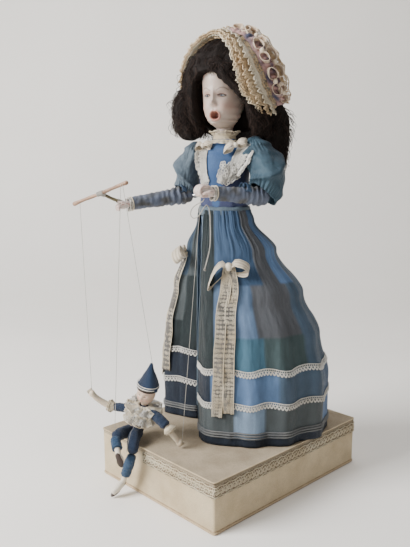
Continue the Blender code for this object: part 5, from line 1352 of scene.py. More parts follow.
    def bows(self) -> None:
        """Tie a ribbon bow on each shoulder."""
        for side, spot, loop in ((Side.LEFT, (27, -25, 472), 16), (Side.RIGHT, (-21, -22, 472), 13)):
            knot = doll(*spot)
            across = DOLL_ROTATION @ Vector((1, 0.25 * side.value, 0.35 if side is Side.LEFT else 0.1))
            up = DOLL_ROTATION @ Vector((0.1 * side.value, -0.25, 1))
            bow = Ribbon(f"shoulder_bow_{side.name.lower()}", RIBBON, 9 * MM, loop * MM, (0.86, 0.79, 0.66))
            settle(bow.tie(knot, across, up, (0.15, 0.15)), "base", "cream_lace")

    def jabot(self) -> None:
        """Gather lace flowers where the lapels meet, over the left side of the waist."""
        cells = Shape()
        spread = random.Random(SEED)
        for x, height in ((12, 446), (16, 443), (20, 440), (10, 438), (15, 436), (22, 434), (8, 432),
                          (13, 430), (18, 429), (24, 439), (12, 425), (17, 424), (9, 427), (21, 446)):
            spot = chest(x, height, 5.5 + spread.random() * 2.5)
            out = (chest(x, height, 9) - chest(x, height, 3)).normalized()
            side = out.cross(UP).normalized() * 0.5 * MM
            up = out.cross(side).normalized() * 0.5 * MM
            tilt = Vector([spread.uniform(-0.3, 0.3) for _ in range(3)]) * MM
            cells.sheet([[spot - side - up, spot + side - up + tilt],
                         [spot - side + up - tilt, spot + side + up]])
        self.lace.flowers("jabot_flowers", "base", cells, 9.5, 0.25, WHITE_LACE)


class Arm:
    """A forearm's line from its elbow to its wrist, with its ways along, across and up."""

    def __init__(self, elbow: Triple, wrist: Triple) -> None:
        """Lay the line between two points of the doll's frame, in millimetres."""
        self.back = Vector((elbow[0] - wrist[0], elbow[1] - wrist[1])).normalized()
        self.elbow, self.wrist = doll(*elbow), doll(*wrist)
        self.ahead = (self.wrist - self.elbow).normalized()
        self.side = self.ahead.cross(UP).normalized()
        self.up = self.side.cross(self.ahead)

    def at(self, along: float, across: float, high: float) -> Vector:
        """Give a point of the hand: on from the wrist, across the arm and up, in millimetres."""
        return self.wrist + (self.ahead * along + self.side * across + self.up * high) * MM


RIGHT_ARM = Arm((-53, -15, 405), (-100, -82, 395))
LEFT_ARM = Arm((60, -17, 405), (19, -72, 411))
# A height, half width, half depth, middle forward and middle across, in millimetres
BodyRing = tuple[float, float, float, float, float]
RIGHT_PUFF: tuple[BodyRing, ...] = (
    (474, 8, 8, -1, -44), (467, 12, 15, -1, -46), (455, 15.5, 19, -2, -49), (440, 16.5, 21, -4, -52.5),
    (428, 16.5, 20.5, -5, -54), (418, 15.5, 18, -7, -54.5), (409, 13.5, 15, -10, -54))
LEFT_PUFF: tuple[BodyRing, ...] = (
    (480, 9, 9, -3, 45), (473, 16, 17, -3, 50), (461, 21.5, 22, -4, 56), (447, 24, 24.5, -5, 61),
    (434, 25, 25, -6, 64), (422, 23, 23, -9, 64), (408, 16, 17, -13, 62))


@dataclass
class Sleeve:
    """One gathered puff and the tight sleeve on the forearm below it."""

    lace: Lace
    side: Side
    rings: tuple[BodyRing, ...]
    silk: Fabric
    arm: Arm
    fullness: float
    tilt: float
    sleeve: Colour = (0.150, 0.175, 0.240)
    worn: Colour = (0.105, 0.105, 0.105)

    def build(self) -> None:
        """Make the puff and the forearm's sleeve."""
        name = self.side.name.lower()
        top, low = self.rings[0][0], self.rings[-1][0]
        rows = []
        for step in range(64):
            share = step / 63
            height = top + 3 - (top + 3 - low) * share
            wide, deep, middle, across = read_rings(self.rings[::-1], height)
            close = math.sqrt(max(0.0, 1 - max(0.0, (height - top + 6) / 9.2) ** 2))
            pull = math.exp(-(share / 0.25) ** 2) + math.exp(-((1 - share) / 0.2) ** 2)
            row = []
            for k, way in enumerate(map(Vector, circle(110))):
                pleat = 1.0 * math.sin(k * 1.6 + 1.6 * math.sin(k * 0.25)) * pull
                grow = self.fullness * math.sin(math.pi * share) + pleat + self.drape(way, share)
                sag = self.tilt * share ** 1.5 * way.dot(self.arm.back)
                row.append(doll(across + (wide + grow) * close * way.x,
                                middle + (deep + grow) * close * way.y, height - sag))
            rows.append(row)
        puff_cloth = Shape()
        puff_cloth.sheet(rows, round_rows=True)
        piece = puff_cloth.piece(f"{name}_puff", self.silk, 0.8 * MM, inward=True)
        settle(piece, "base", "blue_silk", f"{name}_puff_sleeve")
        self.forearm(name)

    def drape(self, way: Vector, share: float) -> float:
        """Give the big soft folds that run slantwise over the puff, in millimetres."""
        swing = math.atan2(way.y, way.x) * self.side.value
        inside = smooth_through(((0.05, 0), (0.3, 1)), share) * smooth_through(((0.8, 1), (1.0, 0.3)), share)
        slant = share * 7.5 + swing * 1.3
        ridge = 1 - abs(math.sin(slant * 0.9 + 0.6 * math.sin(share * 6)))
        fold = 6.4 * ridge ** 2 - 3.2
        soft = 2.2 * noise.noise(Vector((way.x * 1.7, way.y * 1.7, share * 3.4 + self.side.value)))
        crease = 0.7 * noise.noise(Vector((way.x * 5, way.y * 5 + slant, share * 9)))
        return (fold + soft + crease) * inside

    def forearm(self, name: str) -> None:
        """Make the wrinkled sleeve of the forearm with its lace cuff."""
        elbow, ahead, side, up = self.arm.elbow, self.arm.ahead, self.arm.side, self.arm.up
        length = (self.arm.wrist - elbow).length
        rings = []
        for step in range(-6, 91):
            share = step / 90
            if step < 0:
                size = 12.0 * math.sqrt(max(0.0, 1 - (step / 6.5) ** 2))
                along = -11.5 * MM * (-step / 6.5)
            else:
                size = smooth_through(((0, 12.0), (0.16, 11.6), (0.45, 10.2), (0.85, 9.0), (1, 8.4)), share)
                along = length * share * 0.995
            ring = []
            bunch = math.exp(-((share - 0.12) / 0.2) ** 2)
            for way in map(Vector, circle(52)):
                slow = noise.noise(Vector((share * 5, way.x, way.y)))
                wrinkle = 0.8 * noise.noise(Vector((share * 9, way.x * 1.3, way.y * 1.3)))
                wrinkle += (1.1 * bunch + 0.25) * math.sin(share * 62 + 2.2 * way.x + 1.5 * way.y + 3 * slow)
                reach = (size + wrinkle) * MM
                ring.append(elbow + ahead * along + (side * way.x + up * way.y) * reach)
            rings.append(ring)
        cloth = Shape()
        cloth.solid(rings, lambda i, j: mix(self.sleeve, self.worn, smooth_through(((0.35, 0), (0.75, 1)),
                    0.5 + 0.5 * noise.noise(Vector((i * 0.055, math.sin(j * 0.12) * 1.4, self.side.value))))))
        body = f"{name}_arm"
        settle(cloth.piece(f"{name}_sleeve", PATCHED_SILK), body, "blue_silk", f"{name}_forearm")
        cuff = Shape()
        spot = elbow + ahead * length * 0.985
        cuff.tube([spot + (side * c + up * s) * 9.3 * MM for c, s in circle(32, 1)], 0.8 * MM, 6)
        settle(cuff.piece(f"{name}_cuff_cord", LACE_THREAD), body, "cream_lace")

        def frill(along: float) -> Stand:
            """Give the cuff frill's root, its way out and its way of waving."""
            angle = 2 * math.pi * along
            out = side * math.cos(angle) + up * math.sin(angle)
            return elbow + ahead * length * 0.97 + out * 7.6 * MM, (ahead + out * 0.25).normalized(), out

        self.lace.ruffle(f"{name}_cuff_lace", body, frill, 0.05, 5.5 * MM,
                         WHITE_LACE, 0.7 * MM, 5 * MM, 0.4, 2.4 * MM)
        knot = elbow + up * 12.5 * MM + ahead * (8 if self.side is Side.RIGHT else 27) * MM
        bow = Ribbon(f"{name}_elbow_bow", NAVY_SILK, 7 * MM, 12 * MM)
        settle(bow.tie(knot, side, up + ahead * 0.4, (0.5, 0.5)), body, "blue_silk")


class Hands:
    """The bisque hands: a fist that held the cord, and a hand closed round the bar's handle."""

    skin: Colour = (0.58, 0.49, 0.45)
    # Painted shade for the sides of the fingers
    shade: Colour = (0.52, 0.38, 0.33)

    def build(self) -> None:
        """Make both hands."""
        self.fist()
        self.grip()

    def finger(self, hand: Shape, points: Sequence[Vector], radius: float) -> None:
        """Add one finger along its joints, a little fuller at each, its two sides darkened as painted shade
        where the fingers meet.
        """
        route = smooth_route(points, 5)
        last = len(route) - 1
        bends = 2 * math.pi * (len(points) - 1)
        radii = [radius * (1 - 0.18 * index / last + 0.08 * math.cos(bends * index / last))
                 for index in range(len(route))]
        # Painted shade: each finger's two sides darken towards the shade colour
        hand.tube(route, radii, 10, 0.92, lambda i, j: mix(
            self.skin, self.shade, 0.08 + 0.8 * abs(math.cos(math.pi * j / 5)) ** 3), True)

    def fist(self) -> None:
        """Close the left hand: a padded palm, four curled fingers and the thumb over them."""
        at = LEFT_ARM.at
        hand = Shape()
        hand.tube([at(0.4, 0, 0), at(3, 0, 0.2), at(8, 0, 1.2), at(13, 0, 2.2), at(18, 0, 2.6)],
                  [6.0 * MM, 6.6 * MM, 8.8 * MM, 9.8 * MM, 8.6 * MM], 18, 0.86, self.skin, True)
        for number in range(4):
            across = -6.9 + 4.5 * number
            rise = 0.8 - 0.35 * (number - 1.2) ** 2
            self.finger(hand, [at(14, across, 7.5 + rise), at(21.5, across * 1.02, 6.8 + rise),
                               at(24.0, across, 0.8 + rise), at(20.0, across * 0.95, -4.4),
                               at(14.5, across * 0.9, -4.2)], (2.75 - 0.12 * number) * MM)
        self.finger(hand, [at(6, -8.0, 2), at(12, -10.5, 1.0), at(18, -9.0, -1.2), at(22.6, -4.6, -2.6)],
                    2.9 * MM)
        settle(hand.piece("fist", BISQUE, subdivide=1), "left_arm", "bisque", "left_hand")

    def grip(self) -> None:
        """Close the right hand's fingers under and over the bar's handle."""
        at = RIGHT_ARM.at
        hand = Shape()
        hand.tube([at(0.4, 0, 0), at(3, 0, 0), at(7, 0, 0), at(11, 0, -0.6)],
                  [5.0 * MM, 5.3 * MM, 6.8 * MM, 6.6 * MM], 16, 0.8, self.skin, True)
        for number in range(4):
            across = -5.0 + 3.3 * number
            self.finger(hand, [at(9, across, 1.2), at(14, across * 1.05, 1.4), at(18.2, across, -1.0),
                               at(18.4, across * 0.95, -5.0)], (2.15 - 0.1 * number) * MM)
        self.finger(hand, [at(4, -5.5, 0.6), at(9, -8.2, 2.2), at(13.5, -7.2, 4.2), at(17, -3.2, 5.0)],
                    2.3 * MM)
        settle(hand.piece("gripping_hand", BISQUE, subdivide=1), "right_arm", "bisque", "right_hand")


@dataclass
class Face:
    """The bisque head: open mouth, painted brows and lids, small glass eyes."""

    skin: Colour = (0.44, 0.35, 0.295)
    blush: Colour = (0.46, 0.24, 0.19)
    lip: Colour = (0.42, 0.19, 0.14)
    mouth: Colour = (0.11, 0.035, 0.026)
    brow: Colour = (0.045, 0.032, 0.028)
    line: Colour = (0.07, 0.045, 0.04)
    shadow: Colour = (0.25, 0.18, 0.15)
    eyes: Pair = (10.2, 534.5)
    lips: Pair = (1.6, 510.0)
    rings: tuple[Station, ...] = (
        (NECK, 11, 11, 11), (497, 13, 19, 11.5), (500, 15.5, 29, 13), (504, 19, 33, 17), (511, 22.6, 34, 23),
        (520, 25, 34, 29), (531, 26.4, 34, 34), (543, 27, 35.5, 36), (555, 27.5, 36, 37), (567, 27, 34.5, 36),
        (578, 25, 31, 33), (588, 20, 24, 26), (596, 12, 14, 16), (600, 0.5, 0.5, 0.5))

    def bump(self, x: float, z: float, at: Pair, wide: float, tall: float, rise: float) -> float:
        """Give one soft mound's height at a place on the face."""
        return rise * math.exp(-((x - at[0]) / wide) ** 2 - ((z - at[1]) / tall) ** 2)

    def relief(self, x: float, z: float) -> float:
        """Give how far the face stands out at a place, in millimetres."""
        out = self.bump(x, z, (0, 525), 3.4, 3.6, 5.2) + self.bump(x, z, (0, 533), 2.6, 8, 3.2)
        out += sum(self.bump(x, z, (side * 3.2, 523.6), 1.9, 2.0, 1.9) for side in (-1, 1))
        out += sum(self.bump(x, z, (side * self.eyes[0], self.eyes[1]), 5.2, 3.4, -2.6) for side in (-1, 1))
        out += sum(self.bump(x, z, (side * 10.5, 541.5), 7, 2.6, 1.1) for side in (-1, 1))
        out += sum(self.bump(x, z, (side * 14.5, 519), 7.5, 8, 3.0) for side in (-1, 1))
        out += self.bump(x, z, (1, 498), 7, 4.5, 2.2)
        mouth = self.gape(x, z)
        out += 1.3 * math.exp(-((mouth - 0.98) / 0.2) ** 2)
        out -= 8.5 * smooth_through(((0.3, 1), (0.9, 0)), mouth)
        out += self.bump(x, z, (0.5, 518.5), 1.4, 2.4, -0.6)
        return out

    def dye(self, x: float, z: float, front: float) -> Colour:
        """Paint the face: lips, mouth, cheeks, brows and lash lines."""
        if front < 0.25:
            return self.skin
        colour = self.skin
        for side in (-1, 1):
            colour = mix(colour, self.blush,
                         0.42 * math.exp(-((x - side * 15) / 8) ** 2 - ((z - 521) / 7) ** 2))
            lid = math.exp(-((x - side * self.eyes[0]) / 6) ** 2 - ((z - self.eyes[1] - 2.5) / 3) ** 2)
            colour = mix(colour, self.blush, 0.3 * lid)
            arch = 540.9 + 2.6 * math.cos((x - side * 11) / 5.0) - 0.9 * math.cos((x - side * 4) / 3)
            stroke = smooth_through(((0.1, 1), (1.25, 0)), abs(z - arch)) if 4.0 < side * x < 18.5 else 0
            hair = 0.75 + 0.25 * math.sin(x * 5.5 + z * 3)
            colour = mix(colour, self.brow, 0.85 * stroke * hair)
            socket = math.exp(-((x - side * self.eyes[0]) / 6.5) ** 2 - ((z - self.eyes[1]) / 3.2) ** 2)
            colour = mix(colour, self.shadow, 0.55 * socket)
        mouth = self.gape(x, z)
        edge = smooth_through(((0.55, 0), (0.75, 1), (1.02, 1), (1.22, 0)), mouth)
        colour = mix(colour, self.lip, 0.9 * edge)
        inner = mix(self.mouth, self.lip, smooth_through(((-6, 0.55), (-2, 0.0)), -(z - self.lips[1] + 6)))
        return mix(colour, inner, smooth_through(((0.62, 1), (0.86, 0)), mouth))

    def gape(self, x: float, z: float) -> float:
        """Give how far a place lies out from the middle of the open mouth, one at the lips."""
        across, up = x - self.lips[0], z - self.lips[1]
        wide = 7.0 - 0.12 * up
        bow = 0.9 * math.exp(-(across / 1.5) ** 2) if up > 0 else 0.0
        return math.hypot(across / wide, (up + bow) / (6.0 if up > 0 else 7.2))

    def surface(self, x: float, z: float) -> Vector:
        """Give the point of the face's front at a place, in the doll's frame in millimetres."""
        wide, deep, _ = read_rings(self.rings, z)
        reach = deep * math.sqrt(max(0.0, 1 - (x / wide) ** 2))
        return Vector((x, -2 - reach - self.relief(x, z), z))

    def build(self) -> None:
        """Make the head, the eyes and the lash lines."""
        head = Shape()
        rows, dyes = [], []
        foot, crown = 487, self.rings[-1][0]
        for z in (foot + (crown - foot) * step / 150 for step in range(151)):
            if z < NECK:
                wide, front, back, forward = 11.0, 11.0, 11.0, 0.0
            else:
                wide, front, back = read_rings(self.rings, z)
                forward = -2.0 * smooth_through(((NECK, 0), (NECK + 6, 1)), z)
            row, paint = [], []
            for k in range(160):
                share = k / 160
                angle = 2 * math.pi * share - 0.55 * math.sin(2 * math.pi * share)
                x = wide * math.sin(angle)
                facing = math.cos(angle)
                y = forward - (front if facing > 0 else back) * facing
                if facing > 0.15 and z > NECK:
                    y -= self.relief(x, z) * smooth_through(((0.15, 0), (0.4, 1)), facing)
                row.append(doll(x, y, z))
                paint.append(self.dye(x, z, facing))
            rows.append(row)
            dyes.append(paint)
        head.solid(rows, lambda i, j: dyes[i][j])
        settle(head.piece("bisque_head", BISQUE), "head", "bisque", "head")
        self.glass_eyes()

    def glass_eyes(self) -> None:
        """Set the narrow eyes between painted lids."""
        lids, eyes = Shape(), Shape()
        for side in (-1, 1):
            x, z = side * self.eyes[0], self.eyes[1]
            centre = self.surface(x, z) + Vector((0, 1.2, 0))
            eyes.ball(DOLL @ (centre * MM), (3.9 * MM, 3.2 * MM, 1.6 * MM), (0.30, 0.30, 0.30), 14,
                      DOLL_ROTATION)
            iris = centre + Vector((-0.3, -2.5, -0.2))
            eyes.ball(DOLL @ (iris * MM), (1.7 * MM, 0.9 * MM, 1.5 * MM),
                      (0.04, 0.045, 0.055), 12, DOLL_ROTATION)
            for rise, thick, dye in ((1.6, 0.7, self.line), (-1.2, 0.4, mix(self.skin, self.brow, 0.6))):
                route = []
                for step in range(9):
                    across = -5.2 + 10.4 * step / 8
                    lift = rise * (1 - (across / 5.6) ** 2) - 0.0375 * side * across
                    spot = self.surface(x + across, z + lift) + Vector((0, -0.25, 0))
                    route.append(DOLL @ (spot * MM))
                lids.tube(smooth_route(route, 2), thick * MM, 6, dye=dye)
        settle(eyes.piece("eyes", LEATHER, subdivide=1), "head", "bisque")
        settle(lids.piece("lash_lines", HAIR), "head", "dark_hair")


@dataclass
class Bonnet:
    """A wired bonnet of ecru crochet worn askew, with frills, a mauve satin band and ribbon loops."""

    lace: Lace
    tilt: float = math.radians(18)
    centre: Triple = (0, 16, 548)
    radii: Triple = (66, 64, 66)
    mauve: Colour = (0.46, 0.29, 0.26)
    dusk: Colour = (0.05, 0.055, 0.10)
    brim: tuple[Pair, ...] = (
        (-118, 82), (-60, 82), (-15, 85), (0, 96), (10, 108), (20, 116), (30, 126), (45, 134), (60, 139),
        (80, 140), (95, 135), (108, 124), (118, 112))

    def axes(self) -> tuple[Vector, Vector]:
        """Give the way out of the bonnet's back and the way to its top, in the doll's frame."""
        return (Vector((0, math.cos(self.tilt), math.sin(self.tilt))),
                Vector((0, -math.sin(self.tilt), math.cos(self.tilt))))

    def at(self, polar: float, turn: float, out: float) -> Vector:
        """Give a point of the bonnet.

        Args:
            polar: The angle from the middle of its back, in degrees.
            turn: The angle round from its top, in degrees, to the doll's left.
            out: How far out from the hair, in millimetres.

        Returns:
            The point in metres.
        """
        axis, up = self.axes()
        angle, about = math.radians(polar), math.radians(turn)
        way = axis * math.cos(angle) + (up * math.cos(about)
                                        + Vector((1, 0, 0)) * math.sin(about)) * math.sin(angle)
        spot = [middle + (radius + out) * part for middle, radius, part in zip(self.centre, self.radii, way)]
        return doll(*spot)

    def covers(self, spot: Vector, margin: float) -> bool:
        """Tell whether a point of the doll's frame, in millimetres, lies under the bonnet."""
        axis, up = self.axes()
        way = Vector([(part - middle) / radius
                      for part, middle, radius in zip(spot, self.centre, self.radii)])
        turn = math.degrees(math.atan2(way.x, way.dot(up)))
        polar = math.degrees(math.acos(max(-1.0, min(1.0, way.dot(axis) / way.length))))
        return abs(turn) < 116 and polar < smooth_through(self.brim, turn) - margin

    def near(self, turn: float) -> float:
        """Give how far a turn is on the bonnet's deep side, from nought to one."""
        return smooth_through(((-20, 0), (25, 1)), turn)

    def build(self) -> None:
        """Make the cap, the band, the frills, the loops and the crochet halo."""
        self.cap()
        self.satin()
        self.frills()
        self.halo()
        for number, (back, turn, loop, lean) in enumerate((
                (36, 16, 16, 0.5), (42, 34, 19, 0.4), (33, 50, 17, 0.3), (44, 66, 20, 0.1), (34, 82, 18, 0.0),
                (42, 96, 17, -0.3)), 1):
            polar = smooth_through(self.brim, turn) - back
            knot = self.at(polar, turn, 10)
            away = (self.at(polar, turn, 15) - knot).normalized()
            along = (self.at(polar + 9 * lean, turn + 5, 10) - knot).normalized()
            bow = Ribbon(f"bonnet_bow_{number}", RIBBON, 9.5 * MM, loop * MM,
                         (0.88, 0.74, 0.56), (0.72, 0.54, 0.40))
            settle(bow.tie(knot, along, away.cross(along), (0.2, -0.2)), "head", "cream_lace")

    def cap(self) -> None:
        """Make the net cap with crochet flowers all over it."""
        cap, cells = Shape(), Shape()
        rows = []
        for step in range(33):
            row = []
            for k in range(121):
                turn = -117 + 234 * k / 120
                polar = 4 + (smooth_through(self.brim, turn) - 4) * step / 32
                row.append(self.at(polar, turn, 4.0 + 1.2 * noise.noise(Vector((polar * 0.06, k * 0.07, 1)))))
            rows.append(row)
        cap.sheet(rows)
        settle(cap.piece("bonnet_cap", GROUND_NET, 0.6 * MM), "head", "cream_lace", "bonnet")
        cells.sheet([[spot + (spot - doll(*self.centre)).normalized() * 1.1 * MM for spot in row[::5]]
                     for row in rows[::2]])
        self.lace.flowers("bonnet_cap_flowers", "head", cells, 11, 0.2, CROCHET)

    def satin(self) -> None:
        """Gather the satin band behind the frills."""
        satin = Shape()
        rows = []
        for step in range(13):
            row = []
            for k in range(221):
                turn = 2 + 108 * k / 220
                near = self.near(turn)
                polar = smooth_through(self.brim, turn) - (8 + 19 * near) - (5 + 17 * near) * step / 12
                puff = math.sin(math.pi * step / 12)
                fold = 1.6 * math.sin(k * 0.5 + 1.5 * math.sin(step * 0.7)) + 1.8 * noise.noise(
                    Vector((k * 0.12, step * 0.5, 3)))
                row.append(self.at(polar, turn, 5.5 + (4.5 + fold) * puff))
            rows.append(row)
        satin.sheet(rows, dye=lambda i, j: mix(self.mauve, self.dusk, 0.3 + 1.6 * noise.noise(
            Vector((j * 0.05, i * 0.3, 8)))))
        settle(satin.piece("bonnet_satin", MAUVE_SATIN, 0.5 * MM), "head", "cream_lace")

    def frills(self) -> None:
        """Gather the rows of lace along the brim and behind the band."""
        for number, (back, out, width, sway, lift, way_on, finish) in enumerate((
                (1, 4.0, 7, 1.6, 0.3, 1.0, LACE_THREAD), (6, 4.6, 11, 2.2, 0.35, 1.0, CROCHET),
                (13, 5.0, 13, 2.6, 0.45, 1.0, CROCHET), (20, 5.4, 13, 2.6, 0.5, 1.0, LACE_THREAD),
                (46, 4.5, 13, 2.6, 0.9, -0.5, CROCHET), (52, 4.0, 12, 2.2, 0.5, -0.9, CROCHET)), 1):
            def frill(along: float, back: float = back, out: float = out, lift: float = lift,
                      way_on: float = way_on) -> Stand:
                """Give a frill's root, its way out and its way of waving."""
                turn = -114 + 230 * along
                near = self.near(turn)
                polar = smooth_through(self.brim, turn) - back * (0.3 + 0.7 * near)
                root = self.at(polar, turn, out)
                away = (self.at(polar, turn, out + 5) - root).normalized()
                ahead = (self.at(polar + 3, turn, out) - root).normalized()
                way = (ahead * way_on + away * lift).normalized()
                across = away.cross(way.cross(away)).normalized()
                return root, way, across if way_on > 0.9 else ahead + away * 0.4

            self.lace.ruffle(f"bonnet_frill_{number}", "head", frill, 0.3,
                             width * MM, finish, sway * MM, 8 * MM, 0.42, 3.2 * MM)

    def halo(self) -> None:
        """Stand the open crochet border up round the top and the far side."""
        rings, cells = Shape(), Shape()
        rows = []
        for level in range(4):
            row = []
            for step in range(64):
                turn = -116 + 150 * step / 63
                polar = smooth_through(self.brim, turn) + 1 + 1.5 * math.sin(step * 1.9 + level)
                tall = smooth_through(((-40, 3.3), (5, 2.0)), turn)
                row.append(self.at(polar, turn, 2 + tall * level + 1.0 * math.sin(step * 2.6) * level / 3))
            rows.append(row)
        cells.sheet(rows)
        loops = self.lace.motifs.net.lay(cells, self.lace.motifs.loop,
                                         4.8 * MM, 0.3, "bonnet_halo_loops", CROCHET)
        settle(loops, "head", "cream_lace")
        self.lace.cord(rings, rows[0], 0.8 * MM)
        self.lace.cord(rings, rows[2], 0.5 * MM)
        for index, spot in enumerate(rows[3]):
            away = (spot - rows[2][index]).normalized()
            ahead = (rows[3][min(63, index + 1)] - rows[3][max(0, index - 1)]).normalized()
            rings.ring(spot + away * 0.8 * MM, away.cross(ahead), 1.7 * MM, 0.45 * MM, 9)
        settle(rings.piece("bonnet_halo", CROCHET), "head", "cream_lace")


@dataclass
class Wig:
    """A full dark mohair wig: soft locks and curls with many thousand fine curled hairs."""

    bonnet: Bonnet
    root: Colour = (0.008, 0.005, 0.004)
    tip: Colour = (0.042, 0.026, 0.020)
    rings: tuple[BodyRing, ...] = (
        (455, 8, 5, 58, 14), (462, 23, 12, 59, 9), (471, 33, 18, 58, 7), (482, 40, 25, 52, 5),
        (492, 48, 35, 40, 4), (503, 60, 51, 20, 3), (516, 63, 57, 16, 1), (531, 65, 61, 16, 0),
        (548, 66, 63.5, 16, 0), (566, 63.5, 61.5, 16, 0), (583, 56, 54, 16, 0), (598, 43, 41.5, 16, 0),
        (608, 28, 27, 16, 0), (614, 8, 8, 16, 0))
    window: tuple[Pair, ...] = (
        (-23, 484), (-27, 500), (-27.5, 520), (-27, 545), (-25, 554), (-17, 559), (-6, 561),
        (5, 560), (17, 558), (29, 548), (38, 532), (42, 514), (43, 499), (38, 484))
    taper: tuple[float, ...] = (0.24 * MM, 0.32 * MM, 0.34 * MM, 0.32 * MM, 0.28 * MM, 0.2 * MM, 0.08 * MM)
    locks: tuple[tuple[Station, ...], ...] = (
        ((50, 24, 540, 14), (54, 33, 515, 19), (56, 46, 490, 17), (56, 54, 468, 14), (55, 57, 450, 12),
         (53, 58, 438, 6)),
        ((-46, 6, 552, 15), (-51, 4, 530, 23), (-53, 3, 509, 24), (-51, 2, 491, 19), (-48, 2, 479, 10)),
        ((-6, -33, 571, 6), (7, -35, 569, 9), (17, -36, 563, 10), (26, -34, 554, 9.5), (33, -29, 543, 8),
         (38, -23, 530, 5)),
        ((31, -8, 560, 14), (43, -8, 540, 14), (48, -4, 520, 14), (50, 3, 500, 14), (49, 13, 484, 11)))

    def inside(self, x: float, z: float) -> float:
        """Tell how far inside the face's window a place is: below nought it is outside."""
        best = 1e9
        crossings = 0
        count = len(self.window)
        for index in range(count):
            (x0, z0), (x1, z1) = self.window[index], self.window[(index + 1) % count]
            if (z0 > z) != (z1 > z) and x < (x1 - x0) * (z - z0) / (z1 - z0) + x0:
                crossings += 1
            span = Vector((x1 - x0, z1 - z0))
            share = max(0.0, min(1.0, Vector((x - x0, z - z0)).dot(span) / span.length_squared))
            best = min(best, (Vector((x0, z0)) + span * share - Vector((x, z))).length)
        return best if crossings % 2 else -best

    def build(self) -> None:
        """Make the core, the locks and the hairs."""
        rows = self.core()
        core = Shape()
        core.solid([[DOLL @ (spot * MM) for spot in row] for row in rows], self.root)
        skins = [(rows, Vector((0, 16, 535)))]
        for lock in self.locks:
            rings, middle = self.lock(lock)
            core.solid([[DOLL @ (spot * MM) for spot in ring] for ring in rings], self.root)
            skins.append((rings, middle))
        settle(core.piece("wig_core", HAIR), "head", "dark_hair", "wig")
        for number, (skin, middle) in enumerate(skins, 1):
            self.hairs(number, skin, middle, 3600 if number == 1 else 950)

    def core(self) -> Grid:
        """Give the rings of the main volume, hollowed for the face, in the doll's frame in millimetres."""
        rows = []
        foot, top = self.rings[0][0] + 1, self.rings[-1][0] - 1
        for step in range(111):
            z = foot + (top - foot) * step / 110
            wide, deep, middle, across = read_rings(self.rings, z)
            row = []
            for k, way in enumerate(map(Vector, circle(150))):
                lock = 1.6 * math.sin(k * 0.55 + 2.4 * math.sin(z * 0.045)) + 3.0 * noise.noise(
                    Vector((way.x * 2.2, way.y * 2.2, z * 0.03)))
                fine = 1.2 * noise.noise(Vector((way.x * 9, way.y * 9, z * 0.05)))
                x = across + (wide - 2 + lock + fine) * way.x
                y = middle + (deep - 2 + lock + fine) * way.y
                depth = self.inside(x, z) if y < 10 else -20
                if depth > -5:
                    y += (12 - y) * smooth_through(((-5, 0), (4, 1)), depth)
                row.append(Vector((x, y, z)))
            rows.append(row)
        return rows

    def lock(self, stations: Sequence[Station]) -> tuple[Grid, Vector]:
        """Give a lock's rings and its middle, in the doll's frame in millimetres."""
        line = smooth_route(stations, 7)
        last = len(line) - 1
        rings = []
        for index, (spot, (side, other)) in enumerate(zip(line, ways_across([spot.xyz for spot in line]))):
            close = math.sqrt(max(0.03, 1 - max(0.0, 1 - min(index, last - index) / 4) ** 2))
            ring = []
            for k, (c, s) in enumerate(circle(44)):
                way = side * c + other * s
                soft = noise.noise(way * 2 + Vector((0, 0, index * 0.2)))
                wave = 1.3 * math.sin(k * 0.9 + index * 0.25) + 2.0 * soft
                ring.append(spot.xyz + way * (spot.w * close + wave * close))
            rings.append(ring)
        return rings, sum((spot.xyz for spot in line), Vector()) / len(line)

    def hairs(self, number: int, rows: Grid, middle: Vector, count: int) -> None:
        """Comb curled strands over a volume.

        Args:
            number: The volume's number, for the name and the seed.
            rows: The volume's rings.
            middle: The point that the hairs stand away from.
            count: How many hairs to try.
        """
        spread = random.Random(SEED + number)
        strands = Shape()
        for _ in range(count):
            i, j = spread.randrange(2, len(rows) - 2), spread.randrange(len(rows[0]))
            start = rows[i][j]
            if self.bonnet.covers(start, 8) or (9 < start.y < 14 and abs(start.x) < 40
                                                and self.inside(start.x, start.z) > -3):
                continue
            away = start - middle
            out = (away - Vector((0, 0, away.z * 0.6))).normalized()
            fall = Vector((0, 0, -1))
            fall = (fall - out * fall.dot(out)).normalized()
            across = out.cross(fall)
            length = spread.uniform(9, 24)
            lift = spread.uniform(0.4, 3.0) + (spread.uniform(3, 9) if spread.random() < 0.06 else 0)
            phase, turns, sway = spread.uniform(0, 6), spread.uniform(0.7, 2.4), spread.uniform(0.6, 2.4)
            drift = spread.uniform(-0.7, 0.7)
            route = []
            for step in range(len(self.taper)):
                share = step / (len(self.taper) - 1)
                turn = phase + share * turns * 6.28
                curl = across * (sway * math.sin(turn) + drift * length * share)
                bob = out * (lift * math.sin(math.pi * min(1, share * 0.9)) + 0.5 * sway * math.cos(turn)
                             - (length * share) ** 2 / 260)
                route.append(start + fall * length * share * 0.9 + curl + bob)
            if any(self.inside(spot.x, spot.z) > 2.5 and spot.y < 0 or spot.z < 480 and spot.y < 36
                   or spot.z < 492 and spot.xy.length < 20 for spot in route):
                continue
            if self.bonnet.covers(route[3], 6) or self.bonnet.covers(route[-1], 6):
                continue
            tone = mix(self.root, self.tip, spread.random() ** 1.6)
            strands.tube([DOLL @ (spot * MM) for spot in route], self.taper, 3, dye=tone)
        settle(strands.piece(f"hair_strands_{number}", HAIR), "head", "dark_hair")


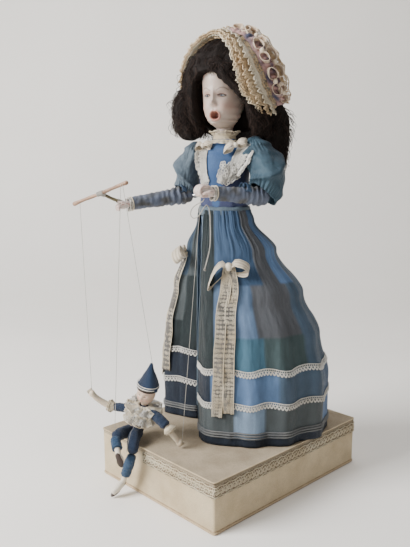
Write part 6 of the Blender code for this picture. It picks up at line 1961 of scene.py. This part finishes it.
@dataclass
class ControlBar:
    """The stick the right hand holds, its handle, bindings and the three strings below."""

    left: Triple = (-113, -184, 395)
    right: Triple = (-31, -160, 424)
    joint: Triple = (-71, -171, 409)
    string: float = 0.3 * MM

    def build(self) -> None:
        """Make the bar, its handle, the bindings and the strings."""
        left, right = mm(*self.left), mm(*self.right)
        joint = left + (right - left) * ((mm(*self.joint) - left).dot(right - left)
                                         / (right - left).length_squared)
        grip = RIGHT_ARM.wrist + RIGHT_ARM.ahead * 15.3 * MM + Vector((0, 0, 5.2 * MM))
        bar = Shape()
        bar.tube(*self.stick(left, right, 2.3, 3.0), 12, round_ends=True)
        settle(bar.piece("control_bar", BAR_WOOD), "right_arm", "bar_wood", "crossbar")
        handle = Shape()
        handle.tube(*self.stick(joint, grip + (grip - joint).normalized() * 5 * MM, 2.1, 2.3),
                    12, round_ends=True)
        settle(handle.piece("control_handle", HANDLE_WOOD), "right_arm", "bar_wood", "bar_handle")
        binding = Shape()
        along = (right - left).normalized()
        down = (grip - joint).normalized()
        for spot, way, radius, length in ((joint - along * 5 * MM, along, 2.75, 10),
                                          (joint + down * 2 * MM, down, 2.6, 5),
                                          (grip - down * 4 * MM, down, 2.7, 9)):
            self.wrap(binding, spot, way, radius * MM, length * MM)
        settle(binding.piece("bar_bindings", CORD_THREAD), "right_arm", "thread")
        outward = Vector((math.sin(FIGURE_TURN), -math.cos(FIGURE_TURN), 0))
        for name, top, foot in (
                ("wrist_string", left + along * 7 * MM - outward * 3 * MM, mm(-107, -170, 134.1)),
                ("knee_string", right - along * 7 * MM + outward * 3 * MM, mm(-46, -176, 94.3)),
                ("hat_string", right - along * 4 * MM + outward * 3 * MM, mm(-19, -132, 185.7))):
            path = [top.lerp(foot, step / 12) for step in range(13)]
            thread = Shape()
            thread.tube(path, self.string, 6)
            piece = thread.piece(f"{name}_thread", FINE_THREAD)
            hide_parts(name)
            tuple(top)
            tuple(foot)
            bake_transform(piece)
            tuple(top)
            [tuple(spot) for spot in path]

    def stick(self, first: Vector, last: Vector, radius: float,
              end: float) -> tuple[list[Vector], list[float]]:
        """Give a whittled stick's stations: its points and its uneven radii."""
        points, radii = [], []
        for step in range(31):
            share = step / 30
            spot = first.lerp(last, share)
            points.append(spot + Vector((0, 0, 0.25 * MM * math.sin(share * 9))))
            knob = math.exp(-(share / 0.05) ** 2) + math.exp(-((1 - share) / 0.05) ** 2)
            radii.append((radius * (1 + 0.06 * math.sin(share * 23)) + (end - radius) * min(1, knob)) * MM)
        return points, radii

    def wrap(self, shape: Shape, spot: Vector, way: Vector, radius: float, length: float) -> None:
        """Wind thread round a stick."""
        across = way.orthogonal().normalized()
        other = way.cross(across)
        turns = max(3, round(length / (1.1 * MM)))
        route = []
        for step in range(turns * 12 + 1):
            angle = 2 * math.pi * step / 12
            route.append(spot + way * length * step / (turns * 12)
                         + (across * math.cos(angle) + other * math.sin(angle)) * radius)
        shape.tube(route, 0.5 * MM, 5)


@dataclass
class HandCord:
    """The pale cord looped through the doll's left fist and the string down to the marionette's hand."""

    route: tuple[Triple, ...] = (
        (10.5, -83.4, 404.5), (8.5, -84.4, 401), (3.5, -85.5, 398.5), (-2, -86.5, 395), (-6, -87, 390),
        (-7, -87, 384), (-3.5, -87, 380), (1.5, -86, 381), (5.5, -84, 386), (8, -81, 392), (10.5, -77, 396),
        (11.5, -72, 392), (11.3, -68.5, 382), (10.5, -66, 370), (10, -64.5, 358),
        (9, -63, 346), (7, -62, 335), (4.5, -61.5, 326), (2, -61, 318), (0, -61, 311))
    radius: float = 0.7 * MM
    top: Triple = (38.94, -97.56, 405.9)
    foot: Triple = (17.9, -112.9, 77.5)
    string: float = 0.3 * MM
    rise: float = 0.924

    def build(self) -> None:
        """Make the cord with its knot, and the string."""
        count = (len(self.route) - 1) * 4
        path = [doll(*read_line(self.route, step / 4, False)) for step in range(count + 1)]
        cord = Shape()
        cord.tube(path, self.radius, 8)
        piece = settle(cord.piece("fist_cord", CORD_THREAD), "left_arm", "thread", "hand_cord")
        knot = Shape()
        end = path[-1]
        for turn in range(3):
            knot.ring(end + Vector((0, 0, (0.4 - turn) * MM)), Vector((0.3 * turn - 0.3, 0.2, 1)),
                      1.1 * MM, 0.7 * MM, 12)
        tie = settle(knot.piece("fist_cord_knot", CORD_THREAD), "left_arm", "thread")
        length = sum((b - a).length for a, b in zip(path, path[1:]))
        tuple(path[0])
        [tuple(spot) for spot in path]
        top, foot = mm(*self.top), mm(*self.foot)
        line = [top.lerp(foot, step / 12) for step in range(13)]
        thread = Shape()
        thread.tube(line, self.string, 6)
        piece = settle(thread.piece("left_hand_thread", FINE_THREAD), "left_string",
                       "thread", "left_hand_string")
        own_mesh(piece)
        [tuple(spot) for spot in line]


@dataclass
class Marionette:
    """The small seated marionette: a navy suit, a lace ruff, bisque head and hands, a felt cone hat."""

    lace: Lace
    skin: Colour = (0.52, 0.38, 0.29)
    aged: Colour = (0.58, 0.49, 0.37)
    sole: Colour = (0.04, 0.025, 0.018)
    felt: Colour = (0.020, 0.032, 0.060)
    suit: Colour = (0.022, 0.036, 0.068)
    belt: Colour = (0.080, 0.055, 0.100)
    face_way: Triple = (0.31, -0.92, -0.22)
    neck: Triple = (-36, -133.4, 124.3)
    lean: Triple = (8, 1, 30)

    def build(self) -> None:
        """Make every piece of the marionette."""
        self.trunk()
        self.arms()
        self.legs()
        self.head()
        self.hat()
        self.ruff()

    def sleeve(self, shape: Shape, stations: Sequence[Station], wrinkle: float,
               seed: float, dye: Colour) -> None:
        """Skin a limb of cloth through stations of (x, y, z, radius) in millimetres, with domed ends."""
        line = smooth_route(stations, 10)
        rings = []
        last = len(line) - 1
        for index, (spot, (side, other)) in enumerate(zip(line, ways_across([spot.xyz for spot in line]))):
            close = min(1.0, math.sqrt(max(0.02, 1 - max(0.0, 1 - index / 2.5) ** 2)),
                        math.sqrt(max(0.02, 1 - max(0.0, 1 - (last - index) / 2.5) ** 2)))
            ring = []
            for c, s in circle(30):
                crease = wrinkle * noise.noise(Vector((index * 0.55, c * 1.6 + seed, s * 1.6)))
                crease += 0.5 * wrinkle * noise.noise(Vector((index * 0.2, c * 4, s * 4 + seed)))
                way = side * c + other * s
                ring.append((spot.xyz + way * (spot.w * close + crease)) * MM)
            rings.append(ring)
        shape.solid(rings, dye)

    def trunk(self) -> None:
        """Make the jacket, the waist band and the thighs, with a loose thread on the lap."""
        cloth = Shape()
        levels = ((-57, -132, 79.8, 8.9, 11.5), (-56.5, -132, 85, 9.2, 11.4), (-55, -132, 90, 8.7, 10.6),
                  (-52, -132.6, 95, 9.0, 11.4), (-50, -133, 98, 9.5, 12.5), (-43, -133, 110, 9.8, 15),
                  (-39.5, -133, 118, 7.5, 11), (-37.5, -133, 122.5, 4.5, 5))
        rings = []
        line = [[read_line([level[part:part + 1] + (0.0,) for level in levels], step / 7, False)[0]
                 for part in range(5)]
                for step in range((len(levels) - 1) * 7 + 1)]
        for x, y, z, deep, wide in line:
            ring = []
            for k, (c, s) in enumerate(circle(56)):
                pull = 0.35 * math.sin(k * 1.7) * math.exp(-((z - 91) / 5) ** 2)
                crease = 0.7 * noise.noise(Vector((c * 2, s * 2, z * 0.14))) + pull
                ring.append(mm(x + (wide + crease) * c, y + 0.08 * wide * c + (deep + crease) * s, z))
            rings.append(ring)
        cloth.solid(rings, lambda i, j: self.belt if 88 < line[min(i, len(line) - 1)][2] < 94.5
                    else self.suit)
        self.sleeve(cloth, ((-61, -136, 80.2, 8.4), (-54, -157, 84, 8.4), (-46, -176, 87, 7.3)),
                    1.0, 3, self.suit)
        self.sleeve(cloth, ((-50, -134, 80.2, 8.6), (-36, -152, 80, 8.4), (-21, -166, 67.5, 7.1)),
                    1.0, 8, self.suit)
        settle(cloth.piece("puppet_suit", PUPPET_CLOTH), "marionette", "navy_cotton", "puppet_body")
        thread = Shape()
        knots = ((-45, -142.5, 95), (-42, -149, 91), (-35, -158, 90.5), (-28, -168, 80), (-25, -173.5, 70))
        thread.tube(smooth_route([mm(*spot) for spot in knots], 6), 0.28 * MM, 5)
        settle(thread.piece("loose_thread", FINE_THREAD), "marionette", "thread")

    def cuff(self, name: str, spot: Triple, ahead: Triple, radius: float, width: float, body: str) -> None:
        """Gather a lace cuff round a limb."""
        way = Vector(ahead).normalized()
        across = way.orthogonal().normalized()
        other = way.cross(across)
        for number, (flare, reach) in enumerate(((0.2, width), (0.55, width * 0.75)), 1):
            def at(along: float, flare: float = flare) -> Stand:
                """Give the frill's root, its way out and its way of waving."""
                angle = 2 * math.pi * along
                out = across * math.cos(angle) + other * math.sin(angle)
                return mm(*spot) + out * radius * MM, (way + out * flare).normalized(), out

            self.lace.ruffle(f"{name}_{number}", body, at, 2 * math.pi * radius * MM, reach * MM, LACE_THREAD,
                             1.0 * MM, 4.2 * MM, 0.35, 2.2 * MM)

    def arms(self) -> None:
        """Make both sleeves, lace cuffs and moulded hands."""
        for side, body, node, sleeve, arm in (
                ("right", "marionette", "puppet_right_arm",
                 ((-60, -134, 113.5, 6.0), (-70, -138.5, 111, 6.0), (-80, -143.5, 110, 6.0),
                  (-86, -147, 110, 5.8)),
                 ((-82, -145, 110, 4.8), (-93, -151, 111, 5.4), (-103, -163, 121, 4.8),
                  (-107, -170, 130, 4.6))),
                ("left", "marionette_left_arm", "puppet_left_arm",
                 ((-27, -132, 114.5, 5.0), (-16, -131, 113, 6.4), (-6, -130, 109, 7.0),
                  (5, -127.5, 102, 6.6)),
                 ((3, -127.5, 103, 4.4), (8, -124, 95, 4.8), (12, -120, 87, 4.4), (15, -115, 79.5, 4.0)))):
            cloth = Shape()
            self.sleeve(cloth, sleeve, 0.8, 11 if side == "left" else 17, self.suit)
            settle(cloth.piece(f"puppet_{side}_sleeve", PUPPET_CLOTH), body, "navy_cotton", node)
            moulded = Shape()
            line = smooth_route([station[:3] for station in arm], 8)
            radii = [read_line([(station[3], 0.0) for station in arm], step / 8, False)[0] * MM
                     for step in range(len(line))]
            moulded.tube([spot * MM for spot in line], radii, 16, 0.85, self.aged, True)
            hand, ahead = line[-1] * MM, (line[-1] - line[-3]).normalized()
            moulded.ball(hand, (5.4 * MM, 4.4 * MM, 5.6 * MM), self.aged, 12)
            spread = ahead.orthogonal().normalized()
            for number in range(4):
                root = hand + ahead * 2.5 * MM + spread * (number - 1.5) * 2.1 * MM
                curl = ahead.cross(spread)
                moulded.tube([root, root + ahead * 2.2 * MM, root + ahead * 3.4 * MM + curl * 1.0 * MM,
                              root + ahead * 3.2 * MM + curl * 2.2 * MM], 1.2 * MM, 8, 1.0,
                             mix(self.aged, self.sole, 0.35), True)
            settle(moulded.piece(f"puppet_{side}_hand", BISQUE, subdivide=1), body, "bisque")
            ahead = Vector(arm[1][:3]) - Vector(arm[0][:3])
            self.cuff(f"puppet_{side}_cuff", sleeve[-1][:3], tuple(ahead), 5.0, 8.5, body)

    def legs(self) -> None:
        """Make the trousers' lower halves, the stockings and the shoes."""
        for side, knee, radius, ankle, toe in (
                ("right", (-46, -176, 87), 7.0, (-22, -188, 71), (-17, -187, 61)),
                ("left", (-21, -166, 67), 6.8, (-43, -167, 19), (-44, -184, 8.5))):
            top, low, point = Vector(knee), Vector(ankle), Vector(toe)
            ahead = (low - top).normalized()
            start = top + ahead * 2.0
            trouser = Shape()
            share = 0.74 if side == "left" else 0.62
            flare = 7.0 if side == "right" else 6.2
            stations = [(*start, radius - 0.6), (*start.lerp(low, 0.3), 6.8), (*start.lerp(low, 0.55), 6.8),
                        (*start.lerp(low, share), flare)]
            self.sleeve(trouser, stations, 0.9, 23 if side == "left" else 29, (0.032, 0.070, 0.130))
            settle(trouser.piece(f"puppet_{side}_trouser", PUPPET_CLOTH), f"{side}_shin", "blue_cotton",
                   f"puppet_{side}_leg")
            foot = Shape()
            self.sleeve(foot, [(*start.lerp(low, share - 0.1), 4.0), (*start.lerp(low, 0.9), 3.6),
                               (*low, 3.9)], 0.3, 2, (0.60, 0.54, 0.44))
            walk = (point - low).normalized()
            heel = low - walk * 1.5
            self.sleeve(foot, [(*heel, 4.0), (*heel.lerp(point, 0.4), 4.9), (*heel.lerp(point, 0.75), 4.4),
                               (*point, 3.2)], 0.15, 4, (0.66, 0.61, 0.52))
            settle(foot.piece(f"puppet_{side}_foot", LEATHER), f"{side}_shin", "blue_cotton")
            under = (ahead - walk * ahead.dot(walk)).normalized()
            self.lay_sole(side, heel, point, walk, under)

    def lay_sole(self, side: str, heel: Vector, point: Vector, walk: Vector, under: Vector) -> None:
        """Lay one shoe's sole, from points in millimetres and its ways ahead and down."""
        across = walk.cross(under)
        length = (point - heel).length / 2 + 3.4
        rings = []
        for level, grow in ((3.4, 0.9), (3.9, 1.0), (5.0, 1.0), (5.3, 0.92)):
            ring = []
            for reach in map(Vector, circle(28)):
                pinch = 1 - 0.22 * math.exp(-((reach.x + 0.25) / 0.35) ** 2)
                ring.append((heel.lerp(point, 0.5) + walk * length * reach.x * grow
                             + across * 4.4 * reach.y * pinch * grow + under * level) * MM)
            rings.append(ring)
        sole = Shape()
        sole.solid(rings, self.sole)
        settle(sole.piece(f"puppet_{side}_sole", LEATHER), f"{side}_shin", "blue_cotton")

    def axes(self) -> tuple[Vector, Vector, Vector, Vector]:
        """Give the head's middle and its ways up, ahead and to its left."""
        up = Vector(self.lean).normalized()
        ahead = Vector(self.face_way)
        ahead = (ahead - up * ahead.dot(up)).normalized()
        return Vector(self.neck) + up * 15.5, up, ahead, up.cross(ahead)

    def head(self) -> None:
        """Model the small painted head."""
        middle, up, ahead, left = self.axes()
        head = Shape()
        rows, dyes = [], []
        keys = ((-15.5, 4.2), (-12.5, 5.4), (-10, 8.0), (-6, 11.0), (0, 12.6),
                (6, 12.5), (12, 10.5), (13.4, 8.5))
        for step in range(60):
            v = -15.5 + 28.9 * step / 59
            radius = smooth_through(keys, v)
            row, paint = [], []
            for k in range(72):
                angle = 2 * math.pi * k / 72
                u, facing = math.sin(angle) * radius, math.cos(angle)
                out = radius
                colour = self.skin
                if facing > 0.2:
                    out += 2.6 * math.exp(-(u / 1.7) ** 2 - ((v + 1.2) / 2.4) ** 2)
                    out += 0.8 * math.exp(-(u / 2.6) ** 2 - ((v + 5.4) / 1.3) ** 2)
                    out += 0.9 * math.exp(-(u / 3.5) ** 2 - ((v + 9.0) / 1.8) ** 2)
                    for side in (-1, 1):
                        out -= 1.2 * math.exp(-((u - side * 4.3) / 2.3) ** 2 - ((v - 1.8) / 1.6) ** 2)
                        out += 0.8 * math.exp(-((u - side * 5.5) / 3.0) ** 2 - ((v + 3.2) / 2.6) ** 2)
                        blush = math.exp(-((u - side * 6) / 3.2) ** 2 - ((v + 3) / 2.6) ** 2)
                        colour = mix(colour, (0.55, 0.25, 0.18), 0.4 * blush)
                        eye = math.hypot((u - side * 4.3) / 1.7, (v - 1.6) / 0.75)
                        colour = mix(colour, (0.10, 0.06, 0.05), smooth_through(((0.7, 0.85), (1.3, 0)), eye))
                        brow = math.hypot((u - side * 4.6) / 2.6, (v - 4.6 - 0.03 * side * u) / 0.5)
                        colour = mix(colour, (0.22, 0.13, 0.09), smooth_through(((0.6, 0.7), (1.3, 0)), brow))
                    lips = math.hypot(u / 2.2, (v + 5.5) / 0.85)
                    colour = mix(colour, (0.42, 0.12, 0.09), smooth_through(((0.6, 0.85), (1.3, 0)), lips))
                row.append((middle + up * v + (ahead * facing + left * math.sin(angle)) * out) * MM)
                paint.append(colour)
            rows.append(row)
            dyes.append(paint)
        head.solid(rows, lambda i, j: dyes[i][j])
        settle(head.piece("puppet_bisque_head", BISQUE), "marionette", "bisque", "puppet_head")

    def hat(self) -> None:
        """Fold the felt cone hat with its band, piping and pompon."""
        middle, up, ahead, left = self.axes()
        tip = Vector((-19, -132, 185))
        base = middle + up * 11.5
        rings = []
        for share, radius in ((0, 14.0), (0.03, 14.7), (0.1, 14.9), (0.16, 13.9),
                              (0.3, 12.0), (0.5, 8.8), (0.7, 5.6), (0.86, 3.2), (0.95, 2.2), (1, 1.5)):
            spot = base.lerp(tip, share) + left * 1.0 * math.sin(share * 5)
            ring = []
            for c, s in circle(48):
                dent = 0.9 * noise.noise(Vector((c * 1.5, s * 1.5, share * 5)))
                ring.append((spot + (ahead * c + left * s) * (radius + dent)) * MM)
            rings.append(ring)
        felt = Shape()
        felt.solid(rings, lambda i, j: mix(self.felt, (0.035, 0.065, 0.13), 0.3 + 0.3 * math.sin(j * 0.4)))
        settle(felt.piece("puppet_felt_hat", PUPPET_CLOTH), "marionette", "navy_cotton", "puppet_hat")
        trim = Shape()
        for lift, radius, thick in ((2.2, 15.1, 0.75), (5.2, 14.9, 0.6)):
            trim.tube([(base + up * lift + (ahead * c + left * s) * radius) * MM for c, s in circle(48, 1)],
                      thick * MM, 6)
        settle(trim.piece("puppet_hat_piping", WHITE_LACE), "marionette", "cream_lace")
        band = Shape()
        rows = [[(base + up * lift + (ahead * c + left * s) * radius) * MM for c, s in circle(48)]
                for lift, radius in ((-2.6, 13.4), (-1.2, 13.9), (0.6, 14.3), (1.8, 14.9))]
        band.sheet(rows, round_rows=True, dye=lambda i, j: self.sole)
        band.ball((base + ahead * 4 + left * 14.5 + up * 2) * MM, (2.6 * MM, 2.6 * MM, 2.4 * MM),
                  self.felt, 12)
        settle(band.piece("puppet_hat_band", PUPPET_CLOTH, 0.6 * MM), "marionette", "navy_cotton")

    def ruff(self) -> None:
        """Gather the two-tier lace ruff round the neck, with flowers on it."""
        _, up, ahead, left = self.axes()
        neck = Vector(self.neck)
        cells = Shape()
        for number, (drop, radius, width, fall, wave) in enumerate((
                (-0.5, 7.0, 18, 0.2, 9), (-3.0, 8.5, 23, 0.95, 10)), 1):
            def at(along: float, drop: float = drop, radius: float = radius, fall: float = fall) -> Stand:
                """Give the frill's root, its way out and its way of waving."""
                angle = 2 * math.pi * along
                out = ahead * math.cos(angle) + left * math.sin(angle)
                low = fall * (1.25 if math.cos(angle) > 0 else 0.8)
                way = (out - up * low).normalized()
                return (neck + out * radius + up * drop) * MM, way, (up + out * low).normalized()

            self.lace.ruffle(f"puppet_ruff_{number}", "marionette", at,
                             0.075, width * MM, LACE_THREAD, 3.6 * MM, wave * MM, 0.5, 3.0 * MM)
            rows = []
            for share in (0.35, 0.6, 0.85, 1.0):
                row = []
                for step in range(25):
                    root, way, lift = at(step / 24)
                    row.append(root + way * width * MM * share
                               + lift * 2.6 * MM * math.sin(step * 2.1 + share * 5))
                rows.append(row)
            cells.sheet(rows)
        self.lace.flowers("puppet_ruff_flowers", "marionette", cells, 6.5, 0.3, WHITE_LACE)


class Movement:
    """The finishes of the clockwork, the boards and the moulded card, whose shapes come from the model."""

    looks = {"brass": BRASS, "steel": STEEL, "pale_wood": PALE_WOOD, "moulded_card": CARD,
             "bar_wood": BAR_WOOD, "thread": CORD_THREAD}

    def dress(self, nodes: Sequence[str]) -> None:
        """Give every node whose material is known its worked finish.

        Args:
            nodes: The names of the model's nodes.
        """
        for node in nodes:
            thing = bpy.data.objects.get(node)
            if thing is None:
                continue
            for slot in thing.material_slots:
                look = self.looks.get(slot.material.name.split(".")[0]) if slot.material else None
                if look:
                    slot.material = look.material()
                    LOG.info("%s: %s", node, look.name)


@dataclass
class Studio:
    """The camera where the photographer stood, a pale floor that sweeps up behind, and soft lights."""

    eye: Triple = (0.6385, -0.6629, 0.4509)
    azimuth: float = 46.31
    elevation: float = 9.71
    lens: float = 43.23

    def build(self) -> None:
        """Set the stage."""
        scene = bpy.context.scene
        data = bpy.data.cameras.new("photo_camera")
        data.lens = self.lens
        data.sensor_fit = "VERTICAL"
        data.sensor_height = 36
        camera = bpy.data.objects.new("photo_camera", data)
        azimuth, elevation = math.radians(self.azimuth), math.radians(self.elevation)
        back = Vector((math.cos(elevation) * math.sin(azimuth), -math.cos(elevation) * math.cos(azimuth),
                       math.sin(elevation)))
        camera.location = self.eye
        camera.rotation_euler = back.to_track_quat("Z", "Y").to_euler()
        scene.collection.objects.link(camera)
        scene.camera = camera
        self.lights()
        self.floor(back)

    def floor(self, back: Vector) -> None:
        """Make the floor with its sweep behind the object."""
        ahead = Vector((-back.x, -back.y, 0)).normalized()
        side = Vector((-ahead.y, ahead.x, 0))
        profile = [(-1.6, 0), (0.9, 0), (1.2, 0.02), (1.45, 0.12), (1.62, 0.32), (1.7, 0.62), (1.7, 2.4)]
        sweep = Shape()
        sweep.sheet([[ahead * reach + side * wide + Vector((0, 0, height - 0.0005))
                      for wide in (-3, -1.5, 0, 1.5, 3)]
                     for reach, height in profile])
        paint = Paint("paper_sweep")
        tone = paint.spread(paint.grain(3, 3), 0.3, 0.7)
        paper = paint.done(paint.blend(tone, (0.84, 0.81, 0.765), (0.87, 0.84, 0.795)), 0.9)
        stage = sweep.piece("paper_sweep", COVER_CLOTH, subdivide=2)
        stage.data.materials[0] = paper

    def lights(self) -> None:
        """Hang one large soft light on the left, a fill on the right and one overhead."""
        for name, place, size, power, aim in (
                ("key_light", (-0.7, -1.8, 1.3), 1.1, 118, (0, 0, 0.3)),
                ("fill_light", (1.9, -0.6, 0.9), 1.6, 5, (0, 0, 0.3)),
                ("top_light", (0.1, 0.2, 2.0), 1.4, 16, (0, 0, 0.2))):
            data = bpy.data.lights.new(name, "AREA")
            data.size = size
            data.energy = power
            lamp = bpy.data.objects.new(name, data)
            lamp.location = place
            lamp.rotation_euler = (Vector(place) - Vector(aim)).to_track_quat("Z", "Y").to_euler()
            bpy.context.scene.collection.objects.link(lamp)
        world = bpy.data.worlds.new("studio_world")
        world.use_nodes = True
        world.node_tree.nodes["Background"].inputs[0].default_value = (0.90, 0.88, 0.86, 1)
        world.node_tree.nodes["Background"].inputs[1].default_value = 0.29
        bpy.context.scene.world = world


def main() -> None:
    """Build every sub-assembly in order."""
    logging.basicConfig(level=logging.INFO, format="%(message)s")
    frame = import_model()
    random.seed(SEED)
    Studio().build()
    motifs = Motifs()
    lace = Lace(motifs)
    Base().dress()
    Gown(lace).build()
    Bodice(lace).build()
    Sleeve(lace, Side.RIGHT, RIGHT_PUFF, SLATE_SILK, RIGHT_ARM, 1.0, 9.0).build()
    Sleeve(lace, Side.LEFT, LEFT_PUFF, TEAL_SILK, LEFT_ARM, 1.5, 15.0).build()
    Hands().build()
    Face().build()
    bonnet = Bonnet(lace)
    bonnet.build()
    Wig(bonnet).build()
    ControlBar().build()
    HandCord().build()
    Marionette(lace).build()
    Movement().dress(list(frame["nodes"]))


if __name__ == "__main__":
    main()
